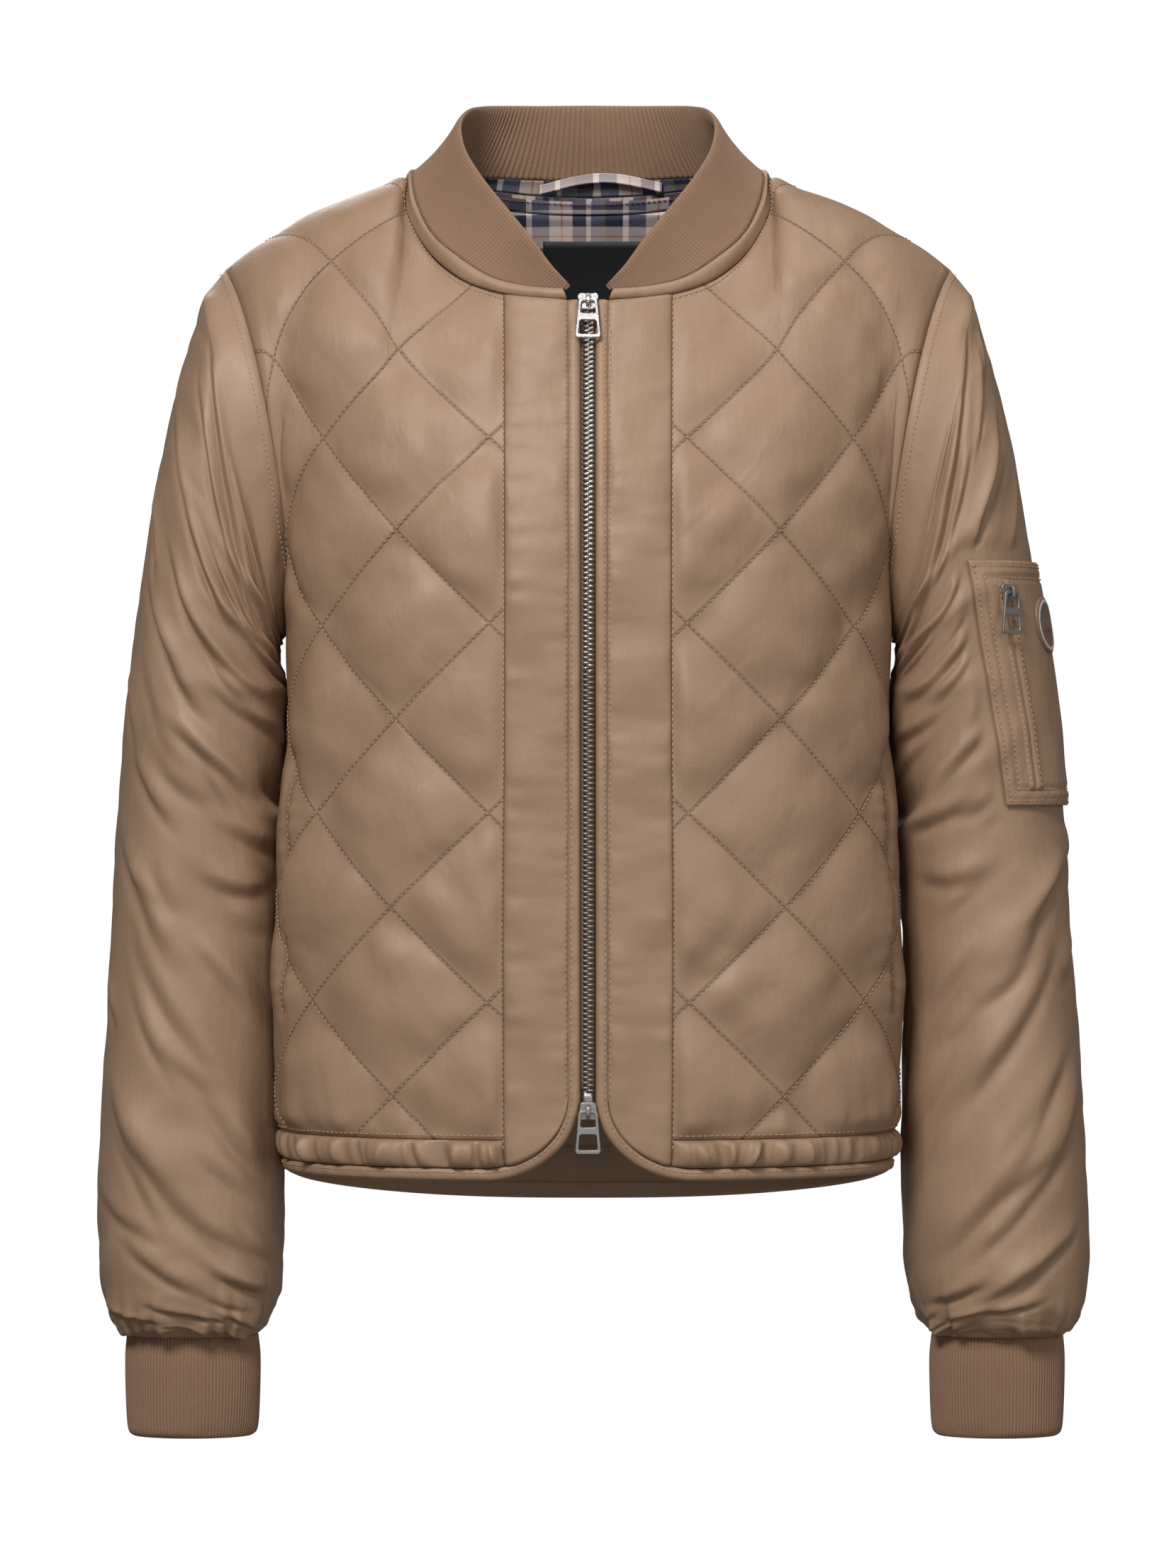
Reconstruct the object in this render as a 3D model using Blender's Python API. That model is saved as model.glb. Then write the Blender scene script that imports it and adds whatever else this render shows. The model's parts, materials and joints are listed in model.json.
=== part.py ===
"""Quilted bomber jacket, filled out as if worn, built from the pieces a maker would cut and sew.

Lengths are in millimetres until a mesh is made. +X is the wearer's left, -Y is the front, +Z is up.
The origin is the middle of the neck base, level with the shoulder seams' neck ends.
"right" and "left" are the wearer's.

Every cloth piece is a wall between an outer and an inner surface. Both come from a few forms:
the torso (sections up to the underarm, then cloth lines up to the neck and shoulder seams), the
sleeve (rings down the arm), the collar and the cuff. A place on the torso is given along the
cloth: "across" from the centre line to the side seam, and "up" from the underarm line.
"""

import math

import bpy
import numpy as np
from mathutils import Matrix

MM = 0.001
GAP = 0.3  # clearance between two pieces that touch
WALL = 4.0  # cloth, wadding and lining together, at a stitch line
RIGHT, LEFT = -1, 1
FRONT, BACK = -1, 1

# ---------------------------------------------------------------- torso sizes
SIDE_SEAM = 240.0  # across the cloth, from the centre line
UNDERARM_Z = -260.5
SECTION_POWER = 2.35  # 2 is an ellipse, more is squarer

TORSO_SECTIONS = (
    # z, half width, depth of the front, depth of the back
    (-600.0, 171.0, 113.0, 108.0),
    (-566.0, 173.0, 115.0, 109.0),
    (-545.0, 175.0, 118.0, 110.0),
    (-490.0, 175.5, 120.0, 108.0),
    (-450.0, 176.0, 121.0, 106.0),
    (-393.0, 174.0, 122.0, 105.0),
    (-336.0, 169.5, 123.0, 107.0),
    (UNDERARM_Z, 167.5, 124.0, 112.0),
)

# Where the cloth lines end above the underarm: along the neck seam, then the shoulder seam.
# The leans are the line's angles from upright where it starts and ends, and slack is how far it
# bows between them.
FRONT_TOP = (
    # across, x, y, z, start lean, end lean, slack
    (0.0, 0.0, -87.0, -80.0, 4.0, 20.0, 1.0),
    (18.5, 19.0, -86.0, -79.3, 4.0, 20.0, 1.0),
    (37.0, 37.5, -82.0, -77.5, 4.0, 22.0, 1.0),
    (55.5, 55.5, -75.0, -73.5, 4.0, 26.0, 1.0),
    (74.0, 73.5, -63.5, -65.0, 4.0, 33.0, 1.0),
    (92.5, 90.5, -44.0, -48.5, 4.0, 44.0, 1.0),
    (111.0, 103.5, -18.5, -23.0, 4.0, 58.0, 1.0),
    (129.5, 105.0, 5.0, -2.0, 4.0, 74.0, 1.05),
    (148.0, 123.0, 5.5, -9.0, 4.0, 80.0, 1.1),
    (166.5, 141.0, 5.0, -17.0, 5.0, 82.0, 1.1),
    (185.0, 158.5, 4.5, -25.0, 8.0, 82.0, 1.1),
    (203.5, 175.5, 3.5, -33.5, 15.0, 80.0, 1.15),
    (222.0, 192.0, 2.0, -43.0, 28.0, 76.0, 1.2),
    (SIDE_SEAM, 207.0, 0.0, -55.0, 50.0, 68.0, 1.3),
)
BACK_TOP = (
    # across, x, y, z, start lean, end lean, slack
    (0.0, 0.0, 72.0, -5.0, 6.0, 34.0, 1.0),
    (18.5, 18.5, 71.0, -4.5, 6.0, 34.0, 1.0),
    (37.0, 37.0, 68.0, -3.5, 6.0, 36.0, 1.0),
    (55.5, 55.0, 62.0, -2.0, 6.0, 40.0, 1.0),
    (74.0, 71.5, 53.0, -1.0, 6.0, 46.0, 1.0),
    (92.5, 86.0, 41.0, 0.0, 6.0, 54.0, 1.0),
    (111.0, 97.5, 25.0, 0.0, 6.0, 64.0, 1.0),
    (129.5, 105.0, 5.0, -2.0, 6.0, 76.0, 1.05),
    (148.0, 123.0, 5.5, -9.0, 6.0, 80.0, 1.1),
    (166.5, 141.0, 5.0, -17.0, 6.0, 82.0, 1.1),
    (185.0, 158.5, 4.5, -25.0, 9.0, 82.0, 1.1),
    (203.5, 175.5, 3.5, -33.5, 16.0, 80.0, 1.15),
    (222.0, 192.0, 2.0, -43.0, 28.0, 76.0, 1.2),
    (SIDE_SEAM, 207.0, 0.0, -55.0, 50.0, 68.0, 1.3),
)
NECK_END = 129.5  # across: where the neck seam turns into the shoulder seam
SEAM_TURN = 83.0  # across: from here on the top seam turns to point straight down
SPREAD = 0.75  # share of a line's sideways travel that its last stretch has
ARMHOLE_STEPS = 10  # rows of points up each armhole edge
ARMHOLE_HEART = (145.0, 0.0, -175.0)  # the seam allowances of an armhole point here

# ---------------------------------------------------------------- quilting
QUILT_ACROSS = 55.5  # half a diamond, across
QUILT_UP = 52.25  # half a diamond, up
QUILT_CROSSING_Z = -365.0  # a crossing of the lines that is one half diamond from the centre
PUFF = 6.0  # how far a diamond's middle stands out
SIDE_CALM = 48.0  # the puffs die away over this distance before the side seam
CELLS = 3  # grid cells to half a diamond
CELL_ACROSS = QUILT_ACROSS / CELLS
CELL_UP = QUILT_UP / CELLS

# ---------------------------------------------------------------- front edge, bands and hem
TEETH_HALF = 3.1
EDGE = 4.2  # the front edge stands this far from the centre line
BINDING = 6.8  # width of the bound edge
BAND_EDGE = 47.0  # the quilting ends at this line of stitching
CORNER_ACROSS, CORNER_Z = 60.0, -522.0  # centre of the rounded front corner
HEM_Z = -568.0
BACK_DROP = 25.0  # the hem hangs lower at the centre back
TUNNEL_TOP_Z = -545.0
TUNNEL_FOOT_Z = -561.5
GATHERS = 12  # folds of the hem tunnel on each quarter of the jacket
GATHER_HEIGHT = 2.2
TUNNEL_PUFF = 3.2
BAND_ROWS = 12
BAND_PUFF = 1.6
BINDING_RISE = 1.3

# ---------------------------------------------------------------- sleeves
SLEEVE_POINTS = 2 * ARMHOLE_STEPS
SLEEVE_WALL = 4.5
SLEEVE_POWER = 2.15
SLEEVE_RINGS = (
    # outer x, outer z, inner x, inner z, half depth, middle y, lean to the wearer's left
    (219.0, -70.0, 173.0, -263.5, 60.0, 1.0, 0.0),
    (226.0, -93.0, 175.5, -267.0, 63.0, 2.0, 0.0),
    (235.0, -124.0, 176.5, -272.0, 65.0, 4.0, 0.0),
    (243.5, -160.0, 176.5, -279.0, 65.0, 6.0, 0.0),
    (250.5, -200.0, 176.0, -288.0, 64.0, 8.0, 0.0),
    (257.5, -245.0, 175.0, -300.0, 63.0, 11.0, 0.2),
    (264.0, -290.0, 176.0, -322.0, 62.0, 14.0, 0.6),
    (269.0, -335.0, 178.0, -352.0, 60.5, 17.0, 1.2),
    (272.5, -380.0, 181.0, -388.0, 59.5, 19.0, 1.5),
    (275.0, -425.0, 182.5, -428.0, 59.0, 20.0, 1.8),
    (277.5, -470.0, 183.0, -470.0, 58.5, 20.0, 2.1),
    (280.5, -515.0, 182.5, -515.0, 58.0, 19.0, 2.4),
    (283.0, -560.0, 181.0, -560.0, 57.0, 18.0, 2.7),
    (284.0, -600.0, 179.0, -600.0, 55.0, 17.0, 3.0),
    (283.0, -632.0, 179.5, -630.0, 52.0, 16.0, 3.5),
    (279.5, -651.0, 184.0, -649.0, 46.0, 16.0, 4.0),
    (274.5, -660.0, 189.5, -659.0, 39.0, 16.0, 4.0),
    (269.0, -664.0, 194.0, -664.0, 30.5, 16.0, 4.0),
)
SLEEVE_FOLDS = (
    # ring, angle from the outer side towards the front, height, half length, half width, slant
    (3.0, 128.0, 4.5, 46.0, 9.0, -0.55),
    (4.6, 118.0, 4.0, 50.0, 10.0, -0.50),
    (6.2, 122.0, 3.5, 44.0, 10.0, -0.40),
    (7.8, 100.0, 3.0, 40.0, 11.0, 0.35),
    (10.4, 95.0, 3.0, 45.0, 12.0, 0.50),
    (12.6, 60.0, 3.0, 45.0, 12.0, 0.55),
    (5.4, -120.0, 4.0, 48.0, 10.0, 0.45),
    (8.2, -100.0, 3.5, 45.0, 11.0, -0.40),
    (11.2, -90.0, 3.0, 45.0, 12.0, -0.50),
    (13.4, -60.0, 2.5, 40.0, 12.0, 0.45),
)
SLEEVE_ROWS = (0, 1, 2, 3, 4, 5, 6, 7.5, 9, 10.5, 12, 13.5, 15, 16, 17, 18)

CUFF_WALL = 2.4
CUFF_RINGS = (
    # z, half width, half depth
    (-664.3, 37.4, 26.2),
    (-680.0, 38.6, 27.4),
    (-714.0, 37.6, 26.4),
    (-722.0, 35.2, 24.0),
)
CUFF_X, CUFF_Y, CUFF_LEAN = 231.0, 16.0, 4.0

# ---------------------------------------------------------------- collar and piping
COLLAR_WALL = 3.2
COLLAR_LINES = (
    # share of the way from centre front to centre back; the seam's x, y, z; the top edge's x, y, z;
    # how far the collar's middle stands out from the straight line between them
    (0.00, 12.0, -84.5, -73.0, 10.0, -84.0, -71.0, 0.0),
    (0.08, 35.0, -80.0, -70.7, 20.5, -81.0, -59.5, 1.0),
    (0.18, 55.0, -72.5, -65.0, 32.5, -74.5, -43.0, 3.0),
    (0.28, 74.0, -60.0, -52.0, 46.5, -63.0, -25.0, 4.0),
    (0.38, 88.3, -43.0, -38.0, 59.5, -50.0, -8.0, 4.5),
    (0.48, 97.0, -23.0, -20.0, 70.0, -34.0, 10.0, 4.5),
    (0.57, 100.5, -4.0, -4.0, 73.0, -12.0, 27.0, 4.5),
    (0.66, 98.0, 16.0, 3.5, 69.5, 9.0, 38.0, 4.5),
    (0.75, 86.0, 36.0, 4.5, 62.0, 30.0, 42.5, 4.0),
    (0.84, 64.0, 53.0, 4.2, 46.0, 46.0, 44.5, 3.0),
    (0.92, 33.0, 63.5, 3.6, 25.0, 56.5, 45.5, 2.5),
    (1.00, 0.0, 67.0, 3.2, 0.0, 60.0, 46.0, 2.5),
)
PIPING_RISE = 2.0  # the rolled edge stands this much proud
PIPING_DEPTH = 3.4  # and reaches this far in at its middle

# ---------------------------------------------------------------- inside the back
LINING_FOOT = 95.0  # above the underarm line; no lining shows further down
LINING_WALL = 1.0
INSIDE_GAP = 1.0  # between the back's own facets and what lies on them
TAPE_DEPTH = 9.0
FACING_TOP_Z = -500.0
LABEL = (66.0, 48.0)  # width, height
LABEL_TOP_Z = -28.0
LABEL_X = 6.0  # its middle, towards the wearer's left
LOOP_FROM, LOOP_TO = -26.0, 43.0  # x of the hanger loop's ends
LOOP_WIDTH, LOOP_RISE = 6.5, 11.0
LOOP_IN, LOOP_SEWN = 6.4, 7.0  # its ends: in from the neck edge, and down from it

# ---------------------------------------------------------------- zip
ZIP_TOP_Z, ZIP_END_Z, PIN_END_Z = -80.0, -517.0, -533.0
TEETH_DEPTH = (-5.0, -1.6)  # below the cloth's outer face
TAPE_LEVEL = (-5.6, -4.7)
TOP_SLIDER_Z, BOTTOM_SLIDER_Z = -81.5, -528.5
PLATE_LEVEL = (1.7, 3.5)  # the slider's front plate, above the cloth
BAIL_FOOT, BAIL_TOP = 3.2, 8.0
SLIDER_PLATE = (
    (-4.2, -5.0), (4.2, -5.0), (5.0, 0.5), (6.2, 3.6),
    (5.2, 5.0), (-5.2, 5.0), (-6.2, 3.6), (-5.0, 0.5),
)
PULL_AXIS = 5.1  # the pull's top bar turns here, above the cloth
PULL_LENGTH, PULL_THICK = 24.4, 1.6
PULL_TOP_HALF, PULL_FOOT_HALF = 5.2, 7.3

# ---------------------------------------------------------------- sleeve pocket, wearer's left
PATCH_ANGLES = (88.0, -22.0)  # from the front edge, round the outer side, to the back edge
PATCH_TWIST = -8.0  # how far its foot is turned to the outer side
PATCH_TOP_Z, PATCH_FOOT_Z = -223.0, -361.0
PATCH_THICK = 1.2
PATCH_OFF = 1.6  # over the sleeve's facets
WELT_ANGLE = (66.0, 58.0)  # at its top and foot
WELT_TOP_Z, WELT_FOOT_Z = -234.0, -352.0
WELT_HALF, WELT_THICK = 5.4, 1.6
BADGE_ANGLE, BADGE_Z, BADGE_RADIUS, BADGE_THICK = 24.0, -259.0, 16.0, 3.0
SLEEVE_RADIUS = 58.0  # roughly, where the pocket lies
POCKET_SLIDER_DROP = 7.0

# ---------------------------------------------------------------- materials
COLOURS = {
    # name: red, green, blue, roughness, metallic
    "shell": (0.33, 0.21, 0.14, 0.42, 0.0),
    "rib_knit": (0.24, 0.14, 0.075, 0.85, 0.0),
    "zip_tape": (0.25, 0.16, 0.10, 0.8, 0.0),
    "zip_metal": (0.55, 0.54, 0.52, 0.25, 1.0),
    "gunmetal": (0.16, 0.155, 0.15, 0.3, 1.0),
    "lining": (0.35, 0.36, 0.42, 0.6, 0.0),
    "label": (0.012, 0.012, 0.014, 0.5, 0.0),
    "badge": (0.36, 0.22, 0.14, 0.5, 0.0),
}


# ================================================================ helpers
def smooth(rows, key):
    """A table's other columns at this value of its first one, on a curve through the rows."""
    table = np.array(rows, float)
    keys = table[:, 0]
    key = min(max(key, keys[0]), keys[-1])
    i = min(int(np.searchsorted(keys, key, side="right")) - 1, len(keys) - 2)
    span = keys[i + 1] - keys[i]
    t = (key - keys[i]) / span

    def slope(k):
        low, high = max(k - 1, 0), min(k + 1, len(keys) - 1)
        return (table[high] - table[low]) / (keys[high] - keys[low])

    row = (
        (2 * t**3 - 3 * t**2 + 1) * table[i]
        + (t**3 - 2 * t**2 + t) * span * slope(i)
        + (3 * t**2 - 2 * t**3) * table[i + 1]
        + (t**3 - t**2) * span * slope(i + 1)
    )
    return row[1:]


def unit(vector):
    return vector / np.linalg.norm(vector)


def material(name):
    """A plain Principled material of the piece's colour."""
    found = bpy.data.materials.get(name)
    if found:
        return found
    red, green, blue, roughness, metallic = COLOURS[name]
    made = bpy.data.materials.new(name)
    made.use_nodes = True
    shader = made.node_tree.nodes["Principled BSDF"]
    shader.inputs["Base Color"].default_value = (red, green, blue, 1.0)
    shader.inputs["Roughness"].default_value = roughness
    shader.inputs["Metallic"].default_value = metallic
    made.diffuse_color = (red, green, blue, 1.0)
    return made


def enclosed_volume(mesh):
    """The volume inside a closed mesh, negative where its faces point inwards."""
    mesh.calc_loop_triangles()
    total = 0.0
    for triangle in mesh.loop_triangles:
        a, b, c = (mesh.vertices[i].co for i in triangle.vertices)
        total += a.dot(b.cross(c)) / 6
    return total


def add_object(name, points, faces, look, matrix=None):
    """A mesh object from points in millimetres, smooth shaded but for its sharp edges."""
    mesh = bpy.data.meshes.new(name)
    mesh.from_pydata([tuple(np.asarray(p) * MM) for p in points], [], faces)
    mesh.validate()
    if enclosed_volume(mesh) < 0:
        mesh.flip_normals()
    mesh.materials.append(material(look))
    mesh.shade_smooth()
    mesh.set_sharp_from_angle(angle=math.radians(50))
    made = bpy.data.objects.new(name, mesh)
    bpy.context.scene.collection.objects.link(made)
    if matrix is not None:
        made.matrix_world = matrix
    return made


def cloth(name, columns, look, wrap=False):
    """A wall from columns of (outer point, inner point, height along the column).

    Neighbouring columns may have different numbers of points. They are joined row by row, and
    each pair of rows is split along the diagonal with the lower outer points, so that a line of
    quilting stays a straight valley.
    """
    starts, points, heights = [], [], []
    for column in columns:
        starts.append(len(points))
        points += [row[0] for row in column]
        heights += [row[2] for row in column]
    count = len(points)
    thick = [np.linalg.norm(row[0] - row[1]) for column in columns for row in column]
    points += [row[1] for column in columns for row in column]
    sheet = []
    pairs = [(i, i + 1) for i in range(len(columns) - 1)]
    if wrap:
        pairs.append((len(columns) - 1, 0))
    for first, second in pairs:
        a, b = starts[first], starts[second]
        a_end, b_end = a + len(columns[first]) - 1, b + len(columns[second]) - 1
        while a < a_end or b < b_end:
            both = a < a_end and b < b_end
            if both and abs(heights[a + 1] - heights[b + 1]) < CELL_UP * 0.35:
                if thick[a] + thick[b + 1] <= thick[b] + thick[a + 1]:
                    sheet += [(a, b, b + 1), (a, b + 1, a + 1)]
                else:
                    sheet += [(a, b, a + 1), (b, b + 1, a + 1)]
                a, b = a + 1, b + 1
            elif b >= b_end or (both and heights[a + 1] < heights[b + 1]):
                sheet.append((a, b, a + 1))
                a += 1
            else:
                sheet.append((a, b, b + 1))
                b += 1
    faces = list(sheet) + [(x + count, z + count, y + count) for x, y, z in sheet]
    lows = starts
    highs = [start + len(column) - 1 for start, column in zip(starts, columns)]
    if wrap:
        loops = [lows + lows[:1], (highs + highs[:1])[::-1]]
    else:
        right_side = list(range(lows[-1], highs[-1] + 1))
        left_side = list(range(highs[0], lows[0] - 1, -1))
        loops = [lows[:-1] + right_side + highs[-2::-1] + left_side[1:]]
    for loop in loops:
        for here, there in zip(loop, loop[1:]):
            faces.append((there, here, here + count, there + count))
    return add_object(name, points, faces, look)


def local_frame(origin, across, outward):
    """A placement: local x runs across, local y up along the cloth, local z out of it."""
    across = unit(across)
    outward = unit(outward - across * outward.dot(across))
    up = np.cross(outward, across)
    matrix = np.identity(4)
    matrix[:3, 0], matrix[:3, 1], matrix[:3, 2] = across, up, outward
    matrix[:3, 3] = np.asarray(origin) * MM
    return Matrix(matrix.tolist())


def outline_slab(outline, low, high):
    """Points and faces of an upright slab from an outline that runs anticlockwise."""
    n = len(outline)
    points = [(x, y, low) for x, y in outline] + [(x, y, high) for x, y in outline]
    faces = [tuple(range(n))[::-1], tuple(range(n, 2 * n))]
    faces += [(i, (i + 1) % n, (i + 1) % n + n, i + n) for i in range(n)]
    return points, faces


def box_outline(x_from, x_to, y_from, y_to):
    return [(x_from, y_from), (x_to, y_from), (x_to, y_to), (x_from, y_to)]


def join_solids(target, tools):
    """Boolean unions of the tools into the target; the tools are removed."""
    for tool in tools:
        union = target.modifiers.new("union", "BOOLEAN")
        union.operation = "UNION"
        union.solver = "EXACT"
        union.object = tool
    bpy.context.view_layer.update()
    result = bpy.data.meshes.new_from_object(
        target.evaluated_get(bpy.context.evaluated_depsgraph_get())
    )
    target.modifiers.clear()
    target.data = result
    for tool in tools:
        bpy.data.objects.remove(tool)


# ================================================================ torso form
def quarter_arc(half_width, depth, across):
    """x and y on a quarter of a section, by distance along the cloth from the centre line."""
    angles = np.linspace(0.0, math.pi / 2, 61)
    xs = half_width * np.sin(angles) ** (2 / SECTION_POWER)
    ys = depth * np.cos(angles) ** (2 / SECTION_POWER)
    steps = np.hypot(np.diff(xs), np.diff(ys))
    travelled = np.concatenate([[0.0], np.cumsum(steps)]) / steps.sum() * SIDE_SEAM
    return np.interp(across, travelled, xs), np.interp(across, travelled, ys)


def section_point(face, across, z):
    half_width, front, back = smooth(TORSO_SECTIONS, z)
    x, y = quarter_arc(half_width, front if face == FRONT else back, across)
    return np.array([x, face * y, z])


LINE_CACHE = {}


def cloth_line(face, across):
    """The line above the underarm at this place across: its points and their distances up."""
    key = (face, round(across, 4))
    if key not in LINE_CACHE:
        x, y, z, start_lean, end_lean, slack = smooth(FRONT_TOP if face == FRONT else BACK_TOP, across)
        start, end = section_point(face, across, UNDERARM_Z), np.array([x, y, z])
        reach = np.linalg.norm(end - start) * slack
        a, b = math.radians(start_lean), math.radians(end_lean)
        leave = reach * np.array([0.0, face * math.sin(a), math.cos(a)])
        arrive = reach * np.array([0.0, -face * math.sin(b), math.cos(b)])
        arrive[0] = (end[0] - start[0]) * (1 + SPREAD)
        t = np.linspace(0.0, 1.0, 81)[:, None]
        points = (
            (2 * t**3 - 3 * t**2 + 1) * start
            + (t**3 - 2 * t**2 + t) * leave
            + (3 * t**2 - 2 * t**3) * end
            + (t**3 - t**2) * arrive
        )
        steps = np.linalg.norm(np.diff(points, axis=0), axis=1)
        LINE_CACHE[key] = points, np.concatenate([[0.0], np.cumsum(steps)])
    return LINE_CACHE[key]


def top_of(face, across):
    """How far above the underarm line the cloth ends here."""
    return cloth_line(face, abs(across))[1][-1]


def torso(face, across, up):
    """A point of the torso's form. A negative across is on the wearer's right."""
    side = -1 if across < 0 else 1
    across = min(abs(across), SIDE_SEAM)
    if up <= 0:
        point = section_point(face, across, UNDERARM_Z + up)
    else:
        points, distances = cloth_line(face, across)
        point = np.array([np.interp(up, distances, points[:, k]) for k in range(3)])
    return point * (side, 1, 1)


def torso_out(face, across, up, reach=3.0):
    """The outward direction of the torso's form."""
    limit = top_of(face, across)
    low, high = max(up - reach, up - 2 * reach), min(up + reach, limit)
    low = min(low, high - reach)
    left, right = max(across - reach, -SIDE_SEAM), min(across + reach, SIDE_SEAM)
    along = torso(face, right, min(up, top_of(face, right))) - torso(face, left, min(up, top_of(face, left)))
    upward = torso(face, across, high) - torso(face, across, low)
    return unit(np.cross(along, upward) * (-face))


def seam_in(face, across, up):
    """The inward direction at a point of a panel, turned to its neighbour's where two panels meet."""
    side = -1 if across < 0 else 1
    out = torso_out(face, across, up)
    if abs(across) > SIDE_SEAM - 1:
        if up < -1:
            return np.array([-side, 0.0, 0.0])
        heart = np.array(ARMHOLE_HEART) * (side, 1, 1)
        return unit(heart - torso(face, across, up))
    if up > top_of(face, across) - 1 and abs(across) > SEAM_TURN:
        share = min((abs(across) - SEAM_TURN) / (NECK_END - SEAM_TURN), 1.0)
        return unit(-out * (1 - share) + np.array([0.0, 0.0, -share]))
    return -out


def puff_height(across, up):
    """How far the quilting stands out: nothing on its diagonal lines, most inside a diamond."""
    a = abs(across) / QUILT_ACROSS
    b = (UNDERARM_Z + up - QUILT_CROSSING_Z) / QUILT_UP
    rise = abs(math.sin(math.pi * (a + b - 1) / 2) * math.sin(math.pi * (a - b - 1) / 2))
    near_side = min(1.0, (SIDE_SEAM - abs(across)) / SIDE_CALM)
    return PUFF * rise**0.6 * near_side


def back_drop(across):
    """How much lower the back's hem hangs at this place than the front's."""
    return BACK_DROP * math.cos(math.pi / 2 * (abs(across) / SIDE_SEAM) ** 1.3)


def panel_foot(face, across):
    """The line where a panel meets the hem tunnel, as a height above the underarm."""
    drop = 0.56 * back_drop(across) if face == BACK else 0.0
    return TUNNEL_TOP_Z - UNDERARM_Z - drop


def tunnel_foot(face, across):
    drop = 0.86 * back_drop(across) if face == BACK else 0.0
    return TUNNEL_FOOT_Z - UNDERARM_Z - drop


def hem_foot(face, across):
    drop = back_drop(across) if face == BACK else 0.0
    return HEM_Z - UNDERARM_Z - drop


def row_heights(foot, top, at_armhole):
    """Heights of a column's points: its foot, the quilting's grid rows, and its top."""
    if at_armhole:
        upper = [top * k / ARMHOLE_STEPS for k in range(ARMHOLE_STEPS + 1)]
    else:
        between = [CELL_UP * k for k in range(1, 99) if CELL_UP * k < top - CELL_UP * 0.5]
        upper = [0.0] + between + [top]
    lower = [-CELL_UP * k for k in range(1, 99) if -CELL_UP * k > foot + CELL_UP * 0.5]
    return [foot] + lower[::-1] + upper


def panel_column(face, across, quilted_edge):
    """One column of a quilted panel. An edge column lies in a seam and has no puffs."""
    at_side = abs(across) > SIDE_SEAM - 1
    top = top_of(face, across) - GAP / 2
    foot = panel_foot(face, across) + GAP / 2
    heights = row_heights(foot, top, at_side)
    column = []
    for up in heights:
        point = torso(face, across, up)
        inward = seam_in(face, across, up)
        if at_side:
            point = point + np.array([0.0, face * GAP / 2, 0.0])
        flat = quilted_edge or up in (foot, top)
        rise = 0.0 if flat else puff_height(across, up)
        column.append((point - inward * rise, point + inward * WALL, up))
    return column


def front_panel(side, name):
    across = [BAND_EDGE + GAP / 2]
    across += [QUILT_ACROSS + CELL_ACROSS * k for k in range(10)]
    across += [SIDE_SEAM - 0.01]
    columns = []
    for k, place in enumerate(across):
        columns.append(panel_column(FRONT, side * place, k in (0, len(across) - 1)))
    cloth(name, columns, "shell")


def back_panel():
    half = [CELL_ACROSS * k for k in range(13)] + [SIDE_SEAM - 0.01]
    across = [-a for a in half[:0:-1]] + half
    columns = [panel_column(BACK, a, abs(a) > SIDE_SEAM - 1) for a in across]
    cloth("back", columns, "shell")


# ================================================================ bands, binding, hem
def corner_z(across, inset):
    """Height of the rounded front corner's edge, drawn in by inset."""
    wide = CORNER_ACROSS - EDGE - inset
    tall = CORNER_Z - HEM_Z - inset
    reach = min(max(CORNER_ACROSS - across, 0.0) / wide, 1.0)
    return CORNER_Z - tall * math.sqrt(max(1 - reach**2, 0.0))


def band_places():
    """Where the band's columns lie, closer together beside the rounded corner."""
    low, high = EDGE + BINDING + GAP / 2, BAND_EDGE - GAP / 2
    return [low + (high - low) * (k / 5) ** 1.35 for k in range(6)]


def front_band(side, name):
    """The plain strip between the zip's bound edge and the quilting, cut round at its foot."""
    columns = []
    for k, across in enumerate(band_places()):
        foot = corner_z(across, BINDING + 3 * GAP) - UNDERARM_Z
        top = top_of(FRONT, across) - GAP / 2
        column = []
        for row in range(BAND_ROWS):
            up = foot + (top - foot) * row / (BAND_ROWS - 1)
            edge = k in (0, 5) or row in (0, BAND_ROWS - 1)
            rise = 0.0 if edge else BAND_PUFF
            point = torso(FRONT, side * across, up)
            inward = seam_in(FRONT, side * across, up)
            column.append((point - inward * rise, point + inward * WALL, row * CELL_UP))
        columns.append(column)
    cloth(name, columns, "shell")


def binding_path():
    """The bound edge from the neck down, round the corner and along the hem to the side seam.

    Each entry holds the outer edge's and the inner edge's places, as across and height.
    """
    path = []
    top = UNDERARM_Z + top_of(FRONT, EDGE + BINDING) + 5.0
    straight = 16
    for k in range(straight):
        z = top + (CORNER_Z - top) * k / straight
        path.append(((EDGE, z), (EDGE + BINDING, z)))
    for k in range(9):
        angle = math.radians(90 * k / 8)
        ends = []
        for inset in (0.0, BINDING):
            wide, tall = CORNER_ACROSS - EDGE - inset, CORNER_Z - HEM_Z - inset
            ends.append((CORNER_ACROSS - wide * math.cos(angle), CORNER_Z - tall * math.sin(angle)))
        path.append(tuple(ends))
    for k in range(1, 13):
        across = CORNER_ACROSS + (SIDE_SEAM - 0.01 - CORNER_ACROSS) * k / 12
        path.append(((across, HEM_Z), (across, HEM_Z + BINDING)))
    return path


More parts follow.
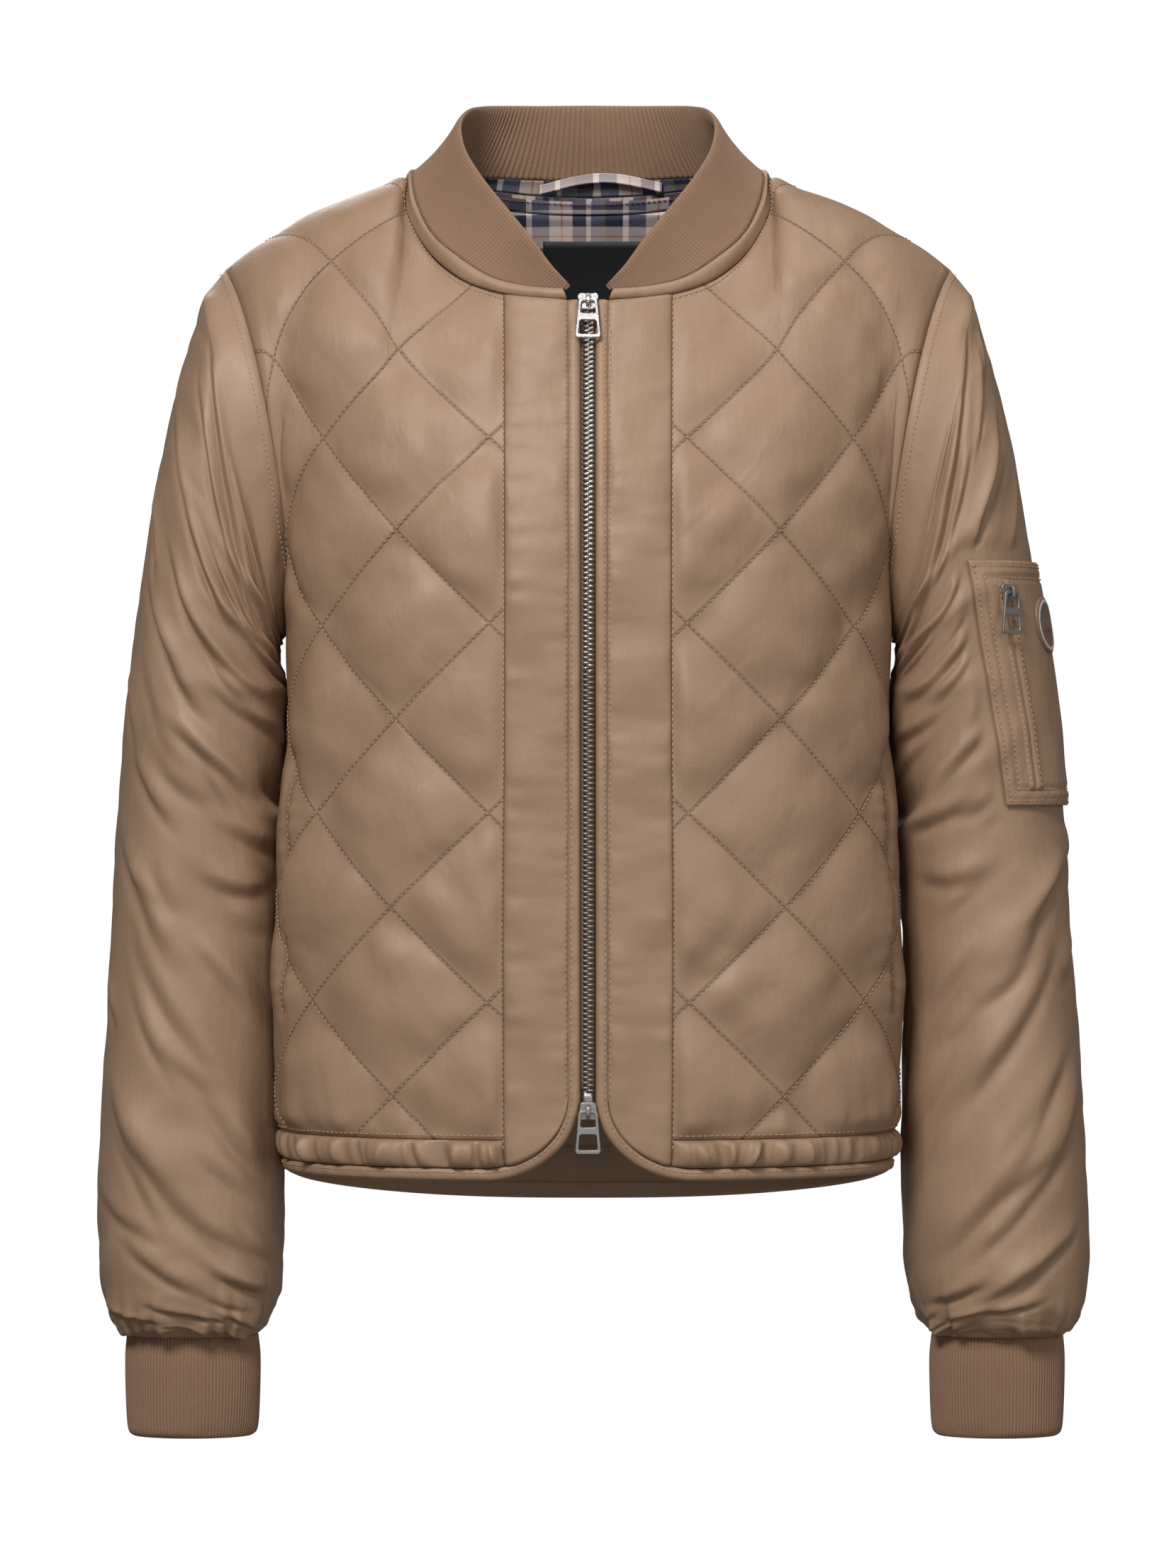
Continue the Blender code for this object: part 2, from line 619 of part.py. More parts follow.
def bound_column(face, side, ends):
    """Across the binding: its two edges and its rolled middle, outside and in."""
    column = []
    for share, rise in ((0.0, 0.0), (0.5, BINDING_RISE), (1.0, 0.0)):
        across = ends[0][0] + (ends[1][0] - ends[0][0]) * share
        z = ends[0][1] + (ends[1][1] - ends[0][1]) * share
        up = z - UNDERARM_Z
        point = torso(face, side * across, up)
        inward = seam_in(face, side * across, up)
        if across > SIDE_SEAM - 1:
            point = point + np.array([0.0, face * GAP / 2, 0.0])
        column.append((point - inward * rise, point + inward * WALL, share * CELL_UP * 3))
    return column


def front_binding(side, name):
    """The bound edge of one front; its neck end is level with the torso's top line."""
    limit = UNDERARM_Z + top_of(FRONT, EDGE)
    columns = []
    for ends in binding_path():
        capped = tuple((across, min(z, limit)) for across, z in ends)
        columns.append(bound_column(FRONT, side, capped))
    cloth(name, columns, "shell")


def back_binding():
    columns = []
    for k in range(33):
        across = (SIDE_SEAM - 0.01) * (k / 16 - 1)
        low, high = hem_foot(BACK, across), tunnel_foot(BACK, across) - GAP
        column = []
        for share, rise in ((0.0, 0.0), (0.5, BINDING_RISE), (1.0, 0.0)):
            up = low + (high - low) * share
            point = torso(BACK, across, up)
            inward = seam_in(BACK, across, up)
            if abs(across) > SIDE_SEAM - 1:
                point = point + np.array([0.0, GAP / 2, 0.0])
            column.append((point - inward * rise, point + inward * WALL, share * CELL_UP * 3))
        columns.append(column)
    cloth("hem_binding_back", columns, "shell")


def hem_tunnel(face, across_from, across_to, folds, name):
    """The drawcord's tunnel: a soft roll with gathers, above the bound hem."""
    steps = folds * 3
    columns = []
    for k in range(steps + 1):
        across = across_from + (across_to - across_from) * k / steps
        low, high = tunnel_foot(face, across) + GAP / 2, panel_foot(face, across) - GAP / 2
        if face == FRONT:
            low = max(low, corner_z(abs(across), BINDING + 2 * GAP) - UNDERARM_Z)
        end = k in (0, steps)
        wave = GATHER_HEIGHT * math.sin(2 * math.pi * (k + 0.4) / 3 + 0.4 * math.sin(k * 0.9))
        column = []
        for share, swell in ((0.0, 0.0), (0.5, 1.0), (1.0, 0.0)):
            up = low + (high - low) * share
            point = torso(face, across, up)
            inward = seam_in(face, across, up)
            if abs(across) > SIDE_SEAM - 1:
                point = point + np.array([0.0, face * GAP / 2, 0.0])
            rise = 0.0 if end else swell * (TUNNEL_PUFF + wave)
            column.append((point - inward * rise, point + inward * WALL, share * CELL_UP * 3))
        columns.append(column)
    cloth(name, columns, "shell")


# ================================================================ inside the back
def inner_sheet(name, look, across_list, height_of, depth, thick):
    """A thin piece that lies on the inside of the back, from the panel's own inner points."""
    columns = []
    for across in across_list:
        column = []
        for row, up in enumerate(height_of(across)):
            point = torso(BACK, across, up)
            inward = seam_in(BACK, across, up)
            near, far = WALL + depth, WALL + depth + thick
            column.append((point + inward * near, point + inward * far, row * CELL_UP))
        columns.append(column)
    cloth(name, columns, look)


def back_inside():
    wide = [CELL_ACROSS * k for k in range(-5, 6)]

    def lining_heights(across):
        top = top_of(BACK, across) - 1.5
        return [LINING_FOOT + (top - TAPE_DEPTH - GAP - LINING_FOOT) * k / 5 for k in range(6)]

    def tape_heights(across):
        top = top_of(BACK, across) - 1.5
        return [top - TAPE_DEPTH, top]

    def facing_heights(across):
        foot = panel_foot(BACK, across) + 1.0
        top = FACING_TOP_Z - UNDERARM_Z
        return [foot + (top - foot) * k / 2 for k in range(3)]

    inner_sheet("back_lining", "lining", wide, lining_heights, INSIDE_GAP, LINING_WALL)
    inner_sheet("neck_tape", "lining", wide, tape_heights, INSIDE_GAP, LINING_WALL)
    around = [CELL_ACROSS * k for k in range(-12, 13)]
    inner_sheet("hem_facing_back", "shell", around, facing_heights, INSIDE_GAP, 1.0)


def up_at_height(face, across, z):
    """The place up the cloth where it reaches this height above the underarm."""
    points, distances = cloth_line(face, abs(across))
    return float(np.interp(z, points[:, 2], distances))


def label_and_loop():
    width, height = LABEL
    steps = 4
    columns = []
    for k in range(steps + 1):
        across = -width / 2 + width * k / steps + LABEL_X
        top, foot = up_at_height(BACK, across, LABEL_TOP_Z), up_at_height(BACK, across, LABEL_TOP_Z - height)
        column = []
        for row in range(3):
            up = foot + (top - foot) * row / 2
            point = torso(BACK, across, up)
            inward = seam_in(BACK, across, up)
            near = WALL + 2 * INSIDE_GAP + LINING_WALL
            column.append((point + inward * near, point + inward * (near + 0.8), row * CELL_UP))
        columns.append(column)
    cloth("label", columns, "label")
    columns = []
    for k in range(13):
        share = k / 12
        across = LOOP_FROM + (LOOP_TO - LOOP_FROM) * share
        arch = math.sin(math.pi * share) ** 0.6
        seam = torso(BACK, across, top_of(BACK, across))
        foot = seam + np.array([0.0, -LOOP_IN - 3.5 * arch, LOOP_RISE * arch - LOOP_SEWN])
        column = []
        for row in range(2):
            here = foot + np.array([0.0, 0.0, LOOP_WIDTH * row])
            column.append((here, here + np.array([0.0, -1.0, 0.0]), row * CELL_UP))
        columns.append(column)
    cloth("hanger_loop", columns, "lining")


# ================================================================ collar and piping
def collar_point(share, side, height):
    """A point of the collar: height 0 is the neck seam and 1 the top edge."""
    row = smooth(COLLAR_LINES, share)
    foot, top, swell = np.array(row[:3]), np.array(row[3:6]), row[6]
    out = unit(np.array([foot[0] * 0.9, foot[1], 0.0]) + np.array([0.0, 0.0, 40.0]))
    point = foot + (top - foot) * height + out * swell * 4 * height * (1 - height) * -0.6
    return point * (side, 1, 1)


def collar_out(share, side, height):
    step = 0.01
    low, high = max(share - step, 0.0), min(share + step, 1.0)
    along = collar_point(high, side, height) - collar_point(low, side, height)
    if high == 1.0:
        along = np.array([-side * 1.0, 0.0, 0.0])
    high_up, low_down = min(height + 0.1, 1.0), max(height - 0.1, 0.0)
    upward = collar_point(share, side, high_up) - collar_point(share, side, low_down)
    return unit(np.cross(along, upward) * side)


def collar_share(face, across):
    """The place along the collar that is nearest to this place of the neck edge."""
    edge = torso(face, across, top_of(face, across))
    shares = np.linspace(0.0, 1.0, 201)
    gaps = [np.linalg.norm(collar_point(s, 1, 0.0) - edge) for s in shares]
    return float(shares[int(np.argmin(gaps))])


def neck_places():
    """The columns round the neck, from the right front edge over the back to the left one."""
    front = band_places() + [QUILT_ACROSS + CELL_ACROSS * k for k in range(5)]
    back = [CELL_ACROSS * k for k in range(7)]
    half = [(FRONT, a, collar_share(FRONT, a)) for a in front]
    half += [(BACK, a, collar_share(BACK, a)) for a in back[::-1]]
    mirrored = [(face, -a, share) for face, a, share in half[:-1]]
    return mirrored + [half[-1]] + half[-2::-1]


def collar():
    """A rib knit stand collar, folded double, that tapers to the zip at both ends."""
    columns = []
    for face, across, share in neck_places():
        side = RIGHT if across < 0 else LEFT
        column = []
        for row, height in enumerate((0.005, 0.33, 0.67, 1.0)):
            point = collar_point(share, side, height)
            out = collar_out(share, side, height)
            column.append((point + out * 0.2, point - out * (COLLAR_WALL - 0.2), row * CELL_UP))
        columns.append(column)
    cloth("collar", columns, "rib_knit")


def piping():
    """The rolled edge between the shell and the collar, all round the neck."""
    columns = []
    for face, across, share in neck_places():
        side = RIGHT if across < 0 else LEFT
        top = top_of(face, across)
        edge = torso(face, across, top)
        inward = seam_in(face, across, top - GAP / 2)
        seam = collar_point(share, side, 0.0)
        out = collar_out(share, side, 0.005)
        away = unit(seam - edge)
        low, high = edge + away * 3 * GAP, seam - away * GAP / 2
        middle = (low + high) / 2
        column = [
            (low, low + inward * WALL, 0.0),
            (
                middle + unit(out - inward) * PIPING_RISE,
                middle + unit(inward - out) * PIPING_DEPTH,
                CELL_UP,
            ),
            (high + out * 0.2, high - out * (COLLAR_WALL - 0.2), 2 * CELL_UP),
        ]
        columns.append(column)
    cloth("neck_piping", columns, "shell")


# ================================================================ sleeves
def armhole(side, angle):
    """The armhole edge by angle: 0 at the shoulder, 90 in front, 180 at the underarm."""
    angle = (angle + 360.0) % 360.0
    face = FRONT if angle <= 180.0 else BACK
    share = 1 - angle / 180.0 if angle <= 180.0 else (angle - 180.0) / 180.0
    return torso(face, side * SIDE_SEAM, share * top_of(face, SIDE_SEAM))


def ring_row(ring):
    rows = [(k + 1,) + row for k, row in enumerate(SLEEVE_RINGS)]
    return smooth(rows, ring)


def fold_height(ring, angle, side):
    """The sleeve's largest folds, each a soft ridge at a slant."""
    total = 0.0
    for at_ring, at_angle, height, length, width, slant in SLEEVE_FOLDS:
        along = math.radians((angle - at_angle + 180.0) % 360.0 - 180.0) * SLEEVE_RADIUS
        down = (ring - at_ring) * 36.0
        turned_along = along + slant * down
        turned_down = down - slant * along
        total += height * math.exp(-((turned_along / length) ** 2) - (turned_down / width) ** 2)
    return total


def sleeve(side, angle, ring):
    """A point of the sleeve's form; ring 0 is the armhole."""
    outer_x, outer_z, inner_x, inner_z, depth, middle_y, lean = ring_row(max(ring, 1.0))
    a = math.radians(angle)
    cos_a, sin_a = math.cos(a), math.sin(a)
    power = 2 / SLEEVE_POWER
    along = math.copysign(abs(cos_a) ** power, cos_a)
    beside = math.copysign(abs(sin_a) ** power, sin_a)
    x = (outer_x + inner_x) / 2 + (outer_x - inner_x) / 2 * along
    z = (outer_z + inner_z) / 2 + (outer_z - inner_z) / 2 * along
    point = np.array([x * side + lean, middle_y - depth * beside, z])
    if ring < 1.0:
        start = armhole(side, angle)
        point = start + (point - start) * ring
    return point


def sleeve_out(side, angle, ring):
    around = sleeve(side, angle + 4, ring) - sleeve(side, angle - 4, ring)
    down = sleeve(side, angle, min(ring + 0.2, 18.0)) - sleeve(side, angle, max(ring - 0.2, 0.0))
    return unit(np.cross(around, down) * side)


def sleeve_piece(side, name):
    """A padded tube from the armhole to the cuff, with its folds on the outside."""
    columns = []
    for k in range(SLEEVE_POINTS):
        angle = 360.0 * k / SLEEVE_POINTS
        heart = np.array(ARMHOLE_HEART) * (side, 1, 1)
        column = []
        for ring in SLEEVE_ROWS:
            point = sleeve(side, angle, ring)
            if ring == 0:
                away = unit(sleeve(side, angle, 1.0) - point)
                point = point + away * GAP
                inward = unit(heart - armhole(side, angle))
                rise = 0.0
            else:
                inward = -sleeve_out(side, angle, ring)
                rise = fold_height(ring, angle, side)
                if ring in (16, 17):
                    rise = 1.6 * (k % 2)
                if ring == 18:
                    rise = 0.0
            column.append((point - inward * rise, point + inward * SLEEVE_WALL, ring * CELL_UP))
        columns.append(column)
    cloth(name, columns, "shell", wrap=True)


def cuff_point(side, angle, row, inset):
    z, half_width, half_depth = CUFF_RINGS[row]
    a = math.radians(angle)
    x = side * (CUFF_X + (half_width - inset) * math.cos(a)) + CUFF_LEAN
    return np.array([x, CUFF_Y - (half_depth - inset) * math.sin(a), z])


def cuff(side, name):
    columns = []
    points = 24
    for k in range(points):
        angle = 360.0 * k / points
        column = []
        for row in range(len(CUFF_RINGS)):
            outer, inner = cuff_point(side, angle, row, 0.0), cuff_point(side, angle, row, CUFF_WALL)
            column.append((outer, inner, row * CELL_UP))
        columns.append(column)
    cloth(name, columns, "rib_knit", wrap=True)


# ================================================================ zip
def front_line(across, z, level):
    """A point near the front edge at a height, raised or sunk from the cloth's outer face."""
    up = z - UNDERARM_Z if z <= UNDERARM_Z else up_at_height(FRONT, across, z)
    return torso(FRONT, across, up) + torso_out(FRONT, 0.01, up) * level


def swept_bar(name, across_low, across_high, levels, z_from, z_to, rows, look):
    columns = []
    for across in (across_low, across_high):
        column = []
        for row in range(rows):
            z = z_to + (z_from - z_to) * row / (rows - 1)
            outer, inner = front_line(across, z, levels[1]), front_line(across, z, levels[0])
            column.append((outer, inner, row * CELL_UP))
        columns.append(column)
    cloth(name, columns, look)


def slider_solid(name, matrix, look, inverted, foot_level):
    """A slider: a tapered front plate, a neck down to the teeth, and a bail over the plate."""
    turn = -1 if inverted else 1
    plate = [(x, y * turn) for x, y in SLIDER_PLATE]
    if inverted:
        plate = plate[::-1]
    made = []
    shapes = (
        (plate, PLATE_LEVEL[0], PLATE_LEVEL[1]),
        (box_outline(-2.2, 2.2, -3.6, 3.6), foot_level, PLATE_LEVEL[0] + 0.4),
        (box_outline(-1.1, 1.1, BAIL_FOOT - 0.8, BAIL_FOOT + 0.8), PLATE_LEVEL[1] - 0.4, BAIL_TOP - 0.4),
        (box_outline(-1.1, 1.1, -BAIL_FOOT - 0.8, -BAIL_FOOT + 0.8), PLATE_LEVEL[1] - 0.4, BAIL_TOP - 0.4),
        (box_outline(-1.3, 1.3, -BAIL_FOOT - 1.1, BAIL_FOOT + 1.1), BAIL_TOP - 1.3, BAIL_TOP),
    )
    for k, (outline, low, high) in enumerate(shapes):
        points, faces = outline_slab(outline, low, high)
        made.append(add_object(name if k == 0 else f"{name}_piece_{k}", points, faces, look, matrix))
    join_solids(made[0], made[1:])


def pull_solid(name, matrix, look):
    """A pull tab: a flat tapered frame with a window above and below its solid band.

    Its origin is on the top bar, which turns in the slider's bail.
    """
    def half_at(y):
        return PULL_TOP_HALF + (PULL_FOOT_HALF - PULL_TOP_HALF) * (-y / PULL_LENGTH)

    rows = [0.9, -0.9, -8.6, -12.6, -PULL_LENGTH + 3.2, -PULL_LENGTH + 1.0]
    arm = 1.7
    points, faces = [], []
    for level in (-PULL_THICK / 2, PULL_THICK / 2):
        for y in rows:
            outer = half_at(y)
            for x in (-outer, -outer + arm, outer - arm, outer):
                points.append((x, y, level))
    width, layer = 4, 4 * len(rows)
    solid = set()
    for row in range(len(rows) - 1):
        for col in range(3):
            if col != 1 or row in (0, 2, 4):
                solid.add((row, col))
    for row, col in solid:
        a = row * width + col
        quad = (a, a + 1, a + 1 + width, a + width)
        faces.append(quad)
        faces.append(tuple(i + layer for i in quad[::-1]))
        for near, edge in (
            ((row - 1, col), (a + 1, a)),
            ((row + 1, col), (a + width, a + 1 + width)),
            ((row, col - 1), (a, a + width)),
            ((row, col + 1), (a + 1 + width, a + 1)),
        ):
            if near not in solid:
                faces.append((edge[0], edge[1], edge[1] + layer, edge[0] + layer))
    add_object(name, points, faces, look, matrix)


def front_frame(z, level):
    """A placement on the centre front, on the cloth's outer face plus a level."""
    up = z - UNDERARM_Z if z <= UNDERARM_Z else up_at_height(FRONT, 0.0, z)
    out = torso_out(FRONT, 0.01, up)
    out = unit(out * (0, 1, 1))
    return local_frame(torso(FRONT, 0.0, up) + out * level, np.array([1.0, 0.0, 0.0]), out)


def main_zip():
    for side, name in ((RIGHT, "zip_tape_right"), (LEFT, "zip_tape_left")):
        ends = sorted((side * (TEETH_HALF + GAP), side * (EDGE + BINDING)))
        swept_bar(name, ends[0], ends[1], TAPE_LEVEL, ZIP_TOP_Z - 1.0, ZIP_END_Z, 16, "zip_tape")
    swept_bar("zip_teeth", -TEETH_HALF, TEETH_HALF, TEETH_DEPTH, ZIP_TOP_Z - 1.0, ZIP_END_Z, 16, "zip_metal")
    swept_bar("zip_end_pins", -2.6, 2.6, TEETH_DEPTH, ZIP_END_Z - GAP, PIN_END_Z, 3, "gunmetal")
    foot_level = TEETH_DEPTH[1] + GAP
    slider_solid("slider_top", front_frame(TOP_SLIDER_Z, 0.0), "zip_metal", False, foot_level)
    slider_solid("slider_bottom", front_frame(BOTTOM_SLIDER_Z, 0.0), "gunmetal", True, foot_level)
    pull_solid("pull_top", front_frame(TOP_SLIDER_Z, PULL_AXIS), "zip_metal")
    pull_solid("pull_bottom", front_frame(BOTTOM_SLIDER_Z, PULL_AXIS), "gunmetal")


# ================================================================ sleeve pocket
def ring_at_height(angle, z):
    """The ring of the left sleeve whose point at this angle is at this height."""
    low, high = 1.0, 18.0
    for _ in range(40):
        middle = (low + high) / 2
        if sleeve(LEFT, angle, middle)[2] > z:
            low = middle
        else:
            high = middle
    return (low + high) / 2


def on_sleeve(angle, z, level):
    """A point over the left sleeve's outer face, above its folds."""
    ring = ring_at_height(angle, z)
    rise = fold_height(ring, angle, LEFT)
    return sleeve(LEFT, angle, ring) + sleeve_out(LEFT, angle, ring) * (rise + level)


def sleeve_frame(angle, z, level):
    ring = ring_at_height(angle, z)
    out = sleeve_out(LEFT, angle, ring)
    across = np.cross(np.array([0.0, 0.0, 1.0]), out)
    return local_frame(on_sleeve(angle, z, level), across, out)


def welt_angle(z):
    share = (WELT_TOP_Z - z) / (WELT_TOP_Z - WELT_FOOT_Z)
    return WELT_ANGLE[0] + (WELT_ANGLE[1] - WELT_ANGLE[0]) * share


def sleeve_pocket():
    """A patch on the outer side of the wearer's left sleeve, with a zip, a pull and a badge."""
    steps, rows = 10, 9
    columns = []
    for k in range(steps + 1):
        column = []
        for row in range(rows):
            share = row / (rows - 1)
            z = PATCH_FOOT_Z + (PATCH_TOP_Z - PATCH_FOOT_Z) * share
            start = PATCH_ANGLES[0] + PATCH_TWIST * (1 - share)
            angle = start + (PATCH_ANGLES[1] - PATCH_ANGLES[0]) * k / steps
            outer, inner = on_sleeve(angle, z, PATCH_OFF + PATCH_THICK), on_sleeve(angle, z, PATCH_OFF)
            column.append((outer, inner, row * CELL_UP))
        columns.append(column)
    cloth("sleeve_pocket_patch", columns, "shell")
    floor = PATCH_OFF + PATCH_THICK + GAP
    columns = []
    for k in range(3):
        column = []
        for row in range(9):
            z = WELT_FOOT_Z + (WELT_TOP_Z - WELT_FOOT_Z) * row / 8
            angle = welt_angle(z) + math.degrees((1 - k) * WELT_HALF / SLEEVE_RADIUS)
            outer, inner = on_sleeve(angle, z, floor + WELT_THICK), on_sleeve(angle, z, floor)
            column.append((outer, inner, row * CELL_UP))
        columns.append(column)
    cloth("sleeve_pocket_welt", columns, "shell")
    slider_z = WELT_TOP_Z - POCKET_SLIDER_DROP
    level = floor + WELT_THICK
    frame = sleeve_frame(welt_angle(slider_z), slider_z, level)
    slider_solid("slider_sleeve", frame, "gunmetal", False, GAP)
    pull_frame = sleeve_frame(welt_angle(slider_z), slider_z, level + PULL_AXIS)
    pull_solid("pull_sleeve", pull_frame, "gunmetal")
    columns = []
    for k in range(-4, 5):
        across = BADGE_RADIUS * math.sin(math.radians(18.5 * k))
        chord = math.sqrt(BADGE_RADIUS**2 - across**2)
        angle = BADGE_ANGLE - math.degrees(across / SLEEVE_RADIUS)
        column = []
        for row in range(5):
            z = BADGE_Z + chord * math.sin(math.radians(45.0 * (row - 2)))
            outer, inner = on_sleeve(angle, z, floor + BADGE_THICK), on_sleeve(angle, z, floor)
            column.append((outer, inner, row * CELL_UP))
        columns.append(column)
    cloth("badge", columns, "badge")


# ================================================================ the whole jacket
def main():
    for old in list(bpy.data.objects):
        bpy.data.objects.remove(old)
    for side, word in ((RIGHT, "right"), (LEFT, "left")):
        front_panel(side, f"front_{word}")
        front_band(side, f"front_band_{word}")
        front_binding(side, f"front_binding_{word}")
        ends = side * (BAND_EDGE + GAP / 2), side * (SIDE_SEAM - 0.01)
        hem_tunnel(FRONT, ends[0], ends[1], GATHERS, f"hem_tunnel_{word}")
        sleeve_piece(side, f"sleeve_{word}")
        cuff(side, f"cuff_{word}")
    back_panel()
    back_binding()
    hem_tunnel(BACK, -SIDE_SEAM + 0.01, SIDE_SEAM - 0.01, 2 * GATHERS, "hem_tunnel_back")
    collar()
    piping()
    back_inside()
    label_and_loop()
    main_zip()
    sleeve_pocket()


main()
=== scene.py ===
"""Looks of the quilted bomber jacket: cloth, padding, knit, zips and stitching around its frame.

Lengths are in millimetres until a mesh is made. +X is the wearer's left, -Y the front, +Z up, and
"right" and "left" are the wearer's. A place on the torso is given along the cloth: "across" from
the centre line to the side seam, and "up" from the underarm line.
"""

from __future__ import annotations

import json
import logging
import math
from dataclasses import dataclass, field
from enum import Enum
from typing import Any, Callable, Sequence

import bpy
import numpy as np
from mathutils import Matrix, Vector

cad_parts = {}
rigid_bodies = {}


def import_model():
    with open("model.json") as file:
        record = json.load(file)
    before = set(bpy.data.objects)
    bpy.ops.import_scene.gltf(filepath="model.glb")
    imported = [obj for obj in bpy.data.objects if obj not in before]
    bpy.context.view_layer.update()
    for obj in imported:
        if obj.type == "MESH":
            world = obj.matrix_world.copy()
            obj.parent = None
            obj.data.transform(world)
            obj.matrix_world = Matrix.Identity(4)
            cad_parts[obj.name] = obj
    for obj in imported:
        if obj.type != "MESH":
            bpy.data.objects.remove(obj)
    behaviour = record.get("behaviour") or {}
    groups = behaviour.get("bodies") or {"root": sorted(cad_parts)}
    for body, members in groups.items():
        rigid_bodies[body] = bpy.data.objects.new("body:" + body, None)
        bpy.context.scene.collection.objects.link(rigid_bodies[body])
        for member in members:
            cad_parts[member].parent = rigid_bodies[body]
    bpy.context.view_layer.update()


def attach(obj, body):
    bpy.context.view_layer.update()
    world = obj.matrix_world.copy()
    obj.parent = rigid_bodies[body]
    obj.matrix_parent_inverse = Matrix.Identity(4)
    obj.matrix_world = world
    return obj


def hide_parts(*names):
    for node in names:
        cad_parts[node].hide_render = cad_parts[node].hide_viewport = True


LOG = logging.getLogger("jacket")
MM = 0.001
Array = np.ndarray


class Face(Enum):
    """The half of the torso that a piece belongs to, as the sign of its y."""

    FRONT = -1
    BACK = 1


class Side(Enum):
    """The wearer's side, as the sign of its x."""

    RIGHT = -1
    LEFT = 1

    @property
    def word(self) -> str:
        """The side's name as it ends a piece's name."""
        return self.name.lower()


# ---------------------------------------------------------------- shared sizes, as in the frame
GAP = 0.3  # between neighbouring pieces
WALL = 4.0  # cloth, padding and lining together at a stitch line
SIDE_SEAM = 240.0  # across
LAST_PLACE = SIDE_SEAM - 0.01  # a hair before the side seam
CENTRE = 0.01  # a hair beside the centre front
UNDERARM_Z = -260.5
SECTION_POWER = 2.35
NECK_END = 129.5  # across: where the neck's seam meets the shoulder's
SEAM_TURN = 83.0  # across: from here on the top seam turns to point straight down
SPREAD = 0.75  # share of a line's sideways travel that its last stretch has
ARMHOLE_HEART = (145.0, 0.0, -175.0)

TORSO_SECTIONS = (
    # z, half width, depth of the front, depth of the back
    (-600.0, 171.0, 113.0, 108.0),
    (-566.0, 173.0, 115.0, 109.0),
    (-545.0, 175.0, 118.0, 110.0),
    (-490.0, 175.5, 120.0, 108.0),
    (-450.0, 176.0, 121.0, 106.0),
    (-393.0, 174.0, 122.0, 105.0),
    (-336.0, 169.5, 123.0, 107.0),
    (UNDERARM_Z, 167.5, 124.0, 112.0),
)
FRONT_TOP = (
    # across, x, y, z, start lean, end lean, slack
    (0.0, 0.0, -87.0, -80.0, 4.0, 20.0, 1.0),
    (18.5, 19.0, -86.0, -79.3, 4.0, 20.0, 1.0),
    (37.0, 37.5, -82.0, -77.5, 4.0, 22.0, 1.0),
    (55.5, 55.5, -75.0, -73.5, 4.0, 26.0, 1.0),
    (74.0, 73.5, -63.5, -65.0, 4.0, 33.0, 1.0),
    (92.5, 90.5, -44.0, -48.5, 4.0, 44.0, 1.0),
    (111.0, 103.5, -18.5, -23.0, 4.0, 58.0, 1.0),
    (129.5, 105.0, 5.0, -2.0, 4.0, 74.0, 1.05),
    (148.0, 123.0, 5.5, -9.0, 4.0, 80.0, 1.1),
    (166.5, 141.0, 5.0, -17.0, 5.0, 82.0, 1.1),
    (185.0, 158.5, 4.5, -25.0, 8.0, 82.0, 1.1),
    (203.5, 175.5, 3.5, -33.5, 15.0, 80.0, 1.15),
    (222.0, 192.0, 2.0, -43.0, 28.0, 76.0, 1.2),
    (SIDE_SEAM, 207.0, 0.0, -55.0, 50.0, 68.0, 1.3),
)
BACK_TOP = (
    # across, x, y, z, start lean, end lean, slack
    (0.0, 0.0, 72.0, -5.0, 6.0, 34.0, 1.0),
    (18.5, 18.5, 71.0, -4.5, 6.0, 34.0, 1.0),
    (37.0, 37.0, 68.0, -3.5, 6.0, 36.0, 1.0),
    (55.5, 55.0, 62.0, -2.0, 6.0, 40.0, 1.0),
    (74.0, 71.5, 53.0, -1.0, 6.0, 46.0, 1.0),
    (92.5, 86.0, 41.0, 0.0, 6.0, 54.0, 1.0),
    (111.0, 97.5, 25.0, 0.0, 6.0, 64.0, 1.0),
    (129.5, 105.0, 5.0, -2.0, 6.0, 76.0, 1.05),
    (148.0, 123.0, 5.5, -9.0, 6.0, 80.0, 1.1),
    (166.5, 141.0, 5.0, -17.0, 6.0, 82.0, 1.1),
    (185.0, 158.5, 4.5, -25.0, 9.0, 82.0, 1.1),
    (203.5, 175.5, 3.5, -33.5, 16.0, 80.0, 1.15),
    (222.0, 192.0, 2.0, -43.0, 28.0, 76.0, 1.2),
    (SIDE_SEAM, 207.0, 0.0, -55.0, 50.0, 68.0, 1.3),
)
QUILT_ACROSS, QUILT_UP, QUILT_CROSSING_Z = 55.5, 52.25, -365.0  # half a diamond, and a crossing
EDGE, BINDING, BAND_EDGE = 4.2, 6.8, 47.0  # across, from the centre front
CORNER_ACROSS, CORNER_Z = 60.0, -522.0
HEM_Z, BACK_DROP = -568.0, 25.0  # the back hangs this much lower
TUNNEL_TOP_Z, TUNNEL_FOOT_Z = -545.0, -561.5

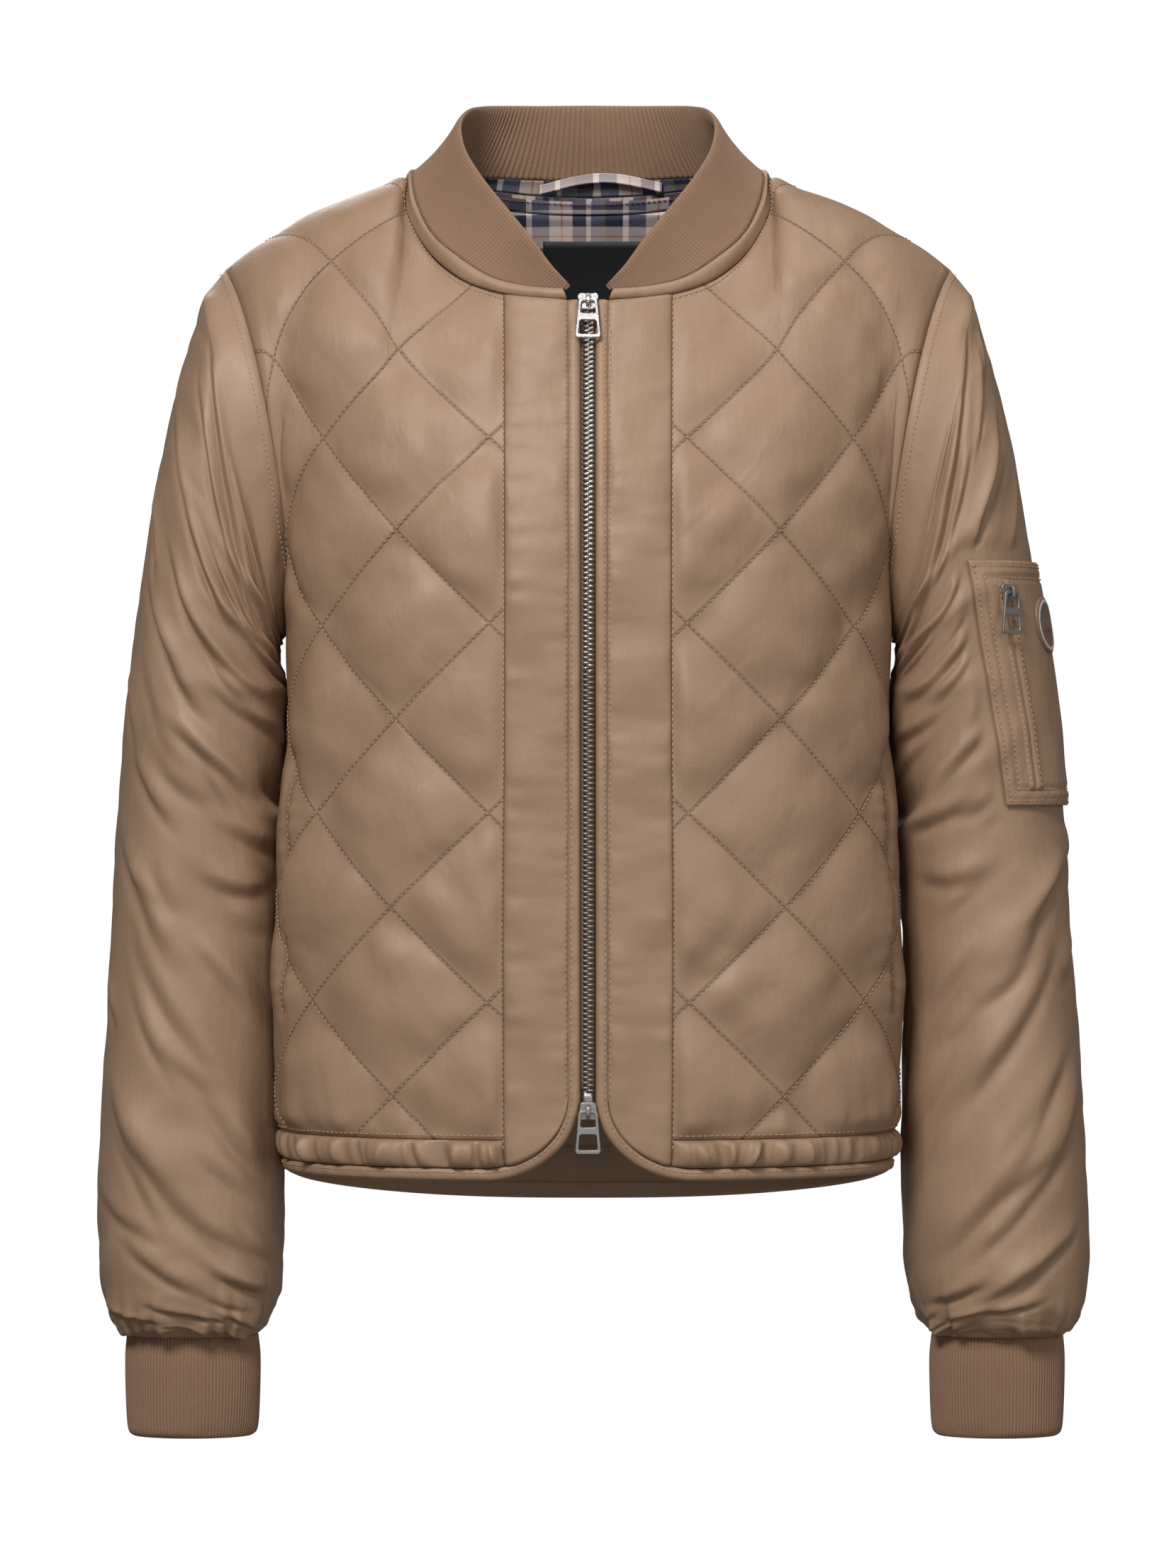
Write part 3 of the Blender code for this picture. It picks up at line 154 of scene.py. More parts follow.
SLEEVE_POWER = 2.15
SLEEVE_WALL = 4.5
SLEEVE_RINGS = (
    # outer x, outer z, inner x, inner z, half depth, middle y, lean to the wearer's left
    (219.0, -70.0, 173.0, -263.5, 60.0, 1.0, 0.0),
    (226.0, -93.0, 175.5, -267.0, 63.0, 2.0, 0.0),
    (235.0, -124.0, 176.5, -272.0, 65.0, 4.0, 0.0),
    (243.5, -160.0, 176.5, -279.0, 65.0, 6.0, 0.0),
    (250.5, -200.0, 176.0, -288.0, 64.0, 8.0, 0.0),
    (257.5, -245.0, 175.0, -300.0, 63.0, 11.0, 0.2),
    (264.0, -290.0, 176.0, -322.0, 62.0, 14.0, 0.6),
    (269.0, -335.0, 178.0, -352.0, 60.5, 17.0, 1.2),
    (272.5, -380.0, 181.0, -388.0, 59.5, 19.0, 1.5),
    (275.0, -425.0, 182.5, -428.0, 59.0, 20.0, 1.8),
    (277.5, -470.0, 183.0, -470.0, 58.5, 20.0, 2.1),
    (280.5, -515.0, 182.5, -515.0, 58.0, 19.0, 2.4),
    (283.0, -560.0, 181.0, -560.0, 57.0, 18.0, 2.7),
    (284.0, -600.0, 179.0, -600.0, 55.0, 17.0, 3.0),
    (283.0, -632.0, 179.5, -630.0, 52.0, 16.0, 3.5),
    (279.5, -651.0, 184.0, -649.0, 46.0, 16.0, 4.0),
    (274.5, -660.0, 189.5, -659.0, 39.0, 16.0, 4.0),
    (269.0, -664.0, 194.0, -664.0, 30.5, 16.0, 4.0),
)
CUFF_RINGS = (
    # z, half width, half depth
    (-664.3, 37.4, 26.2),
    (-680.0, 38.6, 27.4),
    (-714.0, 37.6, 26.4),
    (-722.0, 35.2, 24.0),
)
COLLAR_LINES = (
    # share from centre front to centre back; the seam's x, y, z; the top edge's x, y, z; swell
    (0.00, 12.0, -84.5, -73.0, 10.0, -84.0, -71.0, 0.0),
    (0.08, 35.0, -80.0, -70.7, 20.5, -81.0, -59.5, 1.0),
    (0.18, 55.0, -72.5, -65.0, 32.5, -74.5, -43.0, 3.0),
    (0.28, 74.0, -60.0, -52.0, 46.5, -63.0, -25.0, 4.0),
    (0.38, 88.3, -43.0, -38.0, 59.5, -50.0, -8.0, 4.5),
    (0.48, 97.0, -23.0, -20.0, 70.0, -34.0, 10.0, 4.5),
    (0.57, 100.5, -4.0, -4.0, 73.0, -12.0, 27.0, 4.5),
    (0.66, 98.0, 16.0, 3.5, 69.5, 9.0, 38.0, 4.5),
    (0.75, 86.0, 36.0, 4.5, 62.0, 30.0, 42.5, 4.0),
    (0.84, 64.0, 53.0, 4.2, 46.0, 46.0, 44.5, 3.0),
    (0.92, 33.0, 63.5, 3.6, 25.0, 56.5, 45.5, 2.5),
    (1.00, 0.0, 67.0, 3.2, 0.0, 60.0, 46.0, 2.5),
)

# ---------------------------------------------------------------- sizes of the looks
PUFF, SIDE_CALM = 5.0, 48.0  # the padding's rise, and where it calms down to the side seam
CREASE_GAIN = 1.35  # on the height of the sleeves' creases
ROUND = 360.0  # the sleeve's folds are placed on a cloth this far round, in millimetres
RING = 36.0  # and this far from ring to ring

SLEEVE_FOLDS = (
    # ring, angle from the outer side towards the front, height, half length, half width, slant
    (3.0, 128.0, 4.5, 46.0, 9.0, -0.55),
    (4.6, 118.0, 4.0, 50.0, 10.0, -0.50),
    (6.2, 122.0, 3.5, 44.0, 10.0, -0.40),
    (7.8, 100.0, 3.0, 40.0, 11.0, 0.35),
    (10.4, 95.0, 3.0, 45.0, 12.0, 0.50),
    (12.6, 60.0, 3.0, 45.0, 12.0, 0.55),
    (5.4, -120.0, 4.0, 48.0, 10.0, 0.45),
    (8.2, -100.0, 3.5, 45.0, 11.0, -0.40),
    (11.2, -90.0, 3.0, 45.0, 12.0, -0.50),
    (13.4, -60.0, 2.5, 40.0, 12.0, 0.45),
)
FRONT_CREASES = (
    # ring, angle, height, half length, half width, slant, bend; on the side seen from the front
    (1.6, 70.0, 2.4, 31.3, 7.8, 1.0, 0.2),
    (2.6, 104.0, 2.8, 34.0, 8.4, 1.1, 0.2),
    (3.5, 58.0, 2.2, 24.5, 6.7, 0.8, 0.0),
    (4.2, 88.0, 2.8, 29.9, 6.7, 0.75, 0.3),
    (4.7, 140.0, 2.6, 23.1, 6.7, 0.35, -0.3),
    (5.4, 64.0, 2.6, 24.5, 6.2, 0.7, 0.4),
    (5.9, 110.0, 3.2, 28.6, 6.7, 0.55, 0.4),
    (6.6, 78.0, 3.2, 27.2, 6.2, 0.85, 0.0),
    (6.9, 138.0, 3.0, 20.4, 6.2, 0.25, 0.3),
    (7.5, 104.0, 3.4, 29.9, 6.2, 0.6, -0.3),
    (7.9, 56.0, 2.4, 21.8, 5.6, 0.75, 0.2),
    (8.3, 156.0, -4.6, 24.5, 9.0, 0.2, 0.0),
    (8.4, 128.0, 3.4, 23.1, 6.2, 0.2, 0.3),
    (9.3, 118.0, 2.8, 20.4, 6.2, 0.1, 0.4),
    (9.9, 66.0, 2.4, 31.3, 7.3, 1.0, -0.2),
    (10.6, 122.0, 2.2, 23.1, 6.7, 0.9, 0.0),
    (11.3, 84.0, 2.6, 40.8, 7.3, 1.05, 0.2),
    (12.3, 132.0, 2.0, 29.9, 7.3, 1.0, 0.0),
    (12.9, 58.0, 2.4, 29.9, 7.3, 1.0, 0.2),
    (13.5, 102.0, 2.8, 38.1, 7.8, 1.1, 0.2),
    (14.6, 74.0, 2.4, 27.2, 6.7, 0.8, 0.0),
    (15.2, 120.0, 2.4, 24.5, 6.7, 0.6, 0.3),
    (15.7, 92.0, 2.2, 24.5, 6.2, 0.45, 0.3),
)
BACK_CREASES = (
    (2.8, -140.0, 3.0, 42.0, 7.0, 0.70, 0.2),
    (4.1, -96.0, 2.8, 46.0, 8.0, 0.50, 0.2),
    (6.6, -128.0, 3.2, 44.0, 7.0, 0.35, 0.3),
    (7.4, -66.0, 2.8, 46.0, 7.5, 0.25, 0.3),
    (9.2, -134.0, 3.2, 44.0, 7.5, -0.45, -0.3),
    (10.1, -78.0, 2.8, 50.0, 8.0, -0.60, 0.2),
    (12.0, -118.0, 3.0, 54.0, 8.5, -0.85, 0.0),
    (14.2, -92.0, 3.0, 50.0, 8.5, -0.60, 0.2),
    (15.4, -124.0, 2.4, 40.0, 7.0, -0.35, 0.2),
)
PATCH_ANGLES, PATCH_TWIST = (88.0, -22.0), -8.0  # degrees round the sleeve
PATCH_TOP_Z, PATCH_FOOT_Z = -223.0, -361.0
PATCH_THICK, PATCH_OFF = 1.2, 1.6  # off the sleeve's cloth
SLEEVE_RADIUS = 58.0  # turns lengths round the sleeve into degrees
FRONT_FOLDS = (
    # across, up, height, half length, half width, slant, bend
    (-132.0, -20.0, 1.8, 70.0, 13.0, 0.9, 0.2),
    (-92.0, -150.0, 1.6, 60.0, 14.0, -1.6, 0.1),
    (-150.0, -210.0, 1.8, 70.0, 14.0, 1.3, 0.1),
    (-75.0, 70.0, 1.4, 55.0, 13.0, -1.1, 0.1),
    (128.0, -30.0, 1.8, 75.0, 13.0, -0.9, 0.2),
    (98.0, -170.0, 1.7, 60.0, 14.0, 1.5, 0.1),
    (160.0, -220.0, 1.8, 66.0, 14.0, -1.2, 0.1),
    (80.0, 60.0, 1.4, 55.0, 13.0, 1.2, 0.1),
)
BACK_FOLDS = (
    (-150.0, -40.0, 1.9, 75.0, 14.0, 0.9, 0.2),
    (-60.0, -160.0, 1.6, 65.0, 15.0, -1.7, 0.1),
    (40.0, -90.0, 1.5, 65.0, 15.0, 1.6, 0.1),
    (145.0, -50.0, 1.9, 75.0, 14.0, -1.0, 0.2),
    (90.0, -220.0, 1.7, 65.0, 15.0, -1.4, 0.1),
)
POCKET_ACROSS, POCKET_FOOT_Z, POCKET_TOP_Z = 196.0, -476.0, -334.0
CELL_ACROSS = QUILT_ACROSS / 3
LINING_WALL, INSIDE_GAP = 1.0, 1.0
WELT_ANGLE, WELT_TOP_Z, WELT_FOOT_Z = (66.0, 58.0), -234.0, -352.0
WELT_THICK = 1.6
BACK_AWAY = 700.0  # how far the back's cloth lies from the front's on the flat
SEWN_RINGS = 0.7  # the part of the sleeve's first rings that fans out from the armhole
PATCH_LINES = (3.0, 9.5)  # from the patch's edges to its two rows of stitches
PATCH_LEVEL = PATCH_OFF + PATCH_THICK
WELT_FLOOR = PATCH_LEVEL + GAP


# ================================================================ curves and forms
def hermite(
    t: Array, start: Array, leave: Array, end: Array, arrive: Array, span: float | Array = 1.0
) -> Array:
    """Places at shares t of a smooth curve from start to end, with its speeds at both."""
    return (
        (2 * t**3 - 3 * t**2 + 1) * start
        + (t**3 - 2 * t**2 + t) * span * leave
        + (3 * t**2 - 2 * t**3) * end
        + (t**3 - t**2) * span * arrive
    )


def smooth(rows: Sequence[Sequence[float]], keys: Array) -> Array:
    """Reads a table on a smooth curve through its rows.

    Args:
        rows: The table; its first column is the key.
        keys: The keys to read at.

    Returns:
        One row of the other columns for each key.
    """
    table = np.array(rows, float)
    known = table[:, 0]
    keys = np.clip(np.asarray(keys, float), known[0], known[-1])
    i = np.clip(np.searchsorted(known, keys, side="right") - 1, 0, len(known) - 2)
    slopes = np.empty_like(table)
    slopes[1:-1] = (table[2:] - table[:-2]) / (known[2:] - known[:-2])[:, None]
    slopes[0] = (table[1] - table[0]) / (known[1] - known[0])
    slopes[-1] = (table[-1] - table[-2]) / (known[-1] - known[-2])
    span = (known[i + 1] - known[i])[..., None]
    t = ((keys - known[i])[..., None]) / span
    return hermite(t, table[i], slopes[i], table[i + 1], slopes[i + 1], span)[..., 1:]


def unit(vectors: Array) -> Array:
    """The vectors at length one."""
    lengths = np.linalg.norm(vectors, axis=-1, keepdims=True)
    return vectors / np.maximum(lengths, 1e-9)


def ripple(places: Array, seed: int, knots: int = 997) -> Array:
    """Smooth uneven waves of height about one, one knot to a unit of length."""
    heights = np.random.default_rng(seed).uniform(-1.0, 1.0, knots)
    i = np.floor(places).astype(int)
    t = places - i
    t = t * t * (3 - 2 * t)
    return heights[i % knots] * (1 - t) + heights[(i + 1) % knots] * t


def cloud(u: Array, v: Array, seed: int, knots: int = 61) -> Array:
    """A soft two-way noise of height about one, one knot to a unit of length."""
    heights = np.random.default_rng(seed).uniform(-1.0, 1.0, (knots, knots))
    i, j = np.floor(u).astype(int), np.floor(v).astype(int)
    s, t = u - i, v - j
    s, t = s * s * (3 - 2 * s), t * t * (3 - 2 * t)
    i0, i1, j0, j1 = i % knots, (i + 1) % knots, j % knots, (j + 1) % knots
    near = heights[i0, j0] * (1 - s) + heights[i1, j0] * s
    far = heights[i0, j1] * (1 - s) + heights[i1, j1] * s
    return near * (1 - t) + far * t


# ================================================================ torso form
@dataclass
class Torso:
    """The form of the jacket's body, read by places along the cloth.

    Attributes:
        lines: The lines up the cloth that were worked out so far, with their heights.
    """

    lines: dict[tuple[Face, float], tuple[Array, Array]] = field(default_factory=dict)

    @staticmethod
    def arc(half_width: Array, depth: Array, across: float) -> tuple[Array, Array]:
        """x and y on a quarter of a section, by distance along the cloth.

        Args:
            half_width: The section's half width at each height.
            depth: Its depth at each height.
            across: Distance from the centre line, not negative.

        Returns:
            The x and y of each height.
        """
        angles = np.linspace(0.0, math.pi / 2, 61)
        xs = np.outer(half_width, np.sin(angles) ** (2 / SECTION_POWER))
        ys = np.outer(depth, np.cos(angles) ** (2 / SECTION_POWER))
        steps = np.hypot(np.diff(xs, axis=1), np.diff(ys, axis=1))
        travelled = np.cumsum(steps, axis=1) / steps.sum(axis=1, keepdims=True) * SIDE_SEAM
        travelled = np.hstack([np.zeros((len(xs), 1)), travelled])
        x = [np.interp(across, t, row) for t, row in zip(travelled, xs)]
        y = [np.interp(across, t, row) for t, row in zip(travelled, ys)]
        return np.array(x), np.array(y)

    def line(self, face: Face, across: float) -> tuple[Array, Array]:
        """The line up the cloth at a place across: its points and their heights along it."""
        key = (face, round(across, 3))
        if key in self.lines:
            return self.lines[key]
        zs = np.linspace(-600.0, UNDERARM_Z, 86)
        half_width, front, back = smooth(TORSO_SECTIONS, zs).T
        x, y = self.arc(half_width, front if face is Face.FRONT else back, across)
        lower = np.column_stack([x, face.value * y, zs])
        table = FRONT_TOP if face is Face.FRONT else BACK_TOP
        ex, ey, ez, start_lean, end_lean, slack = smooth(table, across)
        start, end = lower[-1], np.array([ex, ey, ez])
        reach = np.linalg.norm(end - start) * slack
        a, b = math.radians(start_lean), math.radians(end_lean)
        leave = reach * np.array([0.0, face.value * math.sin(a), math.cos(a)])
        arrive = reach * np.array([0.0, -face.value * math.sin(b), math.cos(b)])
        arrive[0] = (end[0] - start[0]) * (1 + SPREAD)
        upper = hermite(np.linspace(0.0, 1.0, 81)[:, None], start, leave, end, arrive)
        climbed = np.cumsum(np.linalg.norm(np.diff(upper, axis=0), axis=1))
        points = np.vstack([lower, upper[1:]])
        heights = np.concatenate([zs - UNDERARM_Z, climbed])
        self.lines[key] = points, heights
        return self.lines[key]

    def top(self, face: Face, across: float) -> float:
        """How far above the underarm line the cloth ends here."""
        return float(self.line(face, abs(across))[1][-1])

    def tops(self, face: Face, across: Array) -> Array:
        """Where the cloth ends at each of these places."""
        return np.array([self.top(face, a) for a in across])

    def height_at(self, face: Face, across: float, z: float) -> float:
        """The place up the cloth where it reaches this height."""
        points, heights = self.line(face, abs(across))
        return float(np.interp(z, points[:, 2], heights))

    def up_at(self, across: float, z: float) -> float:
        """The place up the front's cloth at this height."""
        return z - UNDERARM_Z if z <= UNDERARM_Z else self.height_at(Face.FRONT, across, z)

    def column(self, face: Face, across: float, ups: Array) -> Array:
        """Points up the cloth at one place across; negative is the wearer's right."""
        points, heights = self.line(face, min(abs(across), SIDE_SEAM))
        read = np.column_stack([np.interp(ups, heights, points[:, k]) for k in range(3)])
        return read * (-1 if across < 0 else 1, 1, 1)

    def point(self, face: Face, across: float, up: float) -> Array:
        """One point of the form."""
        return self.column(face, across, np.array([up]))[0]

    def out(self, face: Face, across: float, ups: Array, reach: float = 3.0) -> Array:
        """The outward directions at places up the cloth."""
        left, right = max(across - reach, -SIDE_SEAM), min(across + reach, SIDE_SEAM)
        tops = [self.top(face, a) for a in (left, right, across)]
        along = self.column(face, right, np.minimum(ups, tops[1])) - self.column(
            face, left, np.minimum(ups, tops[0])
        )
        high = np.minimum(ups + reach, tops[2])
        upward = self.column(face, across, high) - self.column(face, across, high - 2 * reach)
        return unit(np.cross(along, upward) * -face.value)

    def inward(self, face: Face, across: float, ups: Array) -> Array:
        """Inward directions, turned to the neighbouring panel's where two panels meet."""
        out = self.out(face, across, ups)
        side = -1 if across < 0 else 1
        turned = -out
        near = min(max((abs(across) - SIDE_SEAM + 16.0) / 15.0, 0.0), 1.0)
        if near > 0:
            seam = unit(armhole_heart(side) - self.column(face, across, ups))
            flat = np.array([-side, 0.0, 0.0])
            share = np.clip((ups + 12.0) / 12.0, 0.0, 1.0)[:, None]
            seam = unit(flat * (1 - share) + seam * share)
            turned = unit(turned * (1 - near) + seam * near)
        if abs(across) > SEAM_TURN:
            far = min((abs(across) - SEAM_TURN) / (NECK_END - SEAM_TURN), 1.0)
            high = np.clip(1 - (self.top(face, across) - ups) / 14.0, 0.0, 1.0)[:, None] * far
            turned = unit(turned * (1 - high) + np.array([0.0, 0.0, -1.0]) * high)
        return turned

    def grid(self, face: Face, across: Array, ups: Array) -> tuple[Array, Array]:
        """The form's points and inward directions, for a row of heights at each place across."""
        pairs = list(zip(across, ups))
        points = np.array([self.column(face, a, u) for a, u in pairs])
        return points, np.array([self.inward(face, a, u) for a, u in pairs])

    def places(self, face: Face, across: Array, ups: Array) -> tuple[Array, Array]:
        """The form's points and inward directions at single places."""
        points, inward = self.grid(face, across, np.asarray(ups, float)[:, None])
        return points[:, 0], inward[:, 0]


TORSO = Torso()


def armhole_heart(side: float) -> Array:
    """The middle of one armhole, by the sign of its x."""
    return np.array(ARMHOLE_HEART) * (side, 1, 1)


def back_drop(across: float) -> float:
    """How much lower the back's hem hangs here than the front's."""
    return BACK_DROP * math.cos(math.pi / 2 * min(abs(across) / SIDE_SEAM, 1.0) ** 1.3)


def panel_foot(face: Face, across: float) -> float:
    """Where a panel meets the hem tunnel, as a height above the underarm line."""
    return TUNNEL_TOP_Z - UNDERARM_Z - (0.56 * back_drop(across) if face is Face.BACK else 0.0)


def panel_feet(face: Face, across: Array) -> Array:
    """The feet of a panel at each of these places."""
    return np.array([panel_foot(face, a) for a in across])


def tunnel_foot(face: Face, across: float) -> float:
    """Where the tunnel meets the bound edge."""
    return TUNNEL_FOOT_Z - UNDERARM_Z - (0.86 * back_drop(across) if face is Face.BACK else 0.0)


def hem_foot(face: Face, across: float) -> float:
    """The hem's edge."""
    return HEM_Z - UNDERARM_Z - (back_drop(across) if face is Face.BACK else 0.0)


def corner_z(across: float, inset: float) -> float:
    """Height of the rounded front corner's edge, drawn in by inset."""
    wide = CORNER_ACROSS - EDGE - inset
    tall = CORNER_Z - HEM_Z - inset
    reach = min(max(CORNER_ACROSS - across, 0.0) / wide, 1.0)
    return CORNER_Z - tall * math.sqrt(max(1 - reach**2, 0.0))


# ================================================================ sleeve form
@dataclass(frozen=True)
class Sleeve:
    """The form of one sleeve, by angle round it and ring down it; ring 0 is the armhole."""

    side: Side

    def armhole(self, angles: Array) -> Array:
        """The armhole's edge: angle 0 at the shoulder, 90 in front, 180 underarm."""
        points = []
        for angle in np.mod(np.asarray(angles, float), 360.0):
            face = Face.FRONT if angle <= 180.0 else Face.BACK
            share = 1 - angle / 180.0 if angle <= 180.0 else (angle - 180.0) / 180.0
            up = share * TORSO.top(face, SIDE_SEAM)
            points.append(TORSO.point(face, self.side.value * SIDE_SEAM, up))
        return np.array(points)

    def points(self, angles: Array, rings: Array) -> Array:
        """Points for each angle and ring together, both arrays of one shape."""
        angles, rings = np.broadcast_arrays(np.asarray(angles, float), np.asarray(rings, float))
        row = smooth([(k + 1,) + row for k, row in enumerate(SLEEVE_RINGS)], np.maximum(rings, 1.0))
        outer_x, outer_z, inner_x, inner_z, depth, middle_y, lean = np.moveaxis(row, -1, 0)
        a = np.radians(angles)
        power = 2 / SLEEVE_POWER
        along = np.copysign(np.abs(np.cos(a)) ** power, np.cos(a))
        beside = np.copysign(np.abs(np.sin(a)) ** power, np.sin(a))
        x = (outer_x + inner_x) / 2 + (outer_x - inner_x) / 2 * along
        z = (outer_z + inner_z) / 2 + (outer_z - inner_z) / 2 * along
        found = np.stack([x * self.side.value + lean, middle_y - depth * beside, z], axis=-1)
        near = rings < 1.0
        if near.any():
            start = self.armhole(angles[near])
            found[near] = start + (found[near] - start) * rings[near][:, None]
        return found

    def out(self, angles: Array, rings: Array) -> Array:
        """The outward directions at each angle and ring."""
        rings = np.asarray(rings, float)
        around = self.points(np.add(angles, 4.0), rings) - self.points(np.add(angles, -4.0), rings)
        down = self.points(angles, np.minimum(rings + 0.2, 18.0)) - self.points(
            angles, np.maximum(rings - 0.2, 0.0)
        )
        return unit(np.cross(around, down) * self.side.value)

    def ring_at(self, angles: Array, zs: Array) -> Array:
        """The rings whose points at these angles are at these heights."""
        low, high = np.full(np.shape(zs), 1.0), np.full(np.shape(zs), 18.0)
        for _ in range(22):
            middle = (low + high) / 2
            above = self.points(angles, middle)[..., 2] > zs
            low, high = np.where(above, middle, low), np.where(above, high, middle)
        return (low + high) / 2


# ================================================================ meshes
def add_object(name: str, data: Any) -> bpy.types.Object:
    """Adds an object for a mesh, curve, light or camera."""
    thing = bpy.data.objects.new(name, data)
    bpy.context.scene.collection.objects.link(thing)
    return thing


def add_mesh(name: str, points: Array, faces: Sequence[Sequence[int]]) -> bpy.types.Object:
    """Adds a mesh object in place; the points are in millimetres."""
    mesh = bpy.data.meshes.new(name)
    corners = [list(map(int, face)) for face in faces]
    mesh.from_pydata((np.asarray(points, float) * MM).tolist(), [], corners)
    mesh.update()
    return add_object(name, mesh)


def evaluated_mesh(thing: bpy.types.Object) -> bpy.types.Mesh:
    """The object's finished form as a plain mesh."""
    bpy.context.view_layer.update()
    graph = bpy.context.evaluated_depsgraph_get()
    return bpy.data.meshes.new_from_object(thing.evaluated_get(graph))


def signed_volume(points: Array, triangles: Array) -> float:
    """The volume inside a closed mesh, negative if its faces look inward."""
    a, b, c = (points[triangles[:, k]] for k in range(3))
    return float(np.einsum("ij,ij->i", a, np.cross(b, c)).sum() / 6.0)


@dataclass
class Wall:
    """A closed wall of cloth between an outer and an inner grid of points.

    Attributes:
        outer: Outer points by column and row, in millimetres.
        inner: Inner points, of the same shape.
        flat: Each point's place on the flat cloth, across and up, in millimetres.
        wrap: Whether the last column joins the first.
        seam: How near each point is to a line of stitching or a rib's valley, from 0 to 1, where
            given; the satin and the knit darken their colour there as painted shade.
        block: How many cells of the grid a block of the smooth inner side takes.
    """

    outer: Array
    inner: Array
    flat: Array
    wrap: bool = False
    seam: Array | None = None
    block: int = 1

    def inner_side(self, index: Array) -> Array:
        """The inner side's triangles: fans over blocks of cells, with all its border's points."""
        grid = np.vstack([index, index[:1]]) if self.wrap else index
        columns, rows = (
            np.round(np.linspace(0, n - 1, max((n - 1) // self.block, 1) + 1)).astype(int)
            for n in grid.shape
        )
        fans = []
        for left, right in zip(columns[:-1], columns[1:]):
            for low, high in zip(rows[:-1], rows[1:]):
                last = right == columns[-1] and not self.wrap
                first = left == 0 and not self.wrap
                ring = np.concatenate([
                    grid[left:right, low] if low == 0 else grid[left:left + 1, low],
                    grid[right, low:high] if last else grid[right, low:low + 1],
                    grid[right:left:-1, high] if high == rows[-1] else grid[right:right + 1, high],
                    grid[left, high:low:-1] if first else grid[left, high:high + 1],
                ])
                heart = grid[(left + right) // 2, (low + high) // 2]
                fans.append(np.column_stack([ring, np.roll(ring, -1), np.full(len(ring), heart)]))
        return np.vstack(fans)

    def build(self, name: str, looks: Sequence[bpy.types.Material]) -> bpy.types.Object:
        """Makes the object.

        Args:
            name: The object's name.
            looks: The outer material, and the inner one if it differs.

        Returns:
            The new object, smooth shaded, with a UV map of the flat cloth in metres.
        """
        cols, rows = self.outer.shape[:2]
        index = np.arange(cols * rows).reshape(cols, rows)
        count = cols * rows
        ahead = np.roll(index, -1, axis=0) if self.wrap else index[1:]
        here = index if self.wrap else index[:-1]
        a, b = here[:, :-1].ravel(), ahead[:, :-1].ravel()
        c, d = ahead[:, 1:].ravel(), here[:, 1:].ravel()
        points = np.vstack([self.outer.reshape(-1, 3), self.inner.reshape(-1, 3)])
        thick = np.linalg.norm(self.outer - self.inner, axis=-1).ravel()
        split = (thick[a] + thick[c] <= thick[b] + thick[d])[:, None]
        first = np.where(split, np.column_stack([a, b, c]), np.column_stack([a, b, d]))
        second = np.where(split, np.column_stack([a, c, d]), np.column_stack([b, c, d]))
        sheet = np.vstack([first, second])
        behind = sheet if self.block == 1 else self.inner_side(index)
        groups = [sheet, behind[:, ::-1] + count]
        if self.wrap:
            loops = [np.append(index[:, 0], index[0, 0]), np.append(index[::-1, -1], index[-1, -1])]
        else:
            sides = [index[:, 0], index[-1, 1:], index[-2::-1, -1], index[0, -2::-1]]
            loops = [np.concatenate(sides)]
        for loop in loops:
            p, q = loop[:-1], loop[1:]
            groups.append(np.column_stack([q, p, p + count]))
            groups.append(np.column_stack([q, p + count, q + count]))
        triangles = np.vstack(groups)
        if signed_volume(points, triangles) < 0:
            triangles = triangles[:, ::-1]
        used, kept = np.unique(triangles, return_inverse=True)
        thing = add_mesh(name, points[used], kept.reshape(-1, 3))
        mesh = thing.data
        mesh.polygons.foreach_set("use_smooth", np.ones(len(triangles), bool))
        self.map_cloth(mesh, triangles, cols, rows)
        # The seam attribute is the mask of painted shade along stitch lines and rib valleys.
        if self.seam is not None:
            near = np.tile(self.seam.ravel(), 2).astype(np.float32)
            mesh.attributes.new("seam", "FLOAT", "POINT").data.foreach_set("value", near[used])
        for look in looks:
            mesh.materials.append(look)
        if len(looks) > 1:
            marks = np.zeros(len(triangles), np.int32)
            marks[len(sheet):len(sheet) + len(behind)] = 1
            mesh.polygons.foreach_set("material_index", marks)
        return thing

    def map_cloth(self, mesh: bpy.types.Mesh, triangles: Array, cols: int, rows: int) -> None:
        """Writes the flat places as the UV map, carried over the join of a wrapped wall."""
        flat = self.flat.reshape(-1, 2)
        corners = triangles.ravel()
        places = flat[corners % len(flat)].copy()
        if self.wrap:
            column = (corners % len(flat)) // rows
            by_face = column.reshape(-1, 3)
            crossing = (by_face.max(axis=1) - by_face.min(axis=1)) > cols // 2
            late = (np.repeat(crossing, 3)) & (column < cols // 2)
            width = self.flat[-1, 0, 0] - self.flat[0, 0, 0]
            places[late, 0] += width * cols / (cols - 1)
        layer = mesh.uv_layers.new(name="cloth")
        layer.data.foreach_set("uv", (places * MM).astype(np.float32).ravel())


def settle(values: Array, low: float, high: float) -> Array:
    """A smooth step from 0 at low to 1 at high."""
    t = np.clip((values - low) / (high - low), 0.0, 1.0)
    return t * t * (3 - 2 * t)


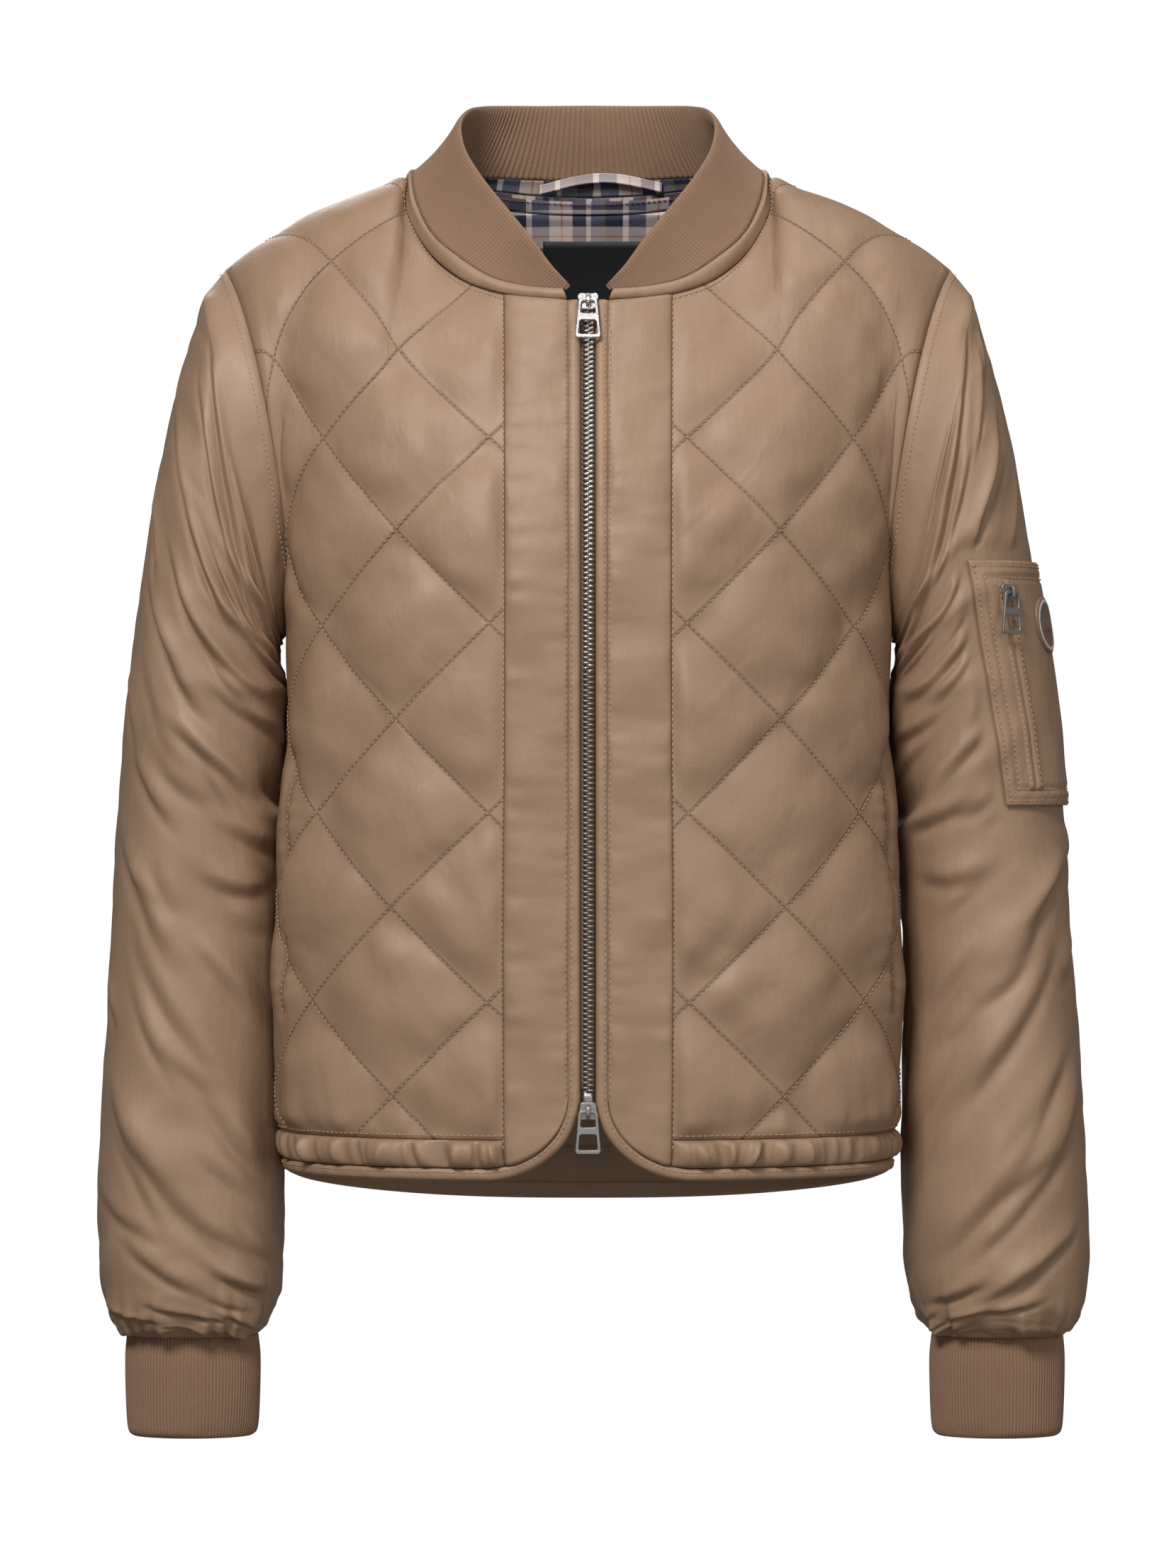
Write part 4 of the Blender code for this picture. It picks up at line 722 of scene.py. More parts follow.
# ================================================================ relief of the cloth
@dataclass(frozen=True)
class Fold:
    """One soft crease, placed as listed: a ridge with a trough below it.

    Attributes:
        u: Its middle along the cloth's first direction, in millimetres.
        v: Its middle along the second direction.
        height: Height of the ridge.
        length: Half its length.
        width: Half its width.
        slant: How far it turns from the first direction towards the second.
        bend: How far its ends droop, in widths.
    """

    u: float
    v: float
    height: float
    length: float
    width: float
    slant: float
    bend: float = 0.0

    def relief(self, u: Array, v: Array, around: float = 0.0) -> Array:
        """Its height at places on the cloth; a span around joins the first direction's ends."""
        beside = u - self.u
        if around:
            beside = (beside + around / 2) % around - around / 2
        down = v - self.v
        turn = math.atan(self.slant)
        along = (beside * math.cos(turn) + down * math.sin(turn)) / self.length
        over = (down * math.cos(turn) - beside * math.sin(turn)) / self.width + self.bend * along**2
        ridge = np.where(over > 0, np.exp(-((over / 0.75) ** 2)), 1.0 / (1.0 + over**2 * 0.7))
        trough = 0.5 * np.exp(-(((over - 1.35) / 0.55) ** 2))
        return self.height * (ridge - trough) * np.exp(-np.abs(along) ** 2.4)


@dataclass(frozen=True)
class Quilting:
    """The diamonds of the quilted panels: puffs, drawn stitch lines and the puckers beside them.

    Attributes:
        seed: The seed of the unevenness.
        folds: The panel's own folds, by signed place across and height up.
    """

    seed: int
    folds: Sequence[Fold]
    SLOPE = math.hypot(1 / QUILT_ACROSS, 1 / QUILT_UP)

    def puckers(self, share: Array, travelled: Array, seed: int) -> Array:
        """Short creases square to one family of stitch lines.

        Args:
            share: Place between the family's lines; whole numbers are lines.
            travelled: Distance along the lines, in millimetres.
            seed: The seed.

        Returns:
            Heights in millimetres.
        """
        from_line = share - np.round(share)
        distance = np.abs(from_line) * 2 / self.SLOPE
        shift = np.where(from_line > 0, 37.3, 0.0) + np.round(share) * 19.7
        fine = ripple(travelled / 8.0 + shift, seed) * np.exp(-distance / 8.0)
        broad = ripple(travelled / 17.0 + shift * 1.7, seed + 1) * np.exp(-distance / 24.0)
        return (0.45 * fine + 1.5 * broad) * (1 - np.exp(-distance / 4.0))

    def relief(self, across: Array, ups: Array) -> Array:
        """How far the padded cloth stands out from the form, by place."""
        side = np.abs(across)
        a = side / QUILT_ACROSS
        b = (UNDERARM_Z + ups - QUILT_CROSSING_Z) / QUILT_UP
        p, q = (a + b - 1) / 2, (a - b - 1) / 2
        lean = np.where(across < 0, 500.0, 0.0)
        full = 1 + 0.16 * cloud(np.floor(p) + lean / 10, np.floor(q) + 7.0, self.seed + 3)
        between = (np.sin(np.pi * p) * np.sin(np.pi * q)) ** 2
        rise = ((between + 0.006) ** 0.24 - 0.293) / 0.707 * PUFF * full
        rise += self.puckers(p, (a - b) / self.SLOPE + lean, self.seed)
        rise += self.puckers(q, (a + b) / self.SLOPE + lean, self.seed + 10)
        lift = np.clip(rise / 3.0, 0.0, 1.0)
        rise += lift * 1.5 * cloud((across + 260.0) / 24.0, (ups + 340.0) / 20.0, self.seed + 20)
        for fold in self.folds:
            rise += fold.relief(across, ups) * (0.35 + 0.65 * lift)
        calm = np.clip((SIDE_SEAM - side) / SIDE_CALM, 0.0, 1.0) ** 0.85
        return rise * calm + 2.6 * settle(side, 150.0, 188.0)


class SleeveCloth:
    """A sleeve's form together with its creases."""

    def __init__(self, side: Side, seed: int) -> None:
        """Places the folds; the other sleeve's lie a little differently.

        Args:
            side: The wearer's side.
            seed: The seed of the fine unevenness.
        """
        self.side = side
        self.seed = seed
        self.form = Sleeve(side)
        chance = np.random.default_rng(seed)
        self.large = [self.placed(row, (0.0, 0.0, 1.0)) for row in SLEEVE_FOLDS]
        self.creases = []
        for row in FRONT_CREASES + BACK_CREASES + tuple(self.scattered(chance)):
            shift = chance.normal(0.0, (0.22, 7.0, 0.16)) if side is Side.RIGHT else (0.0, 0.0, 0.0)
            self.creases.append(self.placed(row, (shift[0], shift[1], 1.0 + shift[2])))

    @staticmethod
    def placed(row: Sequence[float], shift: Sequence[float]) -> Fold:
        """A fold of the table, moved by rings and degrees, and grown."""
        ring, angle, height, length, width, slant = row[:6]
        bend = row[6] if len(row) > 6 else 0.0
        u, v = (angle + shift[1]) / 360.0 * ROUND, (ring + shift[0]) * RING
        return Fold(u, v, height * shift[2] * CREASE_GAIN, length, width, slant, bend)

    def large_relief(self, angles: Array, rings: Array) -> Array:
        """The largest folds, as the frame has them."""
        total = np.zeros(np.broadcast(angles, rings).shape)
        for ring, angle, height, length, width, slant in SLEEVE_FOLDS:
            along = np.radians((angles - angle + 180.0) % 360.0 - 180.0) * SLEEVE_RADIUS
            down = (rings - ring) * RING
            total += height * np.exp(
                -(((along + slant * down) / length) ** 2) - ((down - slant * along) / width) ** 2
            )
        return total

    def under_patch(self, angles: Array, rings: Array) -> Array:
        """1 where the pocket's patch lies, fading to 0 beside it."""
        if self.side is Side.RIGHT:
            return np.zeros(np.broadcast(angles, rings).shape)
        z = self.form.points(angles, rings)[..., 2]
        share = np.clip((z - PATCH_FOOT_Z) / (PATCH_TOP_Z - PATCH_FOOT_Z), 0.0, 1.0)
        turn = (angles + 180.0) % 360.0 - 180.0 - PATCH_TWIST * (1 - share)
        inside = settle(turn, PATCH_ANGLES[1] - 14.0, PATCH_ANGLES[1] - 4.0)
        inside *= 1 - settle(turn, PATCH_ANGLES[0] + 4.0, PATCH_ANGLES[0] + 14.0)
        return inside * settle(z, PATCH_FOOT_Z - 16.0, PATCH_FOOT_Z - 4.0) * (
            1 - settle(z, PATCH_TOP_Z + 4.0, PATCH_TOP_Z + 16.0)
        )

    @staticmethod
    def scattered(chance: np.random.Generator) -> list[tuple[float, ...]]:
        """Rows of small creases that run from the outer side down towards the inner side."""
        rows = []
        for way in (1, -1):
            for place in np.arange(1.5, 17.2, 0.42):
                ring, angle = place + chance.normal(0.0, 0.15), way * chance.uniform(28.0, 150.0)
                height, length = chance.uniform(1.0, 2.3), chance.uniform(13.0, 27.0)
                width, slant = chance.uniform(4.6, 6.8), way * chance.uniform(0.35, 1.35)
                rows.append((ring, angle, height, length, width, slant, chance.uniform(-0.3, 0.5)))
        return rows

    def relief(self, angles: Array, rings: Array) -> Array:
        """How far the cloth stands out from the form at each angle and ring."""
        angles, rings = np.broadcast_arrays(np.asarray(angles, float), np.asarray(rings, float))
        u, v = angles / 360.0 * ROUND, rings * RING
        large = self.large_relief(angles, rings)
        fine = np.zeros(u.shape)
        for fold in self.creases:
            fine += fold.relief(u, v, ROUND)
        slanted = v + 0.45 * ROUND / (2 * math.pi) * np.sin(np.radians(angles)) * 2.0
        soft = cloud(u / ROUND * 61.0 / 5.0, slanted / 21.0, self.seed)
        thin = cloud(u / ROUND * 61.0 / 4.0 + slanted / 90.0, slanted / 9.0, self.seed + 1)
        fine += 0.9 * soft + 0.3 * thin
        fine += 1.1 * ripple(u / 7.5, self.seed + 2) * np.exp(-((rings / 0.55) ** 2))
        gathers = ripple(u / 6.0, self.seed + 3) + 0.6 * ripple(u / 13.0 + v / 60.0, self.seed + 4)
        fine += 2.1 * gathers * settle(rings, 14.6, 17.0)
        quiet = self.under_patch(angles, rings)
        total = large + fine * (1 - quiet)
        from_outer = np.abs((angles + 180.0) % 360.0 - 180.0)
        fullness = 4.0 * settle(from_outer, 105.0, 165.0) * settle(rings, 3.5, 6.5)
        total = total + fullness * (1 - settle(rings, 12.0, 15.0))
        deepest = SLEEVE_WALL - 1.0
        sunk = -deepest * (1 - np.exp(np.minimum(total, 0.0) / deepest))
        total = np.where(total > 0, total, sunk)
        return total * settle(rings, 0.0, SEWN_RINGS) * (1 - settle(rings, 17.3, 18.0))

    def surface(self, angles: Array, rings: Array, level: float | Array = 0.0) -> Array:
        """Points on the outer face of the sleeve, raised by a level."""
        rise = self.relief(angles, rings) + level
        base, out = self.turned(angles, rings)
        return base + out * rise[..., None]

    def turned(self, angles: Array, rings: Array) -> tuple[Array, Array]:
        """The form's points and outward directions, which fan out where the sleeve is sewn in."""
        base, out = self.form.points(angles, rings), self.form.out(angles, rings)
        share = settle(SEWN_RINGS - np.asarray(rings, float), 0.0, SEWN_RINGS)[..., None]
        if np.any(share > 0):
            out = unit(out * (1 - share) + unit(base - armhole_heart(self.side.value)) * share)
        return base, out

    def place(self, angles: Array, zs: Array, level: float | Array) -> Array:
        """Points over the sleeve at these angles and heights, raised by a level."""
        angles, zs = np.broadcast_arrays(np.asarray(angles, float), np.asarray(zs, float))
        rings = self.form.ring_at(angles, zs)
        rise = (self.relief(angles, rings) + level)[..., None]
        return self.form.points(angles, rings) + self.form.out(angles, rings) * rise

    def frame(self, angle: float, z: float, level: float) -> Matrix:
        """A placement there: local x round the sleeve, local y up, local z outward."""
        at, height = np.array([angle]), np.array([z])
        out = self.form.out(at, self.form.ring_at(at, height))[0]
        return local_frame(self.place(at, height, level)[0], np.cross((0.0, 0.0, 1.0), out), out)


def local_frame(origin: Array, across: Array, outward: Array) -> Matrix:
    """A placement: local x runs across, local y up along the cloth, local z out of it."""
    across = unit(np.asarray(across, float))
    outward = unit(outward - across * float(np.dot(outward, across)))
    matrix = np.identity(4)
    matrix[:3, 0], matrix[:3, 1], matrix[:3, 2] = across, np.cross(outward, across), outward
    matrix[:3, 3] = np.asarray(origin) * MM
    return Matrix(matrix.tolist())


# ================================================================ sewn pieces
@dataclass
class Looks:
    """The finishes of the jacket, made once."""

    shell: bpy.types.Material
    quilted: bpy.types.Material
    lining: bpy.types.Material
    knit: bpy.types.Material
    tape: bpy.types.Material
    thread: bpy.types.Material
    red_thread: bpy.types.Material
    silver: bpy.types.Material
    gunmetal: bpy.types.Material
    label: bpy.types.Material
    badge: bpy.types.Material
    badge_ring: bpy.types.Material
    dark: bpy.types.Material


@dataclass
class Piece:
    """One sewn piece: how it is made and what it stands for.

    Attributes:
        name: The piece's name.
        node: The frame's node that it stands for.
        slot: The record's material slot; not used.
        wall: Its two grids of points.
        looks: Its outer and inner materials.
        cut: Width and length of its cloth in metres; not used.
        held: How the sheet is held; not used.
        area: The cut's flat area in square metres where it isn't a rectangle; not used.
    """

    name: str
    node: str
    slot: str
    wall: Wall
    looks: Sequence[bpy.types.Material]
    cut: tuple[float, float]
    held: str = "hung"
    area: float | None = None

    def add(self) -> bpy.types.Object:
        """Builds the piece and hands it to the frame."""
        thing = self.wall.build(self.name, self.looks)
        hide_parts(self.node)
        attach(thing, "jacket")
        LOG.info("%s: %d triangles", self.name, len(thing.data.polygons))
        return thing


def spread(low: float, high: float, step: float) -> Array:
    """Even places from low to high, about a step apart."""
    return np.linspace(low, high, max(int(round(abs(high - low) / step)) + 1, 2))


@dataclass
class TorsoPieces:
    """The quilted panels, the plain front bands, the bound edges and the hem's tunnel."""

    looks: Looks
    tunnel_puff: float = 3.2  # how far each piece's cloth swells out
    binding_rise: float = 1.3
    band_puff: float = 1.6
    lining_foot: float = 95.0  # down the back from the neck seam
    tape_depth: float = 9.0  # of the tape below the neck seam, inside
    facing_top_z: float = -500.0  # of the hem's facing inside the back
    quilting = {
        Face.FRONT: Quilting(11, [Fold(*row) for row in FRONT_FOLDS]),
        Face.BACK: Quilting(41, [Fold(*row) for row in BACK_FOLDS]),
    }

    def wall(
        self,
        face: Face,
        across: Array,
        foot: Callable[[float], float],
        top: Callable[[float], float],
        rise: Callable[[Array, Array], Array],
        step: float,
        seam: Callable[[Array, Array], Array] | None = None,
    ) -> Wall:
        """A wall on the torso's form.

        Args:
            face: The half of the torso.
            across: Its columns' places, signed.
            foot: The height of its lower edge at a place.
            top: The height of its upper edge.
            rise: How far it stands out, from places across and up.
            step: The length of a grid cell up the cloth.
            seam: How near a place is to stitching, from 0 to 1; the satin's colour is darkened
                there as painted shade.

        Returns:
            The wall.
        """
        tall = max(top(a) - foot(a) for a in across)
        rows = max(int(round(tall / step)) + 1, 3)
        ups = np.array([np.linspace(foot(a), top(a), rows) for a in across])
        wide = np.repeat(across[:, None], rows, axis=1)
        base, inward = TORSO.grid(face, across, ups)
        edge = np.clip(np.abs(wide) - SIDE_SEAM + 1.0, 0.0, 1.0)
        base[..., 1] += face.value * GAP / 2 * edge
        raised = rise(wide, ups)[..., None]
        flat = np.stack([wide + (0 if face is Face.FRONT else BACK_AWAY), ups], axis=-1)
        near = None if seam is None else seam(wide, ups)
        return Wall(base - inward * raised, base + inward * WALL, flat, seam=near, block=4)

    @staticmethod
    def from_edges(wide: Array, ups: Array, face: Face) -> Array:
        """0 at a panel's edges and 1 a little way in."""
        foot = panel_feet(face, wide[:, 0])[:, None]
        top = TORSO.tops(face, wide[:, 0])[:, None]
        inside = settle(ups - foot, 0.0, 11.0) * settle(top - ups, 0.0, 9.0)
        inside = inside * (0.22 + 0.78 * settle(top - ups, 0.0, 120.0))
        inside = inside * settle(SIDE_SEAM - np.abs(wide), 0.0, 9.0)
        if face is Face.FRONT:
            inside = inside * settle(np.abs(wide) - BAND_EDGE, 0.0, 8.0)
        return inside**0.6

    def pocket_seam(self, wide: Array, ups: Array) -> Array:
        """The drawn cloth along the stitched opening of a side pocket."""
        z = UNDERARM_Z + ups
        along = settle(z, POCKET_FOOT_Z - 8.0, POCKET_FOOT_Z + 2.0)
        along *= 1 - settle(z, POCKET_TOP_Z - 2.0, POCKET_TOP_Z + 8.0)
        beside = np.abs(np.abs(wide) - POCKET_ACROSS)
        drawn = -2.6 * np.exp(-((beside / 4.5) ** 2))
        pucker = 1.5 * ripple(ups / 4.5 + np.sign(np.abs(wide) - POCKET_ACROSS) * 90.0, 77)
        return along * (drawn + pucker * np.exp(-beside / 9.0) * (1 - np.exp(-beside / 2.0)))

    @staticmethod
    def drawn_foot(wide: Array, ups: Array, face: Face) -> Array:
        """Upright puckers where the drawcord gathers a panel's foot."""
        foot = panel_feet(face, wide[:, 0])[:, None]
        lean = wide + 0.25 * (ups - foot) * ripple(wide / 31.0 + 40.0, 58)
        waves = 1.7 * ripple(lean / 6.2 + 50.0, 56) + 1.4 * ripple(lean / 11.0 + 50.0, 59)
        return waves * np.exp(-(ups - foot) / 17.0)

    @staticmethod
    def panel_ends(face: Face) -> tuple[Callable[[float], float], Callable[[float], float]]:
        """Where a panel starts above its tunnel and ends below the shoulder or neck."""
        return lambda a: panel_foot(face, a) + GAP / 2, lambda a: TORSO.top(face, a) - GAP / 2

    def panels(self) -> list[Piece]:
        """The two front panels and the back."""
        made = []
        step = QUILT_ACROSS / 20
        for side in Side:
            low, high = BAND_EDGE, LAST_PLACE
            between = QUILT_ACROSS + step * np.arange(-3, 66)
            across = side.value * np.concatenate([[low], between, [high]])
            across = across[(np.abs(across) >= low) & (np.abs(across) <= high)]

            def rise(wide: Array, ups: Array) -> Array:
                """The front's quilting, drawn in at its seams and pocket."""
                inside = self.from_edges(wide, ups, Face.FRONT)
                relief = self.quilting[Face.FRONT].relief(wide, ups) + self.pocket_seam(wide, ups)
                return inside * (relief + self.drawn_foot(wide, ups, Face.FRONT))

            def seam(wide: Array, ups: Array) -> Array:
                """The pocket's line, where the satin's colour is darkened as painted shade."""
                z = UNDERARM_Z + ups
                near = np.exp(-np.abs(np.abs(wide) - POCKET_ACROSS) / 1.3)
                return near * ((z > POCKET_FOOT_Z - 2.0) & (z < POCKET_TOP_Z + 2.0))

            foot, top = self.panel_ends(Face.FRONT)
            wall = self.wall(Face.FRONT, across, foot, top, rise, QUILT_UP / 20, seam)
            looks = [self.looks.quilted, self.looks.lining]
            name, node = f"front_panel_{side.word}", f"front_{side.word}"
            made.append(Piece(name, node, "shell", wall, looks, (0.205, 0.500), area=0.094))
        half = np.append(step * np.arange(0, 87), LAST_PLACE)
        across = np.concatenate([-half[:0:-1], half])

        def back_rise(wide: Array, ups: Array) -> Array:
            """The back's quilting, drawn in at its seams."""
            inside = self.from_edges(wide, ups, Face.BACK)
            relief = self.quilting[Face.BACK].relief(wide, ups)
            return inside * (relief + self.drawn_foot(wide, ups, Face.BACK))

        foot, top = self.panel_ends(Face.BACK)
        wall = self.wall(Face.BACK, across, foot, top, back_rise, QUILT_UP / 20)
        made.append(Piece("back_panel", "back", "shell", wall, looks, (0.490, 0.520), area=0.228))
        return made

    def bands(self) -> list[Piece]:
        """The plain strips between the zip's bound edges and the quilting."""
        made = []
        low, high = EDGE + BINDING, BAND_EDGE
        for side in Side:
            across = side.value * (low + (high - low) * np.linspace(0, 1, 25) ** 1.1)

            def rise(wide: Array, ups: Array) -> Array:
                """A soft swell with puckers along both stitched edges."""
                from_low, from_high = np.abs(wide) - low, high - np.abs(wide)
                swell = (1 - np.exp(-from_low / 3.5)) * (1 - np.exp(-from_high / 3.5))
                swell = self.band_puff * swell
                shift = 300.0 * side.value
                by_zip = ripple(ups / 5.0 + shift, 91) * np.exp(-from_low / 7.0)
                by_quilting = ripple(ups / 6.0 + shift, 92) * np.exp(-from_high / 9.0)
                broad = cloud((np.abs(wide) + 9) / 22.0 + shift, ups / 27.0 + 20.0, 93)
                return swell * (1.0 + 0.9 * by_zip + 1.0 * by_quilting + 1.0 * broad)

            def foot(a: float) -> float:
                """Its lower edge, above the rounded corner's binding."""
                return corner_z(abs(a), BINDING + GAP) - UNDERARM_Z

            def seam(wide: Array, ups: Array) -> Array:
                """The line where it meets the quilting, where the satin's colour is darkened as
                painted shade.
                """
                return 0.8 * np.exp(-(high - np.abs(wide)) / 1.2)

            top = self.panel_ends(Face.FRONT)[1]
            wall = self.wall(Face.FRONT, across, foot, top, rise, 2.6, seam)
            looks = [self.looks.shell, self.looks.lining]
            name, node = f"front_strip_{side.word}", f"front_band_{side.word}"
            made.append(Piece(name, node, "shell", wall, looks, (0.038, 0.490)))
        return made

    @staticmethod
    def binding_path() -> Array:
        """The bound edge from the neck, round the corner and to the side seam.

        Returns:
            Rows of the outer edge's across and height and the inner edge's.
        """
        top = UNDERARM_Z + TORSO.top(Face.FRONT, EDGE)
        path = [(EDGE, z, EDGE + BINDING, z) for z in np.linspace(top, CORNER_Z, 150)[:-1]]
        for angle in np.radians(np.linspace(0.0, 90.0, 25)):
            row = []
            for inset in (0.0, BINDING):
                wide, tall = CORNER_ACROSS - EDGE - inset, CORNER_Z - HEM_Z - inset
                row += [
                    CORNER_ACROSS - wide * math.cos(angle),
                    CORNER_Z - tall * math.sin(angle),
                ]
            path.append(tuple(row))
        for across in np.linspace(CORNER_ACROSS, LAST_PLACE, 62)[1:]:
            path.append((across, HEM_Z, across, HEM_Z + BINDING))
        return np.array(path)

    def bound(self, face: Face, path: Array, seed: int) -> Wall:
        """A rolled strip of cloth along a path of edge pairs, signed across."""
        shares = np.linspace(0.0, 1.0, 9)
        outer, inner, flat = [], [], []
        travelled = 0.0
        last = None
        for row in path:
            wide = row[0] + (row[2] - row[0]) * shares
            ups = row[1] + (row[3] - row[1]) * shares - UNDERARM_Z
            points, inward = TORSO.places(face, wide, ups)
            points[:, 1] += face.value * GAP / 2 * np.clip(np.abs(wide) - SIDE_SEAM + 1.0, 0.0, 1.0)
            middle = points[4]
            travelled += 0.0 if last is None else float(np.linalg.norm(middle - last))
            last = middle
            roll = np.sin(np.pi * np.clip(shares, 0.0, 1.0)) ** 0.7
            wave = 1 + 0.35 * ripple(np.array([travelled / 5.5]), seed)[0]
            rise = self.binding_rise * roll * wave
            closed = 1.5 * np.clip(1 - shares / 0.2, 0.0, 1.0) ** 2
            outer.append(points - inward * (rise - closed)[:, None])
            inner.append(points + inward * (WALL - closed)[:, None])
            flat.append(np.column_stack([np.full(9, travelled), shares * BINDING]))
        return Wall(np.array(outer), np.array(inner), np.array(flat))

    def bindings(self) -> list[Piece]:
        """The bound front edges with their hems, and the back's hem."""
        made = []
        for side in Side:
            path = self.binding_path() * (side.value, 1, side.value, 1)
            wall = self.bound(Face.FRONT, path, 61 + side.value)
            name, node = f"bound_edge_{side.word}", f"front_binding_{side.word}"
            made.append(Piece(name, node, "shell", wall, [self.looks.shell], (0.0105, 0.725)))
        rows = []
        for across in np.linspace(-LAST_PLACE, LAST_PLACE, 161):
            low = hem_foot(Face.BACK, across) + UNDERARM_Z
            rows.append((across, low, across, tunnel_foot(Face.BACK, across) + UNDERARM_Z - GAP))
        wall = self.bound(Face.BACK, np.array(rows), 67)
        looks, size = [self.looks.shell], (0.0115, 0.480)
        return made + [Piece("bound_hem_back", "hem_binding_back", "shell", wall, looks, size)]

    def tunnels(self) -> list[Piece]:
        """The drawcord's tunnels: soft rolls with uneven gathers."""
        made = []
        for face, low, high, name in (
            (Face.FRONT, -LAST_PLACE, -BAND_EDGE - GAP / 2, "right"),
            (Face.FRONT, BAND_EDGE + GAP / 2, LAST_PLACE, "left"),
            (Face.BACK, -LAST_PLACE, LAST_PLACE, "back"),
        ):
            across = spread(low, high, 1.5)

            def rise(wide: Array, ups: Array) -> Array:
                """The roll and its gathers, which lean and fade unevenly."""
                share = (ups - ups[:, :1]) / (ups[:, -1:] - ups[:, :1])
                swell = np.sin(np.pi * share) ** 0.5
                lean = wide + 6.0 * (share - 0.5) * ripple(wide / 23.0, 53)
                gathers = ripple(lean / 6.2, 51) + 0.6 * ripple(lean / 3.1, 52)
                small = 0.8 * ripple(wide / 3.1, 54) * np.exp(-share * 5)
                small += 0.8 * ripple(wide / 3.3, 55) * np.exp(-(1 - share) * 5)
                ends = settle(wide - low, 0.0, 5.0) * settle(high - wide, 0.0, 5.0)
                return ends * swell * (self.tunnel_puff + 0.6 + 3.4 * gathers + small)

            def foot(a: float, face: Face = face) -> float:
                """Its lower edge, above the rounded corner's binding."""
                level = tunnel_foot(face, a) - GAP
                if face is Face.FRONT:
                    level = max(level, corner_z(abs(a), BINDING + 2 * GAP) - UNDERARM_Z)
                return level

            def top(a: float, face: Face = face) -> float:
                """Its upper edge, at the panel's foot."""
                return panel_foot(face, a) - GAP / 2

            wall = self.wall(face, across, foot, top, rise, 1.3)
            looks, size = [self.looks.shell], (0.48 if face is Face.BACK else 0.193, 0.022)
            node = f"hem_tunnel_{name}"
            made.append(Piece(f"drawn_hem_{name}", node, "shell", wall, looks, size))
        return made

    def inside_back(self) -> list[Piece]:
        """What shows inside the back: its lining, the neck's tape and the hem's facing."""
        made = []
        wide = CELL_ACROSS * 5
        top = lambda a: TORSO.top(Face.BACK, a) - 1.5  # noqa: E731
        for name, node, slot_name, look, low, high, reach, step in (
            ("inner_back", "back_lining", "lining", self.looks.lining,
             lambda a: self.lining_foot, lambda a: top(a) - self.tape_depth - GAP, wide, 4.0),
            ("inner_neck_tape", "neck_tape", "lining", self.looks.lining,
             lambda a: top(a) - self.tape_depth, top, wide, 2.0),
            ("inner_hem", "hem_facing_back", "shell", self.looks.shell,
             lambda a: panel_foot(Face.BACK, a) - 3.0, lambda a: self.facing_top_z - UNDERARM_Z,
             CELL_ACROSS * 12, 4.0),
        ):
            across = spread(-reach, reach, 4.0)
            tall = max(high(a) - low(a) for a in across)
            rows = max(int(round(tall / step)) + 1, 3)
            ups = np.array([np.linspace(low(a), high(a), rows) for a in across])
            base, inward = TORSO.grid(Face.BACK, across, ups)
            places = np.repeat(across[:, None], rows, axis=1)
            soft = 0.5 + 0.5 * cloud(places / 31.0 + 20.0, ups / 37.0 + 20.0, 71)
            depth = WALL + INSIDE_GAP + 0.7 * soft
            near, far = inward * depth[..., None], inward * (depth + LINING_WALL)[..., None]
            flat = np.stack([places + 40.0, ups], axis=-1)
            wall = Wall(base + near, base + far, flat)
            size = (2 * reach * MM, max(round(tall * MM, 3), 0.0101))
            made.append(Piece(name, node, slot_name, wall, [look], size))
        return made


